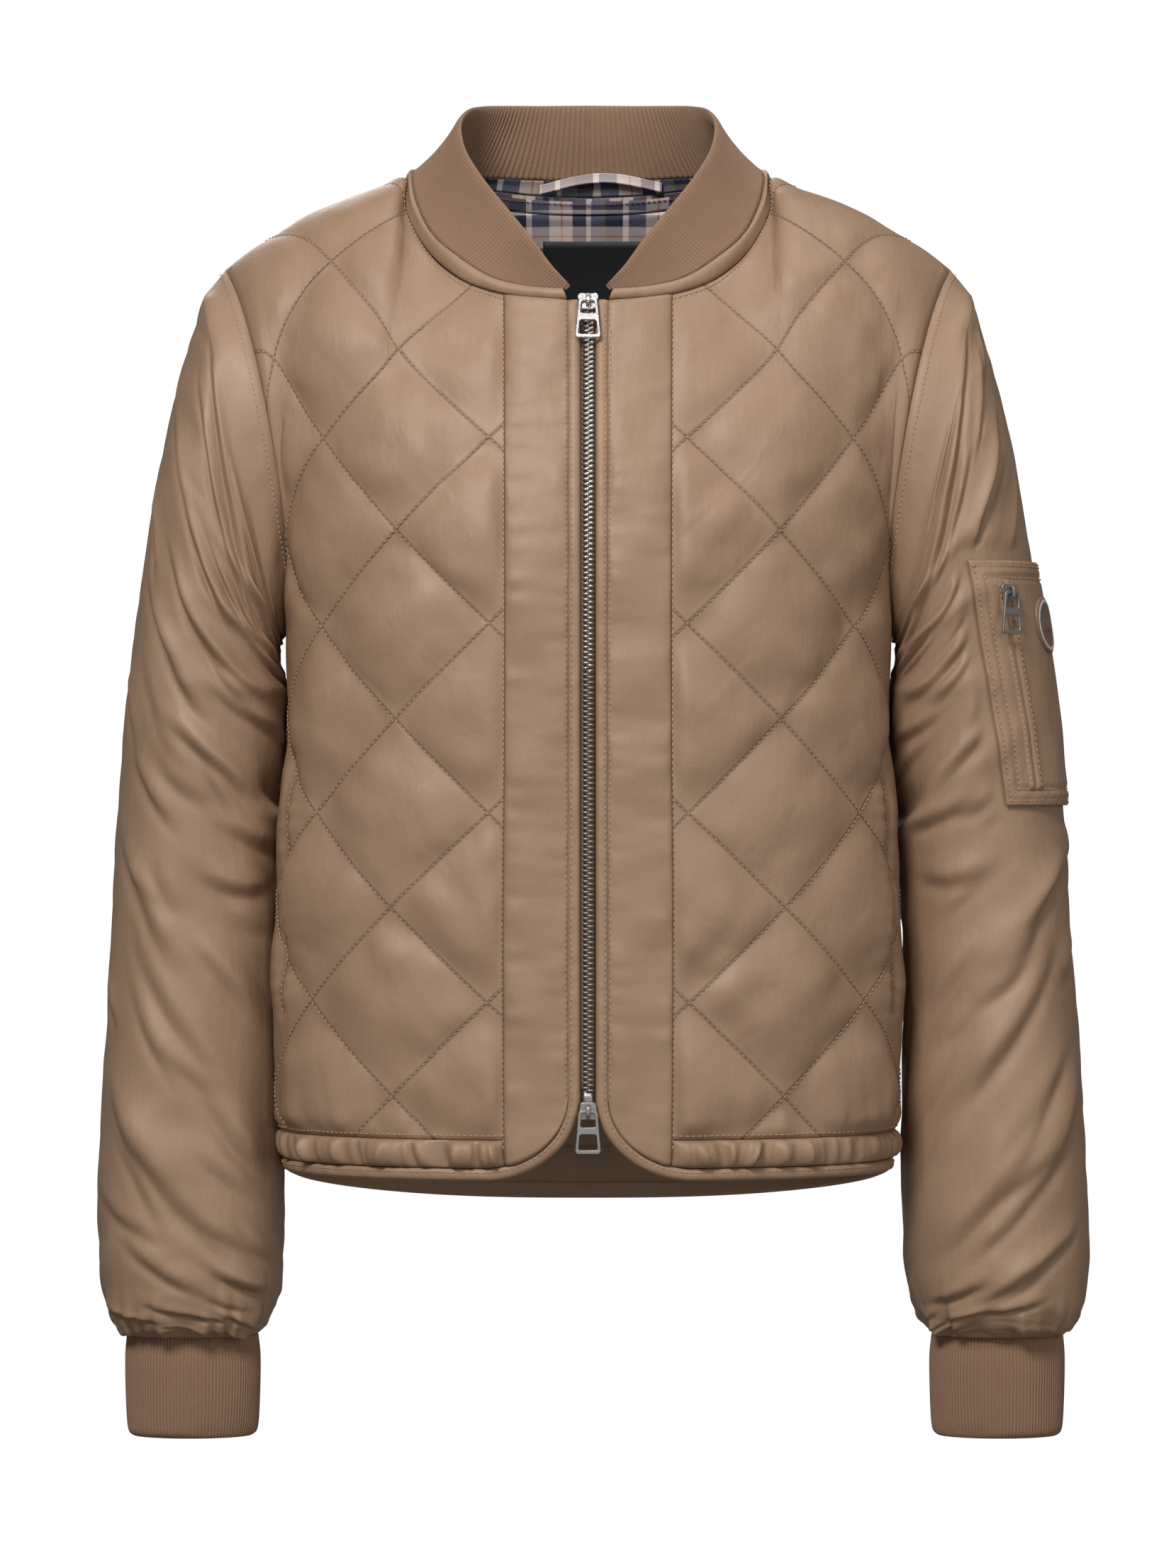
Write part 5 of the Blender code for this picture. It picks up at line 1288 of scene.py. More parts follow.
@dataclass
class SleevePieces:
    """The sleeves, their cuffs and the pocket's patch and welt on the wearer's left."""

    looks: Looks
    cuff_x: float = 231.0  # the cuff's middle
    cuff_y: float = 16.0
    cuff_lean: float = 4.0
    cuff_wall: float = 2.4
    welt_half: float = 5.4  # half its width
    patch_width: float = 111.0
    per_degree: float = 1.012  # millimetres round the patch's own curve
    cuff_ribs: int = 116
    cuff_cells: int = 4  # to a rib
    cuff_radius: float = 33.0

    def __post_init__(self) -> None:
        """Makes the two sleeves' cloth."""
        self.cloth = {side: SleeveCloth(side, seed) for side, seed in zip(Side, (23, 29))}

    def tubes(self) -> list[Piece]:
        """The two padded sleeves."""
        made = []
        for side, cloth in self.cloth.items():
            angles = np.arange(200) * 1.8
            rings = np.concatenate(
                [spread(0.0, 1.0, 0.2), spread(1.06, 14.0, 0.058), spread(14.05, 18.0, 0.05)]
            )
            wide, down = np.meshgrid(angles, rings, indexing="ij")
            outer = cloth.surface(wide, down)
            base, out = cloth.turned(wide, down)
            inner = base - out * SLEEVE_WALL
            first = unit(base[:, 1] - base[:, 0]) * GAP
            outer[:, 0] += first
            inner[:, 0] += first
            flat = np.stack([wide / 360.0 * ROUND, down * -RING], axis=-1)
            wall = Wall(outer, inner, flat, wrap=True, block=4)
            looks = [self.looks.shell, self.looks.lining]
            name, node = f"padded_sleeve_{side.word}", f"sleeve_{side.word}"
            made.append(Piece(name, node, "shell", wall, looks, (0.40, 0.62), area=0.208))
        return made

    def cuffs(self) -> list[Piece]:
        """The rib knit cuffs, each rib a ridge."""
        made = []
        count = self.cuff_ribs * self.cuff_cells
        angles = np.arange(count) * 360.0 / count
        foot = [2.75, 2.86, 2.94, 2.98, 3.0]
        heights = np.concatenate([[0.0, 0.04], np.linspace(0.1, 2.62, 20), foot])
        table = [(k,) + row for k, row in enumerate(CUFF_RINGS)]
        z, half_width, half_depth = smooth(table, heights).T
        a = np.radians(angles)[:, None]
        ridge = 0.42 * np.cos(a * self.cuff_ribs) * np.clip((3.0 - heights) / 0.2, 0, 1) ** 0.5
        wave = 0.9 * cloud(a / (2 * math.pi) * 61.0 / 6.0, heights[None] * 0.8 + 3.0, 83)
        wave = wave * np.clip(heights, 0, 1) * np.clip(3.2 - heights, 0, 1)
        closed = 0.9 * np.clip((heights - 2.7) / 0.3, 0, 1) ** 2
        for side in Side:
            layers = []
            for inset, ribbed in ((0.0, 1.0), (self.cuff_wall, -1.0)):
                grow = ribbed * ridge + wave - ribbed * closed - inset
                x = side.value * (self.cuff_x + (half_width + grow) * np.cos(a)) + self.cuff_lean
                y = self.cuff_y - (half_depth + grow) * np.sin(a)
                layers.append(np.stack([x, y, np.broadcast_to(z, x.shape)], axis=-1))
            flat = np.stack(np.broadcast_arrays(a * self.cuff_radius, z), axis=-1)
            # Painted shade in the valleys between the ribs: 1 in each valley and 0 on each rib's
            # top, carried to the knit's colour.
            rib_valley_shade = np.broadcast_to(0.5 - 0.5 * np.cos(a * self.cuff_ribs), flat.shape[:2])
            wall = Wall(layers[0], layers[1], flat, wrap=True, seam=rib_valley_shade)
            name, node = f"knit_cuff_{side.word}", f"cuff_{side.word}"
            made.append(Piece(name, node, "rib_knit", wall, [self.looks.knit], (0.21, 0.058)))
        return made

    def patch(self) -> Piece:
        """The pocket's patch, which follows the sleeve."""
        cloth = self.cloth[Side.LEFT]
        turn, share = np.meshgrid(np.linspace(0, 1, 75), np.linspace(0, 1, 93), indexing="ij")
        z = PATCH_FOOT_Z + (PATCH_TOP_Z - PATCH_FOOT_Z) * share
        start = PATCH_ANGLES[0] + PATCH_TWIST * (1 - share)
        angle = start + (PATCH_ANGLES[1] - PATCH_ANGLES[0]) * turn
        from_side = np.minimum(turn, 1 - turn) * self.patch_width
        from_end = np.minimum(share, 1 - share) * (PATCH_TOP_Z - PATCH_FOOT_Z)
        from_edge = np.minimum(from_side, from_end)
        lines = 1.1 * np.exp(-(((from_edge - PATCH_LINES[0]) / 1.3) ** 2))
        lines += 1.1 * np.exp(-(((from_edge - PATCH_LINES[1]) / 1.5) ** 2))
        soft = 0.9 * cloud(turn * 7.0 + 11.0, share * 6.0 + 4.0, 73)
        pucker = 0.5 * ripple((from_side - from_end) / 3.1 + 80.0, 74) * np.exp(-from_edge / 9.0)
        swell = 1.0 + soft * np.clip(from_edge / 8.0, 0, 1) - lines + pucker
        swell = np.where(from_edge < 0.01, -0.4, swell)
        outer = cloth.place(angle, z, PATCH_LEVEL + swell * 0.8)
        inner = cloth.place(angle, z, PATCH_OFF)
        flat = np.stack([angle * self.per_degree, z], axis=-1)
        wall, looks = Wall(outer, inner, flat), [self.looks.shell]
        return Piece("pocket_patch", "sleeve_pocket_patch", "shell", wall, looks, (0.112, 0.139))

    def welt(self) -> Piece:
        """The pocket's zip strip: two soft lips with a slit between them."""
        cloth = self.cloth[Side.LEFT]
        share, row = np.meshgrid(np.linspace(-1, 1, 25), np.linspace(0, 1, 91), indexing="ij")
        z = WELT_FOOT_Z + (WELT_TOP_Z - WELT_FOOT_Z) * row
        angle = welt_angle(z) - np.degrees(share * self.welt_half / SLEEVE_RADIUS)
        lip = 1 - (np.abs(share) - 0.55) ** 2 * 2.4
        ends = np.minimum(row, 1 - row) * 30.0
        depth = 1.9 * np.exp(-((share / 0.11) ** 2)) * np.clip(ends, 0, 1)
        level = WELT_FLOOR + WELT_THICK * np.minimum(lip * np.clip(0.35 + ends, 0, 1), 1.0) - depth
        level = np.where(np.abs(share) > 0.999, WELT_FLOOR + 0.5, level)
        outer, inner = cloth.place(angle, z, level), cloth.place(angle, z, WELT_FLOOR - 0.2)
        flat = np.stack([share * self.welt_half + 900.0, z], axis=-1)
        wall, looks = Wall(outer, inner, flat), [self.looks.shell]
        return Piece("pocket_welt", "sleeve_pocket_welt", "shell", wall, looks, (0.0125, 0.119))


def welt_angle(z: float | Array) -> float | Array:
    """The angle of the pocket's slit at this height."""
    share = (WELT_TOP_Z - z) / (WELT_TOP_Z - WELT_FOOT_Z)
    return WELT_ANGLE[0] + (WELT_ANGLE[1] - WELT_ANGLE[0]) * share


# ================================================================ collar, piping, inside details
@dataclass
class NeckPieces:
    """The rib knit collar, the rolled piping at its foot, the label and the hanger loop."""

    looks: Looks
    collar_wall: float = 3.2
    piping_rise: float = 2.0
    label_size: tuple[float, float] = (66.0, 48.0)
    label_top_z: float = -28.0
    loop_from: float = -28.0  # the hanger loop's ends across the back
    loop_to: float = 43.0
    loop_width: float = 5.6
    loop_rise: float = 7.5
    loop_in: float = 7.8  # from the collar's seam into the neck
    loop_sewn: float = 1.5  # its ends' depth in the seam
    collar_ribs: int = 112
    collar_fold: float = 0.86  # share of its height where the top edge starts to roll over
    collar_tall: float = 45.0
    collar_long: float = 195.0  # half its length on the flat
    collar_steps: int = 320

    def __post_init__(self) -> None:
        """Lays out the collar's seam, by which the neck's edge finds its place along it."""
        shares = np.linspace(0.0, 1.0, self.collar_steps + 1)
        self.seam = self.collar_points(shares, np.zeros(len(shares)))

    @staticmethod
    def collar_points(shares: Array, heights: Array) -> Array:
        """Points of the collar on the wearer's left; height 0 is the neck seam, 1 the top edge."""
        row = smooth(COLLAR_LINES, shares)
        foot, top, swell = row[..., 0:3], row[..., 3:6], row[..., 6]
        out = unit(foot * (0.9, 1.0, 0.0) + np.array([0.0, 0.0, 40.0]))
        heights = np.asarray(heights, float)
        bow = (swell * 4 * heights * (1 - heights) * -0.6)[..., None]
        return foot + (top - foot) * heights[..., None] + out * bow

    def collar_out(self, shares: Array, heights: Array) -> Array:
        """The outward directions there."""
        low, high = np.maximum(shares - 0.01, 0.0), np.minimum(shares + 0.01, 1.0)
        along = self.collar_points(high, heights) - self.collar_points(low, heights)
        along[shares > 0.9999] = (-1.0, 0.0, 0.0)
        upward = self.collar_points(shares, np.minimum(heights + 0.1, 1.0)) - self.collar_points(
            shares, np.maximum(heights - 0.1, 0.0)
        )
        return unit(np.cross(along, upward))

    def collar(self) -> Piece:
        """The collar, with each rib a ridge and a soft folded top."""
        half = np.linspace(0.0, 1.0, self.collar_ribs * 4 + 1)
        edge = [0.9, 0.94, 0.97, 0.99, 1.0]
        heights = np.concatenate([np.linspace(0.005, self.collar_fold, 17), edge])
        shares, tall = np.meshgrid(half, heights, indexing="ij")
        middle = self.collar_points(shares, tall)
        out = self.collar_out(shares, tall)
        ridge = 0.45 * np.cos(2 * math.pi * shares * self.collar_ribs)
        soft = 1.0 * cloud(shares * 7.0 + 3.0, tall * 1.6 + 5.0, 97) * np.clip(tall * 3, 0, 1)
        past = np.clip((tall - self.collar_fold) / 0.14, 0, 1)
        thick = np.sqrt(np.clip(1 - past**2, 0.0, 1.0))
        half_wall = self.collar_wall / 2
        centre = middle - out * (half_wall - 0.2 - soft[..., None])
        reach = (0.25 + (half_wall - 0.25 + ridge) * thick)[..., None]
        ends = settle(shares, 0.0, 0.012)[..., None]
        reach = reach * (0.35 + 0.65 * ends)
        outer, inner = centre + out * reach, centre - out * reach
        mirror = np.array([-1.0, 1.0, 1.0])
        outer = np.concatenate([outer[:-1] * mirror, outer[::-1]])
        inner = np.concatenate([inner[:-1] * mirror, inner[::-1]])
        around = np.concatenate([shares[:-1], 2 - shares[::-1]]) * self.collar_long
        deep = np.concatenate([tall[:-1], tall[::-1]]) * self.collar_tall
        # Painted shade in the valleys between the ribs: 1 in each valley and 0 on each rib's top,
        # carried to the knit's colour.
        rib_valley_shade = 0.5 - 0.5 * np.cos(2 * math.pi * shares * self.collar_ribs)
        rib_valley_shade = np.concatenate([rib_valley_shade[:-1], rib_valley_shade[::-1]])
        wall = Wall(outer, inner, np.stack([around, deep], axis=-1), seam=rib_valley_shade)
        return Piece("knit_collar", "collar", "rib_knit", wall, [self.looks.knit], (0.40, 0.052))

    def nearest_share(self, face: Face, across: float) -> float:
        """The place along the collar nearest to this place of the neck's edge."""
        edge = TORSO.point(face, across, TORSO.top(face, across))
        gaps = np.linalg.norm(self.seam - edge, axis=1)
        best = int(np.clip(np.argmin(gaps), 1, self.collar_steps - 1))
        a, b, c = gaps[best - 1:best + 2] ** 2
        lean = (a - c) / max(2 * (a - 2 * b + c), 1e-9)
        return float(np.clip((best + np.clip(lean, -0.5, 0.5)) / self.collar_steps, 0.0, 1.0))

    def neck_line(self) -> list[tuple[Face, float, float]]:
        """Places round the left half of the neck, from the front edge to the centre back."""
        front = np.concatenate(
            [spread(EDGE + BINDING + GAP / 2, BAND_EDGE, 2.2), spread(BAND_EDGE + 2, NECK_END, 2.2)]
        )
        line = [(Face.FRONT, a, self.nearest_share(Face.FRONT, a)) for a in front]
        back = spread(NECK_END - 2.2, 0.0, 2.2)
        line += [(Face.BACK, a, self.nearest_share(Face.BACK, a)) for a in back]
        shares = np.maximum.accumulate([row[2] for row in line])
        kernel = np.ones(9) / 9
        padded = np.concatenate([np.full(4, shares[0]), shares, np.full(4, shares[-1])])
        shares = np.convolve(padded, kernel, mode="valid")
        shares[-1] = 1.0
        return [(face, a, float(s)) for (face, a, _), s in zip(line, shares)]

    def piping(self) -> Piece:
        """The rolled edge between the shell and the collar."""
        turns = np.linspace(0.0, 1.0, 9)
        outer, inner, flat = [], [], []
        travelled = 0.0
        last = None
        for face, across, share in self.neck_line():
            top = TORSO.top(face, across)
            edge = TORSO.point(face, across, top)
            inward = TORSO.inward(face, across, np.array([top - GAP / 2]))[0]
            seam = self.collar_points(np.array([share]), np.array([0.0]))[0]
            out = self.collar_out(np.array([share]), np.array([0.005]))[0]
            away = unit(seam - edge)
            low, high = edge + away * 3 * GAP, seam - away * GAP / 2
            travelled += 0.0 if last is None else float(np.linalg.norm(seam - last))
            last = seam
            wave = 1.0 + 0.3 * float(ripple(np.array([travelled / 6.0]), 57)[0])
            column_out, column_in = [], []
            for turn in turns:
                middle = low + (high - low) * turn
                lift = math.sin(math.pi * turn) ** 0.75
                forward = unit(-inward * (1 - turn) + out * turn)
                thick = WALL + (self.collar_wall - 0.2 - WALL) * turn
                column_out.append(middle + forward * (self.piping_rise * lift * wave + 0.2 * turn))
                column_in.append(middle - forward * (thick - 0.5 * lift))
            outer.append(column_out)
            inner.append(column_in)
            flat.append([(travelled, 8.0 * turn + 30.0) for turn in turns])
        outer, inner, flat = np.array(outer), np.array(inner), np.array(flat)
        mirror = np.array([-1.0, 1.0, 1.0])
        outer = np.concatenate([outer * mirror, outer[-2::-1]])
        inner = np.concatenate([inner * mirror, inner[-2::-1]])
        beyond = flat[-2::-1] * (-1, 1) + (2 * flat[-1, 0, 0], 0)
        wall = Wall(outer, inner, np.concatenate([flat, beyond]))
        looks = [self.looks.shell, self.looks.lining]
        return Piece("rolled_piping", "neck_piping", "shell", wall, looks, (0.42, 0.018))

    def label(self) -> Piece:
        """The bare woven label inside the back."""
        width, height = self.label_size
        across = np.linspace(-width / 2, width / 2, 19) + 6.0
        foot, top = (
            np.array([TORSO.height_at(Face.BACK, a, z) for a in across])
            for z in (self.label_top_z - height, self.label_top_z)
        )
        ups = foot[:, None] + (top - foot)[:, None] * np.linspace(0.0, 1.0, 13)
        base, inward = TORSO.grid(Face.BACK, across, ups)
        near = WALL + 2 * INSIDE_GAP + LINING_WALL + 0.1
        flat = np.stack([np.repeat(across[:, None], 13, axis=1), ups], axis=-1)
        wall = Wall(base + inward * near, base + inward * (near + 0.7), flat)
        return Piece("woven_label", "label", "label", wall, [self.looks.label], (0.066, 0.050))

    def loop(self) -> Piece:
        """The hanger loop: a folded strip that arches between its two sewn ends."""
        shares = np.linspace(0.0, 1.0, 41)
        rows = np.linspace(0.0, 1.0, 7)
        outer, inner, flat = [], [], []
        for share in shares:
            across = self.loop_from + (self.loop_to - self.loop_from) * share
            arch = math.sin(math.pi * share) ** 1.1
            seam = TORSO.point(Face.BACK, across, TORSO.top(Face.BACK, across))
            up = self.loop_rise * arch - self.loop_sewn
            foot = seam + np.array([0.0, -self.loop_in - 3.5 * arch, up])
            roll = 0.5 * np.sin(np.pi * rows) ** 0.5
            here = foot + np.column_stack([0 * rows, 0.25 - roll, self.loop_width * rows])
            outer.append(here)
            inner.append(foot + np.column_stack([0 * rows, roll - 1.25, self.loop_width * rows]))
            flat.append(np.column_stack([0 * rows + across, rows * self.loop_width]))
        wall, looks = Wall(np.array(outer), np.array(inner), np.array(flat)), [self.looks.lining]
        size = (0.084, 0.0101)
        return Piece("loop_strip", "hanger_loop", "lining", wall, looks, size, area=0.00055)


# ================================================================ stitches, set along lines
class Stitcher:
    """A geometry nodes tree that sets one small piece along the edges of a mesh."""

    INPUTS = {
        "Lines": "Geometry", "Piece": "Object", "Spacing": "Float", "Least size": "Float",
        "Seed": "Int", "Look": "Material",
    }
    NODES = {
        "entry": "NodeGroupInput",
        "end": "NodeGroupOutput",
        "curve": "GeometryNodeMeshToCurve",
        "sample": "GeometryNodeResampleCurve",
        "tangent": "GeometryNodeInputTangent",
        "align": "FunctionNodeAlignRotationToVector",
        "info": "GeometryNodeObjectInfo",
        "size": "FunctionNodeRandomValue",
        "place": "GeometryNodeInstanceOnPoints",
        "real": "GeometryNodeRealizeInstances",
        "look": "GeometryNodeSetMaterial",
    }
    LINKS = (
        ("entry", "Lines", "curve", "Mesh"),
        ("curve", "Curve", "sample", "Curve"),
        ("entry", "Spacing", "sample", "Length"),
        ("tangent", "Tangent", "align", "Vector"),
        ("entry", "Piece", "info", "Object"),
        ("entry", "Least size", "size", "Min"),
        ("entry", "Seed", "size", "Seed"),
        ("sample", "Curve", "place", "Points"),
        ("info", "Geometry", "place", "Instance"),
        ("align", "Rotation", "place", "Rotation"),
        ("size", "Value", "place", "Scale"),
        ("place", "Instances", "real", "Geometry"),
        ("real", "Geometry", "look", "Geometry"),
        ("entry", "Look", "look", "Material"),
        ("look", "Geometry", "end", "Pieces"),
    )

    def __init__(self) -> None:
        """Builds the tree."""
        tree = bpy.data.node_groups.new("set along lines", "GeometryNodeTree")
        self.ids: dict[str, str] = {}
        for name, kind in self.INPUTS.items():
            kind = f"NodeSocket{kind}"
            made = tree.interface.new_socket(name=name, in_out="INPUT", socket_type=kind)
            self.ids[name] = made.identifier
        tree.interface.new_socket(name="Pieces", in_out="OUTPUT", socket_type="NodeSocketGeometry")
        nodes = {key: tree.nodes.new(kind) for key, kind in self.NODES.items()}
        nodes["sample"].mode = "LENGTH"
        nodes["align"].axis = "X"
        nodes["size"].data_type = "FLOAT_VECTOR"
        nodes["size"].inputs["Max"].default_value = (1.08, 1.08, 1.08)
        for source, output, target, entry in self.LINKS:
            tree.links.new(nodes[source].outputs[output], nodes[target].inputs[entry])
        self.tree = tree

    def sew(
        self,
        name: str,
        lines: Sequence[Array],
        piece: bpy.types.Object,
        spacing: float,
        least: float,
        seed: int,
        look: bpy.types.Material,
        slot_name: str,
    ) -> bpy.types.Object:
        """Sets the piece along lines, as one mesh.

        Args:
            name: The new piece's name.
            lines: Polylines, in millimetres.
            piece: What is set; its x runs along the line.
            spacing: From one to the next, in millimetres.
            least: The smallest size, as a share.
            seed: The seed of the sizes.
            look: The material.
            slot_name: The record's material slot; not used.

        Returns:
            The new object, riding on the jacket.
        """
        points, edges, count = [], [], 0
        for line in lines:
            points.append(line)
            edges += [(count + k, count + k + 1) for k in range(len(line) - 1)]
            count += len(line)
        mesh = bpy.data.meshes.new(f"{name} lines")
        mesh.from_pydata((np.vstack(points) * MM).tolist(), edges, [])
        carrier = add_object(f"{name}_lines", mesh)
        modifier = carrier.modifiers.new("set", "NODES")
        modifier.node_group = self.tree
        values = (piece, spacing * MM, least, seed, look)
        for key, value in zip(list(self.INPUTS)[1:], values):
            modifier[self.ids[key]] = value
        made = evaluated_mesh(carrier)
        carrier.modifiers.remove(modifier)
        made.name = name
        thing = add_object(name, made)
        bpy.data.objects.remove(carrier)
        made.polygons.foreach_set("use_smooth", np.ones(len(made.polygons), bool))
        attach(thing, "jacket")
        LOG.info("%s: %d triangles", name, len(made.loop_triangles) or len(made.polygons))
        return thing


def stitch_bar(length: float, width: float, height: float) -> bpy.types.Object:
    """A small rounded bar along x that serves as one stitch; sizes in millimetres."""
    shape = ((-0.5, 0.3), (0.0, 1.0), (0.5, 0.3))
    sides = 5
    points, faces = [], []
    for x, full in shape:
        for k in range(sides):
            a = 2 * math.pi * k / sides
            y, z = full * width / 2 * math.cos(a), full * height / 2 * math.sin(a)
            points.append((x * length, y, z))
    for ring in range(len(shape) - 1):
        for k in range(sides):
            a, b = ring * sides + k, ring * sides + (k + 1) % sides
            faces.append((a, b, b + sides, a + sides))
    faces.append(tuple(range(sides))[::-1])
    faces.append(tuple(range(len(points) - sides, len(points))))
    return add_mesh("stitch", np.array(points), [face[::-1] for face in faces])


@dataclass
class Seams:
    """Where the stitches run, on the finished surfaces of the torso and the sleeves."""

    torso: TorsoPieces
    sleeves: SleevePieces
    stitch_in: float = 2.6  # from an edge to the stitches beside it
    stitch_level: float = 0.25  # over the cloth
    stitch_step: float = 2.5

    def on_panel(self, face: Face, wide: Array, ups: Array,
                 level: float = stitch_level) -> Array:
        """Points on a quilted panel's outer face, for single places."""
        wide, ups = np.asarray(wide, float)[:, None], np.asarray(ups, float)[:, None]
        rise = self.torso.quilting[face].relief(wide, ups)
        if face is Face.FRONT:
            rise = rise + self.torso.pocket_seam(wide, ups)
        rise = rise + self.torso.drawn_foot(wide, ups, face)
        rise = rise * self.torso.from_edges(wide, ups, face)
        base, inward = TORSO.places(face, wide[:, 0], ups[:, 0])
        return base - inward * (rise + level)

    def quilted(self, face: Face) -> list[Array]:
        """The diagonal lines of one half of the torso."""
        lines = []
        low = BAND_EDGE + 1.0 if face is Face.FRONT else 0.0
        places = np.arange(low, SIDE_SEAM - 3.0, self.stitch_step)
        tops, feet = TORSO.tops(face, places), panel_feet(face, places)
        for side in Side:
            for family in (1, -1):
                for k in range(-16, 17):
                    units = (2 * k + 1 - places / QUILT_ACROSS) * family
                    ups = QUILT_CROSSING_Z - UNDERARM_Z + units * QUILT_UP
                    inside = (ups > feet + 2.0) & (ups < tops - 2.0)
                    breaks = np.flatnonzero(np.diff(inside)) + 1
                    for run in np.split(np.arange(len(places)), breaks):
                        if len(run) > 3 and inside[run[0]]:
                            lines.append(self.on_panel(face, side.value * places[run], ups[run]))
        return lines

    def panel_edges(self) -> list[Array]:
        """Topstitching beside the panels' seams, and round the side pockets."""
        lines = []
        for side in Side:
            heights = np.arange(POCKET_FOOT_Z, POCKET_TOP_Z + 2.0, self.stitch_step) - UNDERARM_Z
            wide = np.full(len(heights), side.value * POCKET_ACROSS)
            lines.append(self.on_panel(Face.FRONT, wide, heights, 0.35))
            hem = side.value * np.arange(BAND_EDGE + 1.0, SIDE_SEAM - 2.0, self.stitch_step)
            neck = side.value * np.arange(BAND_EDGE + 1.0, NECK_END, self.stitch_step)
            lines += self.foot_and_top(Face.FRONT, hem, neck)
        hem = np.arange(3.0 - SIDE_SEAM, SIDE_SEAM - 2.0, self.stitch_step)
        neck = np.arange(-NECK_END, NECK_END, self.stitch_step)
        return lines + self.foot_and_top(Face.BACK, hem, neck)

    def foot_and_top(self, face: Face, hem: Array, neck: Array) -> list[Array]:
        """The stitches above a panel's foot and below its neck edge."""
        return [
            self.on_panel(face, hem, panel_feet(face, hem) + 2.4, 0.2),
            self.on_panel(face, neck, TORSO.tops(face, neck) - self.stitch_in, 0.3),
        ]

    def along_wall(self, wall: Wall, column: int | None = None, row: int | None = None) -> Array:
        """A line lifted off one column or row of a wall."""
        outer = wall.outer[column] if column is not None else wall.outer[:, row]
        inner = wall.inner[column] if column is not None else wall.inner[:, row]
        return outer + unit(outer - inner) * self.stitch_level

    def edges(self, walls: dict[str, Wall]) -> list[Array]:
        """Topstitching on the front strips, the bindings and the hem."""
        lines = []
        for side in Side:
            strip = walls[f"front_strip_{side.word}"]
            lines += [self.along_wall(strip, column=column)[4:-2] for column in (1, -1)]
            lines.append(self.along_wall(walls[f"bound_edge_{side.word}"], row=6)[3:-1])
        lines.append(self.along_wall(walls["bound_hem_back"], row=6)[1:-1])
        return lines

    def armholes(self) -> list[Array]:
        """Stitches round both armholes, on the sleeves."""
        lines = []
        for cloth in self.sleeves.cloth.values():
            angles = np.arange(0.0, 362.0, 2.0)
            lines.append(cloth.surface(angles, np.full(len(angles), 0.22), 0.3))
        return lines

    def patch(self) -> list[Array]:
        """The double stitching round the pocket's patch, and along its welt."""
        cloth = self.sleeves.cloth[Side.LEFT]
        lines = []
        level = PATCH_LEVEL + 0.35
        for inset in PATCH_LINES:
            tilt = inset / 1.01
            corners = []
            for share, turn in ((0.0, 0.0), (0.0, 1.0), (1.0, 1.0), (1.0, 0.0), (0.0, 0.0)):
                z = PATCH_FOOT_Z + inset + (PATCH_TOP_Z - PATCH_FOOT_Z - 2 * inset) * share
                start = PATCH_ANGLES[0] + PATCH_TWIST * (1 - share) - tilt
                corners.append((start + (PATCH_ANGLES[1] - PATCH_ANGLES[0] + 2 * tilt) * turn, z))
            for (a, z), (b, y) in zip(corners, corners[1:]):
                shares = np.linspace(0.0, 1.0, 45)
                lines.append(cloth.place(a + (b - a) * shares, z + (y - z) * shares, level))
        for turn in (-1, 1):
            heights = np.linspace(WELT_FOOT_Z + 3.0, WELT_TOP_Z - 3.0, 50)
            lean = turn * math.degrees(4.1 / SLEEVE_RADIUS)
            lines.append(cloth.place(welt_angle(heights) + lean, heights, WELT_FLOOR + 1.55))
        return lines

    def red(self) -> list[Array]:
        """The bright stitching along the neck tape's lower edge."""
        wide = np.arange(-90.0, 91.0, 2.0)
        depth = WALL + INSIDE_GAP + 0.7 + LINING_WALL + 0.2
        base, inward = TORSO.places(Face.BACK, wide, TORSO.tops(Face.BACK, wide) - self.stitch_in)
        return [base + inward * depth]


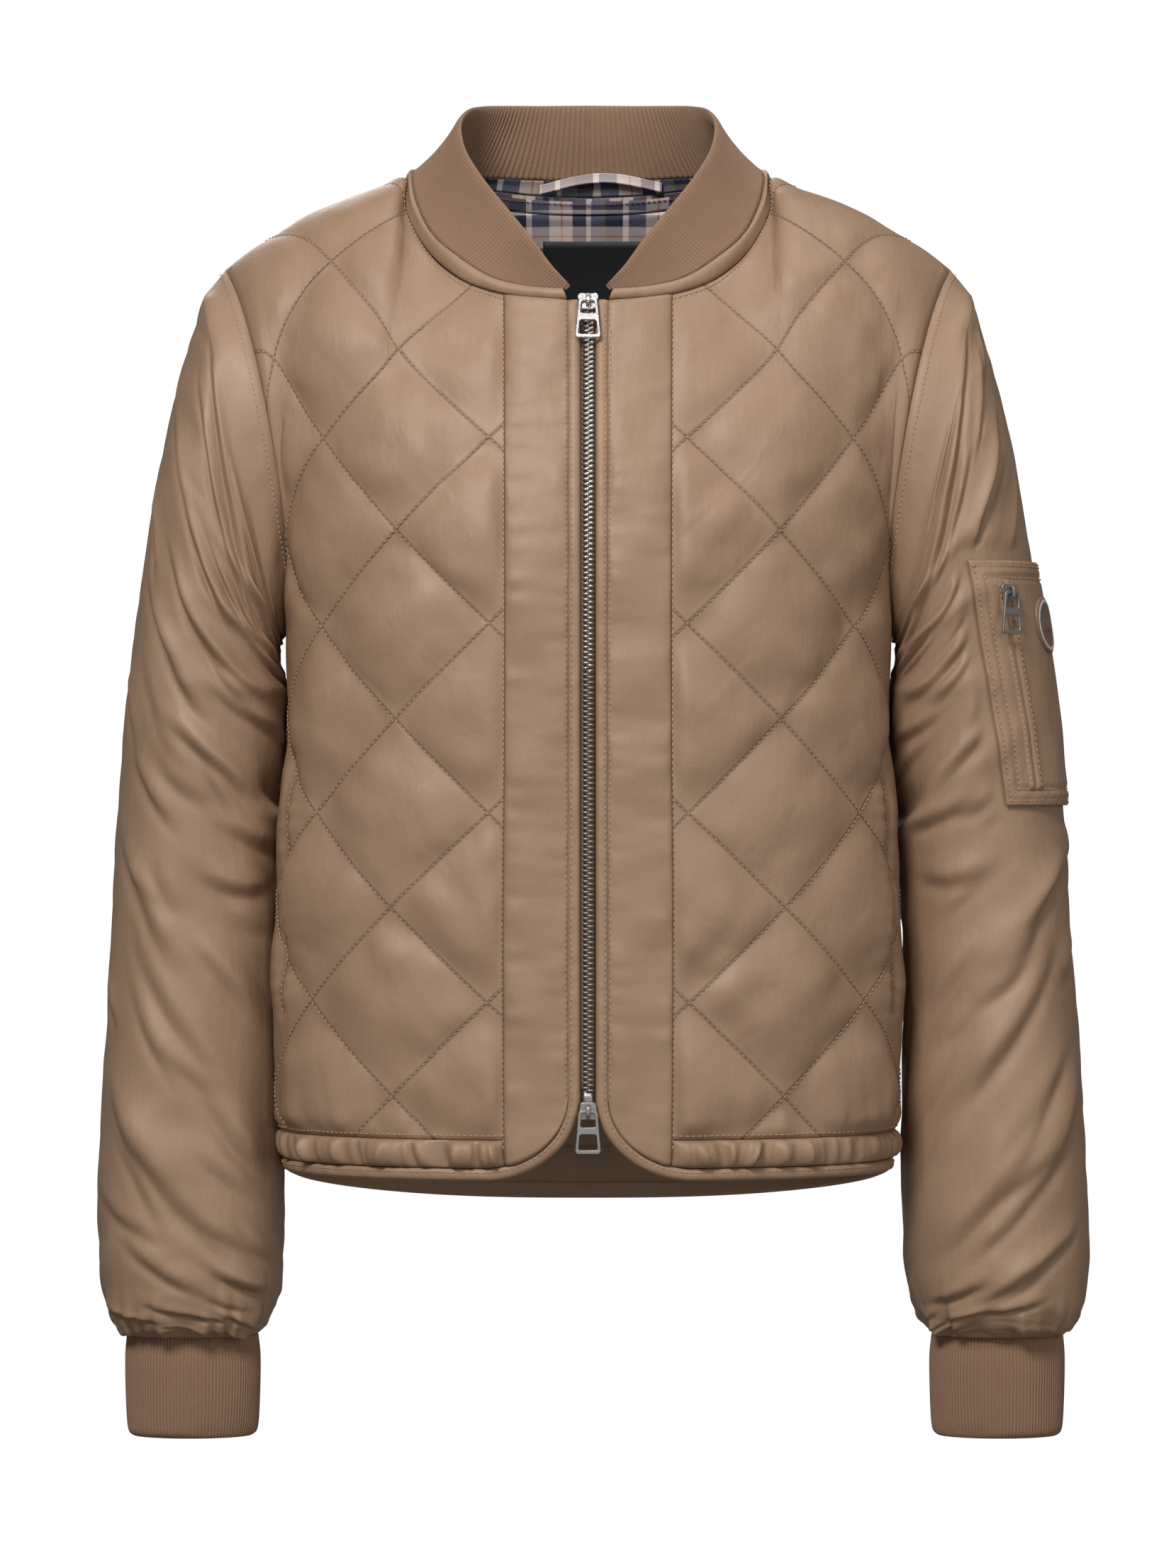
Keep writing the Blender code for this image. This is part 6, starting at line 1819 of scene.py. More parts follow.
# ================================================================ hardware
@dataclass
class Hardware:
    """The zip's teeth, pins, sliders and pull tabs, and the badge on the wearer's left sleeve."""

    looks: Looks
    sleeve: SleeveCloth
    teeth_half: float = 3.1  # half the chain's width
    zip_top_z: float = -80.0
    zip_end_z: float = -517.0
    badge_angle: float = 24.0  # degrees round the sleeve
    badge_z: float = -259.0
    pocket_slider_drop: float = 7.0  # below the welt's top
    plate_level: tuple[float, float] = (1.7, 3.5)  # levels are out of the cloth's outer face
    bail_foot: float = 3.2  # half the bail's length at the plate
    bail_top: float = 8.0
    pull_axis: float = 5.1  # the level that a pull turns at
    pull_length: float = 24.4
    pull_thick: float = 1.6
    pull_top_half: float = 5.2
    pull_foot_half: float = 7.3
    tape_level: tuple[float, float] = (-5.6, -4.7)
    pin_end_z: float = -533.0
    top_slider_z: float = -81.5
    bottom_slider_z: float = -528.5
    gunmetal_from_z: float = -285.0  # the teeth are darker from here down
    tooth_pitch: float = 2.9
    core_level: tuple[float, float] = (-4.2, -3.2)
    pin_level: tuple[float, float] = (-5.0, -1.6)
    pin_half: float = 2.6
    tooth_level: float = -1.9
    tooth_from_centre: float = 1.15

    @staticmethod
    def front_points(across: float, zs: Array, level: float) -> Array:
        """Points up the centre front, raised or sunk from the cloth's outer face."""
        ups = np.array([TORSO.up_at(across, z) for z in zs])
        out = TORSO.out(Face.FRONT, CENTRE, ups)
        return TORSO.column(Face.FRONT, across, ups) + out * level

    def front_frame(self, z: float, level: float) -> Matrix:
        """A placement on the centre front."""
        up = TORSO.up_at(0.0, z)
        out = unit(TORSO.out(Face.FRONT, CENTRE, np.array([up]))[0] * (0, 1, 1))
        origin = TORSO.point(Face.FRONT, 0.0, up) + out * level
        return local_frame(origin, np.array([1.0, 0.0, 0.0]), out)

    @staticmethod
    def rounded(outline: Sequence[tuple[float, float]], radius: float) -> list[tuple[float, float]]:
        """An outline with its corners rounded."""
        made = []
        count = len(outline)
        for k in range(count):
            before, here, after = (np.array(outline[(k + d) % count], float) for d in (-1, 0, 1))
            to, away = before - here, after - here
            cut = min(radius, np.linalg.norm(to) * 0.45, np.linalg.norm(away) * 0.45)
            start, end = here + unit(to) * cut, here + unit(away) * cut
            for t in np.linspace(0.0, 1.0, 5):
                point = start * (1 - t) ** 2 + here * 2 * t * (1 - t) + end * t**2
                made.append((float(point[0]), float(point[1])))
        return made

    @staticmethod
    def plate(
        name: str,
        outlines: Sequence[Sequence[tuple[float, float]]],
        low: float,
        high: float,
        bevel: float,
    ) -> bpy.types.Mesh:
        """A flat solid with soft edges from an outline and its windows.

        Args:
            name: The mesh's name.
            outlines: The outer outline, then its windows, in millimetres.
            low: Its underside.
            high: Its upper side.
            bevel: The soft edge's width.

        Returns:
            The mesh, about its own origin.
        """
        curve = bpy.data.curves.new(name, "CURVE")
        curve.dimensions = "2D"
        curve.fill_mode = "BOTH"
        curve.extrude = ((high - low) / 2 - bevel) * MM
        curve.bevel_depth = bevel * MM
        curve.bevel_resolution = 2
        curve.offset = -bevel * MM
        for outline in outlines:
            spline = curve.splines.new("POLY")
            spline.points.add(len(outline) - 1)
            for point, (x, y) in zip(spline.points, outline):
                point.co = (x * MM, y * MM, 0.0, 1.0)
            spline.use_cyclic_u = True
        thing = add_object(name, curve)
        mesh = evaluated_mesh(thing)
        bpy.data.objects.remove(thing)
        mesh.transform(Matrix.Translation((0.0, 0.0, (low + high) / 2 * MM)))
        return mesh

    @staticmethod
    def joined(name: str, meshes: Sequence[bpy.types.Mesh], frame: Matrix) -> bpy.types.Object:
        """Several meshes as one object, placed."""
        points, faces, count = [], [], 0
        for mesh in meshes:
            points += [tuple(frame @ v.co / MM) for v in mesh.vertices]
            faces += [[i + count for i in face.vertices] for face in mesh.polygons]
            count += len(mesh.vertices)
        thing = add_mesh(name, np.array(points), faces)
        thing.data.validate()
        marked = thing.data
        marked.polygons.foreach_set("use_smooth", np.ones(len(marked.polygons), bool))
        marked.set_sharp_from_angle(angle=math.radians(35.0))
        return thing

    def handed(self, thing: bpy.types.Object, node: str, body: str,
               look: bpy.types.Material) -> bpy.types.Object:
        """Gives a hard piece its finish and body."""
        thing.data.materials.clear()
        thing.data.materials.append(look)
        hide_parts(node)
        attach(thing, body)
        LOG.info("%s: %d faces", thing.name, len(thing.data.polygons))
        return thing

    def slider(self, name: str, node: str, frame: Matrix, inverted: bool, foot: float,
               look: bpy.types.Material) -> bpy.types.Object:
        """A slider: its shaped plate, the neck down to the teeth and the bail over it."""
        turn = -1 if inverted else 1
        outline = [(-4.2, -5.0), (4.2, -5.0), (4.7, -1.0), (6.2, 3.0), (4.6, 5.0), (0.0, 4.4),
                   (-4.6, 5.0), (-6.2, 3.0), (-4.7, -1.0)]
        outline = [(x, y * turn) for x, y in outline]
        low, high = self.plate_level
        plate = self.plate(name, [self.rounded(outline, 1.6)], low, high, 0.45)
        neck_outline = [(-2.2, -3.6), (2.2, -3.6), (2.2, 3.6), (-2.2, 3.6)]
        neck = self.plate(name, [self.rounded(neck_outline, 0.8)], foot, low + 0.4, 0.2)
        arch, faces = [], []
        steps = 22
        for k in range(steps + 1):
            a = math.pi * k / steps
            y = -self.bail_foot * math.copysign(abs(math.cos(a)) ** 0.6, math.cos(a))
            rise = math.sin(a) ** 0.55
            z = high - 0.5 + (self.bail_top - 0.65 - high + 0.5) * rise
            inward = unit(np.array([y * 0.9, z - high - 0.6]) + 1e-6)
            for x, depth in ((-1.2, 0.35), (-0.8, 0.65), (0.8, 0.65), (1.2, 0.35),
                             (1.2, -0.35), (0.8, -0.65), (-0.8, -0.65), (-1.2, -0.35)):
                arch.append((x, y + inward[0] * depth, z + inward[1] * depth))
        for k in range(steps):
            for j in range(8):
                a, b = k * 8 + j, k * 8 + (j + 1) % 8
                faces.append((a, a + 8, b + 8, b))
        faces += [tuple(range(8)), tuple(range(steps * 8, steps * 8 + 8))[::-1]]
        bail = bpy.data.meshes.new(name)
        bail.from_pydata((np.array(arch) * MM).tolist(), [], faces)
        self.face_outward(bail)
        thing = self.joined(name, [plate, neck, bail], frame)
        return self.handed(thing, node, "jacket", look)

    @staticmethod
    def face_outward(mesh: bpy.types.Mesh) -> None:
        """Turns a closed mesh's faces outward."""
        mesh.update()
        mesh.calc_loop_triangles()
        points = np.array([v.co[:] for v in mesh.vertices])
        triangles = np.array([t.vertices[:] for t in mesh.loop_triangles])
        if signed_volume(points, triangles) < 0:
            mesh.flip_normals()

    def pull(self, name: str, node: str, frame: Matrix, body: str,
             look: bpy.types.Material) -> bpy.types.Object:
        """A pull tab: a flat tapered frame with two windows, on its turning bar."""
        def half_at(y: float) -> float:
            """Its half width there."""
            wider = self.pull_foot_half - self.pull_top_half
            return self.pull_top_half + wider * (-y / self.pull_length)

        top, foot = 0.9, -self.pull_length + 1.0
        arm = 1.7

        def tapered(low: float, high: float, inset: float) -> list[tuple[float, float]]:
            """The tab's outline between two heights, drawn in at its sides."""
            wide, narrow = half_at(low) - inset, half_at(high) - inset
            return [(-wide, low), (wide, low), (narrow, high), (-narrow, high)]

        windows = [tapered(-8.6, -0.9, arm), tapered(-self.pull_length + 3.2, -12.6, arm)]
        outlines = [self.rounded(tapered(foot, top, 0.0), 2.4)]
        outlines += [self.rounded(window, 1.3)[::-1] for window in windows]
        plate = self.plate(name, outlines, -self.pull_thick / 2, self.pull_thick / 2, 0.4)
        return self.handed(self.joined(name, [plate], frame), node, body, look)

    def bar(self, name: str, node: str, half: float, levels: tuple[float, float], z_from: float,
            z_to: float, look: bpy.types.Material,
            centre: float = 0.0) -> bpy.types.Object:
        """A strip up the centre front, from one level below the cloth to another."""
        zs = spread(z_from, z_to, 5.0)
        columns_out, columns_in, flat = [], [], []
        for x in (-half, -half * 0.5, 0.0, half * 0.5, half):
            beside = (centre + x - CENTRE, 0, 0)
            columns_out.append(self.front_points(CENTRE, zs, levels[1]) + beside)
            columns_in.append(self.front_points(CENTRE, zs, levels[0]) + beside)
            flat.append(np.column_stack([0 * zs + x, zs]))
        wall = Wall(np.array(columns_out), np.array(columns_in), np.array(flat))
        thing = wall.build(name, [look])
        return self.handed(thing, node, "jacket", look)

    def badge_disc(self) -> bpy.types.Object:
        """The sleeve's round badge: a raised pale ring round a plain disc with a bar."""
        rim = [11.2, 11.8, 12.6, 13.6, 14.6, 15.3, 15.8, 16.0]
        radii = np.concatenate([[0.0], np.linspace(2.0, 10.5, 7), rim])
        turns = np.arange(64) * 2 * math.pi / 64
        ring = np.clip(1 - ((radii - 13.6) / 1.2) ** 2, 0.0, 1.0) ** 0.5
        x, y = np.outer(np.cos(turns), radii), np.outer(np.sin(turns), radii)
        angle, z = self.badge_angle - np.degrees(x / SLEEVE_RADIUS), self.badge_z + y
        barred = 0.7 * ((np.abs(y) < 3.0) & (np.abs(x) < 8.0))
        level = WELT_FLOOR + 2.0 + 0.8 * ring - 0.8 * (radii > 15.9) + barred
        outer = self.sleeve.place(angle, z, level)
        inner = self.sleeve.place(angle, z, WELT_FLOOR + 0.1)
        flat = np.stack([x, y], axis=-1)
        looks = [self.looks.badge, self.looks.badge_ring]
        thing = Wall(outer, inner, flat, wrap=True).build("round_badge", looks)
        middle = np.zeros(len(thing.data.polygons), np.int32)
        for k, face in enumerate(thing.data.polygons):
            place = [i % (64 * len(radii)) % len(radii) for i in face.vertices]
            middle[k] = 1 if 10.3 <= sum(place) / len(place) <= 11.7 else 0
        thing.data.polygons.foreach_set("material_index", middle)
        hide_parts("badge")
        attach(thing, "jacket")
        LOG.info("round_badge: %d faces", len(thing.data.polygons))
        return thing

    def zip_chain(self, stitcher: Stitcher) -> None:
        """The teeth, in two finishes, on a core strip, with the tapes beside them."""
        start = self.zip_top_z - 1.0
        end = self.zip_end_z
        self.bar("zip_core", "zip_teeth", EDGE - 0.3, self.core_level, start, end,
                 self.looks.dark)
        low, high = self.teeth_half + GAP, EDGE + BINDING
        for side in Side:
            name, node = f"woven_tape_{side.word}", f"zip_tape_{side.word}"
            self.bar(name, node, (high - low) / 2, self.tape_level, start, end,
                     self.looks.tape, centre=side.value * (high + low) / 2)
        tooth = self.tooth()
        for word, high, low, look in (
            ("upper", self.zip_top_z - 3.0, self.gunmetal_from_z, self.looks.silver),
            ("lower", self.gunmetal_from_z - 0.6, self.zip_end_z + 1.0, self.looks.gunmetal),
        ):
            lines = []
            for side in Side:
                shift = self.tooth_pitch / 2 if side is Side.LEFT else 0.0
                zs = spread(high - shift, low - shift, 4.0)
                beside = (side.value * self.tooth_from_centre, 0.0, 0.0)
                lines.append(self.front_points(CENTRE, zs, self.tooth_level) + beside)
            name = f"zip_teeth_{word}"
            stitcher.sew(name, lines, tooth, self.tooth_pitch, 1.08, 5, look, "zip_metal")
        bpy.data.objects.remove(tooth)

    @staticmethod
    def tooth() -> bpy.types.Object:
        """One tooth: x runs up the zip, y out of the cloth, z across."""
        half = 1.95
        foot, top = -1.15, 0.7
        outline = ((-half, foot), (half, foot), (half, top), (1.3, 1.2), (-1.3, 1.2), (-half, top))
        points = [(x, y, z) for x in (-0.62, 0.62) for z, y in outline]
        points = [(x * (1.0 if y < 1 else 0.75), y, z) for x, y, z in points]
        faces = [tuple(range(6)), tuple(range(6, 12))[::-1]]
        faces += [(k, k + 6, (k + 1) % 6 + 6, (k + 1) % 6) for k in range(6)]
        thing = add_mesh("tooth", np.array(points), faces)
        Hardware.face_outward(thing.data)
        return thing

    def add(self, stitcher: Stitcher) -> None:
        """Builds every hard piece."""
        look = self.looks
        self.zip_chain(stitcher)
        self.bar("end_pins", "zip_end_pins", self.pin_half, self.pin_level,
                 self.zip_end_z - GAP, self.pin_end_z, look.gunmetal)
        foot = self.pin_level[1] + GAP
        for word, z, inverted, slot_name, finish in (
            ("top", self.top_slider_z, False, "zip_metal", look.silver),
            ("bottom", self.bottom_slider_z, True, "gunmetal", look.gunmetal),
        ):
            name, node, frame = f"{word}_slider", f"slider_{word}", self.front_frame(z, 0.0)
            self.slider(name, node, frame, inverted, foot, finish)
            frame, body = self.front_frame(z, self.pull_axis), f"pull_{word}"
            self.pull(f"{body}_tab", body, frame, body, finish)
        slider_z = WELT_TOP_Z - self.pocket_slider_drop
        level = WELT_FLOOR + WELT_THICK
        angle = welt_angle(slider_z)
        frame = self.sleeve.frame(angle, slider_z, level)
        self.slider("pocket_slider", "slider_sleeve", frame, False, GAP, look.gunmetal)
        frame = self.sleeve.frame(angle, slider_z, level + self.pull_axis)
        self.pull("pull_sleeve_tab", "pull_sleeve", frame, "pull_sleeve", look.gunmetal)
        self.badge_disc()


# ================================================================ finishes
@dataclass(eq=False)
class Value:
    """A socket in a material's node tree, with the arithmetic of its own."""

    graph: Graph
    source: Any

    def maths(self, operation: str, *others: Any, swap: bool = False) -> Value:
        """One maths node on this value and others."""
        values = [self.source] + [o.source if isinstance(o, Value) else o for o in others]
        if swap:
            values.reverse()
        made = self.graph.node("ShaderNodeMath", {"operation": operation})
        for k, value in enumerate(values):
            self.graph.put(made.inputs[k], value)
        return Value(self.graph, made.outputs[0])

    def __add__(self, other: Any) -> Value:
        """This plus another."""
        return self.maths("ADD", other)

    def __radd__(self, other: Any) -> Value:
        """Another plus this."""
        return self.maths("ADD", other)

    def __sub__(self, other: Any) -> Value:
        """This less another."""
        return self.maths("SUBTRACT", other)

    def __rsub__(self, other: Any) -> Value:
        """Another less this."""
        return self.maths("SUBTRACT", other, swap=True)

    def __mul__(self, other: Any) -> Value:
        """This times another."""
        return self.maths("MULTIPLY", other)

    def __rmul__(self, other: Any) -> Value:
        """Another times this."""
        return self.maths("MULTIPLY", other)

    def __truediv__(self, other: Any) -> Value:
        """This over another."""
        return self.maths("DIVIDE", other)

    def __gt__(self, other: Any) -> Value:
        """1 where this is greater."""
        return self.maths("GREATER_THAN", other)

    def __lt__(self, other: Any) -> Value:
        """1 where this is less."""
        return self.maths("LESS_THAN", other)

    def fraction(self) -> Value:
        """The part after the point."""
        return self.maths("FRACT")

    def sine(self) -> Value:
        """The sine of an angle in radians."""
        return self.maths("SINE")

    def within(self, low: float, high: float) -> Value:
        """1 between two bounds."""
        return (self > low) * (self < high)


class Graph:
    """A material's node tree, started with its surface shader."""

    def __init__(
        self, name: str, colour: Sequence[float], roughness: float, metallic: float = 0.0
    ) -> None:
        """Starts the material with its constants.

        Args:
            name: The material's name.
            colour: Linear red, green and blue.
            roughness: Its roughness.
            metallic: 1 for bare metal.
        """
        self.material = bpy.data.materials.new(name)
        self.material.use_nodes = True
        self.tree = self.material.node_tree
        self.surface = next(n for n in self.tree.nodes if n.type == "BSDF_PRINCIPLED")
        self.surface.inputs["Base Color"].default_value = (*colour, 1.0)
        self.surface.inputs["Roughness"].default_value = roughness
        self.surface.inputs["Metallic"].default_value = metallic
        self.material.diffuse_color = (*colour, 1.0)

    def node(
        self, kind: str, settings: dict[str, Any] | None = None, **inputs: Any
    ) -> bpy.types.Node:
        """Adds a node: its type, its settings first, and then its inputs."""
        made = self.tree.nodes.new(kind)
        for name, value in (settings or {}).items():
            setattr(made, name, value)
        for name, value in inputs.items():
            self.put(made.inputs[name.replace("_", " ")], value)
        return made

    def put(self, socket: Any, value: Any) -> None:
        """Links or sets one input."""
        value = value.source if isinstance(value, Value) else value
        if isinstance(value, bpy.types.NodeSocket):
            self.tree.links.new(value, socket)
        else:
            socket.default_value = value

    def cloth_place(self) -> tuple[Value, Value, Any]:
        """The flat cloth's two coordinates in millimetres, and their vector in metres."""
        mapped = self.node("ShaderNodeUVMap", {"uv_map": "cloth"})
        parts = self.node("ShaderNodeSeparateXYZ", Vector=mapped.outputs[0])
        across = Value(self, parts.outputs[0]) * 1000.0
        return across, Value(self, parts.outputs[1]) * 1000.0, mapped.outputs[0]

    def seam(self) -> Value:
        """How near a place is to a line of stitching or a rib's valley, from 0 to 1: the mask of
        painted shade.
        """
        marked = self.node("ShaderNodeAttribute", {"attribute_name": "seam"})
        return Value(self, marked.outputs["Fac"])

    def noise(self, vector: Any, scale: float, detail: float = 2.0) -> Value:
        """Noise of one scale."""
        made = self.node("ShaderNodeTexNoise", Vector=vector, Scale=scale, Detail=detail)
        return Value(self, made.outputs["Fac"])

    def blend(self, factor: Any, first: Any, second: Any) -> Any:
        """A mix of two colours."""
        made = self.node("ShaderNodeMix", {"data_type": "RGBA", "clamp_factor": True})
        self.put(made.inputs["Factor"], factor)
        self.put(made.inputs[6], first)
        self.put(made.inputs[7], second)
        return made.outputs[2]

    def relief(self, height: Value, depth: float, strength: float = 1.0) -> None:
        """Bumps the surface by a height field; depth in millimetres."""
        made = self.node("ShaderNodeBump", Height=height, Distance=depth * MM, Strength=strength)
        self.put(self.surface.inputs["Normal"], made.outputs[0])

    def colour(self, source: Any) -> None:
        """Feeds the base colour."""
        self.put(self.surface.inputs["Base Color"], source)


@dataclass(frozen=True)
class Satin:
    """The shell: a dense satin with a soft sheen and fine crumples.

    Attributes:
        colour: Its own colour.
        deep: The colour of its thinner places.
        seam: The painted shade's colour, which the satin is darkened towards along drawn seams and
            stitch lines.
    """

    colour: tuple[float, float, float] = (0.330, 0.212, 0.136)
    deep: tuple[float, float, float] = (0.280, 0.175, 0.108)
    seam: tuple[float, float, float] = (0.120, 0.066, 0.038)

    @staticmethod
    def quilted_line(across: Value, up: Value) -> Value:
        """1 on the diagonal lines of stitching, fading to 0 a little way beside them; the mask of
        the painted shade and the shallow dip along the lines.
        """
        side = (across - (across > 400.0) * BACK_AWAY).maths("ABSOLUTE") / QUILT_ACROSS
        height = (up + (UNDERARM_Z - QUILT_CROSSING_Z)) / QUILT_UP
        gaps = []
        for share in ((side + height - 1.0) / 2.0, (side - height - 1.0) / 2.0):
            gaps.append((share - (share + 0.5).maths("FLOOR")).maths("ABSOLUTE"))
        nearest = gaps[0].maths("MINIMUM", gaps[1]) * (2 / Quilting.SLOPE / 1.4)
        return (1.0 - nearest).maths("MAXIMUM", 0.0)

    def make(self, quilted: bool = False) -> bpy.types.Material:
        """Builds the material, with or without the quilting's lines."""
        graph = Graph("satin_quilted" if quilted else "satin_shell", self.colour, 0.43)
        across, up, place = graph.cloth_place()
        cloudy = graph.noise(place, 22.0, 3.0)
        satin = graph.blend((cloudy - 0.35) * 1.6, (*self.deep, 1.0), (*self.colour, 1.0))
        # Mask of painted shade along seams and stitch lines, and along the quilting's lines when
        # quilted; it also sinks the bump there.
        near = graph.seam()
        if quilted:
            near = near.maths("MAXIMUM", self.quilted_line(across, up))
        # Painted shade: the colour darkens towards the seam colour along those lines.
        graph.colour(graph.blend(near * 0.75, satin, (*self.seam, 1.0)))
        graph.put(graph.surface.inputs["Roughness"], 0.47 + graph.noise(place, 60.0) * 0.14)
        weave = (across * 9.0 + up * 4.0).sine() * 0.12
        stretch, turn = (2.6, 1.0, 1.0), (0.0, 0.0, 0.35)
        drawn = graph.node("ShaderNodeMapping", Vector=place, Scale=stretch, Rotation=turn)
        crumple = graph.noise(drawn.outputs[0], 62.0, 4.0)
        fine = graph.noise(place, 320.0, 2.0)
        graph.relief(crumple * 0.45 + fine * 0.12 + weave * 0.08 - near * 0.35, 1.5, 0.62)
        graph.surface.inputs["Specular IOR Level"].default_value = 0.55
        graph.surface.inputs["Specular Tint"].default_value = (1.0, 0.88, 0.78, 1.0)
        return graph.material


@dataclass(frozen=True)
class Check:
    """The lining: a woven check of crossing stripes.

    Attributes:
        repeat: The size of one repeat in millimetres.
    """

    repeat: float = 58.0
    stripes: tuple[tuple[float, float, tuple[float, float, float]], ...] = (
        # from and to as shares of the repeat, and the stripe's colour
        (0.00, 0.18, (0.014, 0.015, 0.036)),
        (0.18, 0.24, (0.80, 0.68, 0.66)),
        (0.24, 0.42, (0.090, 0.098, 0.165)),
        (0.42, 0.54, (0.74, 0.60, 0.55)),
        (0.54, 0.56, (0.62, 0.27, 0.14)),
        (0.56, 0.66, (0.74, 0.60, 0.55)),
        (0.66, 0.80, (0.030, 0.032, 0.070)),
        (0.80, 0.85, (0.78, 0.66, 0.62)),
        (0.85, 0.96, (0.105, 0.112, 0.18)),
        (0.96, 1.00, (0.12, 0.12, 0.06)),
    )

    def make(self) -> bpy.types.Material:
        """Builds the material."""
        graph = Graph("checked_lining", (0.3, 0.3, 0.33), 0.62)
        across, up, place = graph.cloth_place()
        ways = []
        for coordinate, shift in ((across, 0.13), (up, 0.41)):
            share = (coordinate / self.repeat + 20.0 + shift).fraction()
            colour: Any = (*self.stripes[0][2], 1.0)
            for low, high, own in self.stripes[1:]:
                colour = graph.blend(share.within(low, high), colour, (*own, 1.0))
            ways.append(colour)
        twill = ((across + up) * 6.5).sine() * 0.5 + 0.5
        graph.colour(graph.blend(twill * 0.24 + 0.38, ways[0], ways[1]))
        graph.relief(((across + up) * 6.5).sine() * 0.1 + graph.noise(place, 60.0, 3.0), 1.2, 0.6)
        return graph.material


@dataclass(frozen=True)
class Knit:
    """The rib knit: matt wool with a fine stitch along each rib, and painted shade in the valleys
    between the ribs.
    """

    colour: tuple[float, float, float] = (0.272, 0.156, 0.092)

    def make(self) -> bpy.types.Material:
        """Builds the material."""
        graph = Graph("rib_knit", self.colour, 0.9)
        across, up, place = graph.cloth_place()
        loops = (up * 5.2 + across * 0.7).sine() * 0.5 + 0.5
        rib_valley_shade = graph.seam()
        fuzz = graph.noise(place, 700.0, 2.0)
        shade = graph.noise(place, 40.0, 3.0)
        dark = tuple(c * 0.62 for c in self.colour)
        # Painted shade darkens the rib valleys; the loops, the fuzz and the mottling noise named
        # shade are the knit's own tone.
        tone_and_rib_shade = loops * 0.2 + fuzz * 0.4 + shade * 0.4 + 0.35 - rib_valley_shade * 0.55
        graph.colour(graph.blend(tone_and_rib_shade, (*dark, 1.0), (*self.colour, 1.0)))
        graph.relief(loops * 0.3 + fuzz * 0.6, 0.35, 0.6)
        graph.surface.inputs["Sheen Weight"].default_value = 0.08
        graph.surface.inputs["Sheen Roughness"].default_value = 0.6
        return graph.material


@dataclass(frozen=True)
class Plain:
    """A plain finish with a little unevenness in its colour and surface."""

    name: str
    colour: tuple[float, float, float]
    roughness: float
    metallic: float = 0.0
    grain: float = 400.0
    depth: float = 0.05

    def make(self) -> bpy.types.Material:
        """Builds the material."""
        graph = Graph(self.name, self.colour, self.roughness, self.metallic)
        place = graph.node("ShaderNodeTexCoord").outputs["Object"]
        grain = graph.noise(place, self.grain, 3.0)
        dark = tuple(c * 0.8 for c in self.colour)
        graph.colour(graph.blend(grain, (*dark, 1.0), (*self.colour, 1.0)))
        graph.put(graph.surface.inputs["Roughness"], grain * 0.12 + (self.roughness - 0.06))
        graph.relief(grain, self.depth, 0.6)
        return graph.material


def make_looks() -> Looks:
    """Makes every finish."""
    return Looks(
        shell=Satin().make(),
        quilted=Satin().make(quilted=True),
        lining=Check().make(),
        knit=Knit().make(),
        tape=Plain("woven_tape", (0.29, 0.185, 0.12), 0.8, grain=900.0, depth=0.2).make(),
        thread=Plain("thread", (0.46, 0.315, 0.225), 0.6).make(),
        red_thread=Plain("red_thread", (0.42, 0.035, 0.04), 0.6).make(),
        silver=Plain("bright_metal", (0.62, 0.615, 0.60), 0.26, 0.95, 700.0, 0.02).make(),
        gunmetal=Plain("gunmetal", (0.30, 0.285, 0.27), 0.36, 0.7, 700.0, 0.02).make(),
        label=Plain("label_weave", (0.010, 0.010, 0.012), 0.62, grain=900.0, depth=0.15).make(),
        badge=Plain("badge_disc", (0.20, 0.122, 0.075), 0.5, grain=500.0, depth=0.1).make(),
        badge_ring=Plain("badge_ring", (0.62, 0.56, 0.50), 0.4, grain=500.0, depth=0.1).make(),
        dark=Plain("zip_core", (0.27, 0.17, 0.11), 0.75).make(),
    )


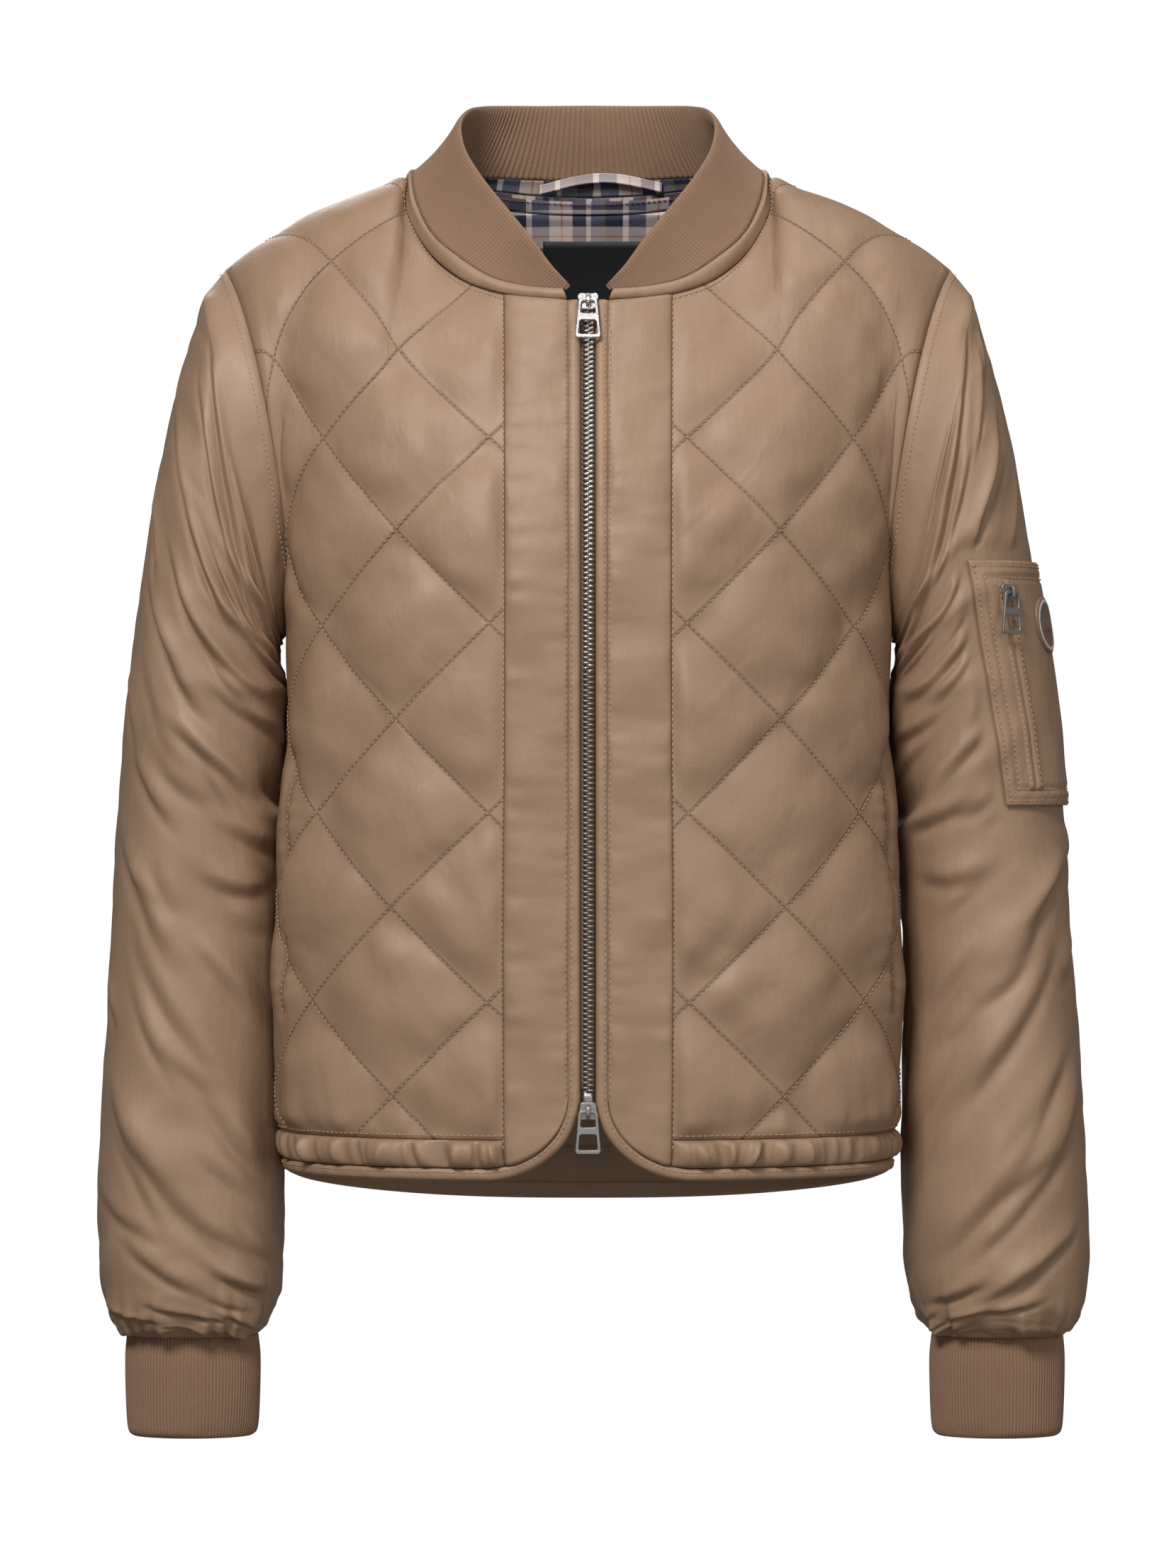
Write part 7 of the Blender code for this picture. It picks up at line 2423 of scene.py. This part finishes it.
# ================================================================ studio
@dataclass(frozen=True)
class Studio:
    """A plain white cyclorama, soft lights and the photo's camera; lengths are in metres.

    Attributes:
        floor_z: Height of the floor.
        floor_radius: Where the floor starts to curve up.
        curve: Radius of that curve.
        top: Height of the wall's edge.
        sides: Sides of the round.
        camera: The camera's place; it looks along +Y.
        film: Height of its film in millimetres, for the photo's height of view.
        view: Height of its view at the jacket.
    """

    floor_z: float = -0.86
    floor_radius: float = 6.0
    curve: float = 1.2
    top: float = 6.0
    sides: int = 96
    camera: tuple[float, float, float] = (0.0, -3.2, -0.3487)
    film: float = 24.0
    view: float = 0.8959
    LIGHTS = (
        # name, place, height it aims at, width and height, power
        ("key", (-0.85, -2.6, 1.6), -0.36, (0.9, 0.9), 94.0),
        ("fill", (1.7, -2.5, 0.2), -0.38, (1.0, 1.6), 20.0),
        ("low", (0.0, -2.4, -0.72), -0.5, (1.2, 0.2), 3.5),
        ("rim", (-0.6, 2.7, 1.3), -0.3, (1.2, 1.2), 30.0),
        ("top", (0.5, -0.1, 2.1), -0.3, (1.2, 0.8), 16.0),
    )

    def backdrop(self) -> None:
        """A round floor that curves up into a wall all round, both white."""
        profile = [(2.0, self.floor_z), (self.floor_radius, self.floor_z)]
        for a in np.linspace(0.1, math.pi / 2, 16):
            up = self.floor_z + self.curve * (1 - math.cos(a))
            profile.append((self.floor_radius + self.curve * math.sin(a), up))
        profile.append((self.floor_radius + self.curve, self.top))
        count = self.sides
        turns = np.arange(count) * 2 * math.pi / count
        points = [(r * math.cos(t), r * math.sin(t), z) for r, z in profile for t in turns]
        faces = [tuple(range(count))]
        for low in range(0, (len(profile) - 1) * count, count):
            for n in range(count):
                after = (n + 1) % count
                faces.append((low + count + n, low + count + after, low + after, low + n))
        wall = add_mesh("cyclorama", np.array(points) / MM, faces)
        wall.data.polygons.foreach_set("use_smooth", np.ones(len(faces), bool))
        paper = Graph("white_paper", (0.0, 0.0, 0.0), 1.0)
        paper.surface.inputs["Specular IOR Level"].default_value = 0.0
        paper.surface.inputs["Emission Color"].default_value = (1.0, 1.0, 1.0, 1.0)
        paper.surface.inputs["Emission Strength"].default_value = 1.02
        wall.data.materials.append(paper.material)
        wall.visible_diffuse = wall.visible_glossy = False

    def lights(self) -> None:
        """The soft rectangular lights."""
        for name, place, aim_z, size, power in self.LIGHTS:
            data = bpy.data.lights.new(name, "AREA")
            data.shape = "RECTANGLE"
            data.size, data.size_y = size
            data.energy = power
            lamp = add_object(name, data)
            lamp.location = place
            aim = Vector((0.0, 0.0, aim_z)) - Vector(place)
            lamp.rotation_euler = aim.to_track_quat("-Z", "Y").to_euler()

    def set_up(self) -> None:
        """Adds the backdrop, the lights and the camera."""
        scene = bpy.context.scene
        world = bpy.data.worlds.new("studio")
        world.use_nodes = True
        background = world.node_tree.nodes["Background"].inputs
        background[0].default_value, background[1].default_value = (1.0, 0.95, 0.91, 1.0), 0.17
        scene.world = world
        scene.view_settings.view_transform = "Standard"
        scene.view_settings.look = "None"
        self.backdrop()
        self.lights()
        data = bpy.data.cameras.new("photo")
        data.sensor_fit, data.sensor_height, data.sensor_width = "VERTICAL", self.film, 18.0
        data.lens = self.film * -self.camera[1] / self.view
        data.clip_end = 50.0
        camera = add_object("photo", data)
        camera.location = self.camera
        camera.rotation_euler = (math.pi / 2, 0.0, 0.0)
        scene.camera = camera


def build_jacket(looks: Looks) -> None:
    """Builds every piece of the jacket."""
    torso, sleeves, neck = TorsoPieces(looks), SleevePieces(looks), NeckPieces(looks)
    pieces = torso.panels() + torso.bands() + torso.bindings()
    pieces += torso.tunnels() + torso.inside_back()
    pieces += sleeves.tubes() + sleeves.cuffs() + [sleeves.patch(), sleeves.welt()]
    pieces += [neck.collar(), neck.piping(), neck.label(), neck.loop()]
    walls = {piece.name: piece.wall for piece in pieces}
    for piece in pieces:
        piece.add()
    seams, stitcher = Seams(torso, sleeves), Stitcher()
    stitch = stitch_bar(2.5, 0.9, 0.7)
    for name, lines, spacing, look, seed in (
        ("quilting_front", seams.quilted(Face.FRONT), 3.5, looks.thread, 1),
        ("quilting_back", seams.quilted(Face.BACK), 3.5, looks.thread, 2),
        ("topstitching_torso", seams.panel_edges() + seams.edges(walls), 3.4, looks.thread, 3),
        ("topstitching_sleeves", seams.armholes() + seams.patch(), 3.2, looks.thread, 4),
        ("red_stitching", seams.red(), 3.2, looks.red_thread, 5),
    ):
        stitcher.sew(name, lines, stitch, spacing, 0.9, seed, look, "shell")
    bpy.data.objects.remove(stitch)
    Hardware(looks, sleeves.cloth[Side.LEFT]).add(stitcher)


def main() -> None:
    """Loads the frame, builds the jacket and its studio, and finishes."""
    logging.basicConfig(level=logging.INFO, format="%(message)s")
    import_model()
    build_jacket(make_looks())
    Studio().set_up()


if __name__ == "__main__":
    main()
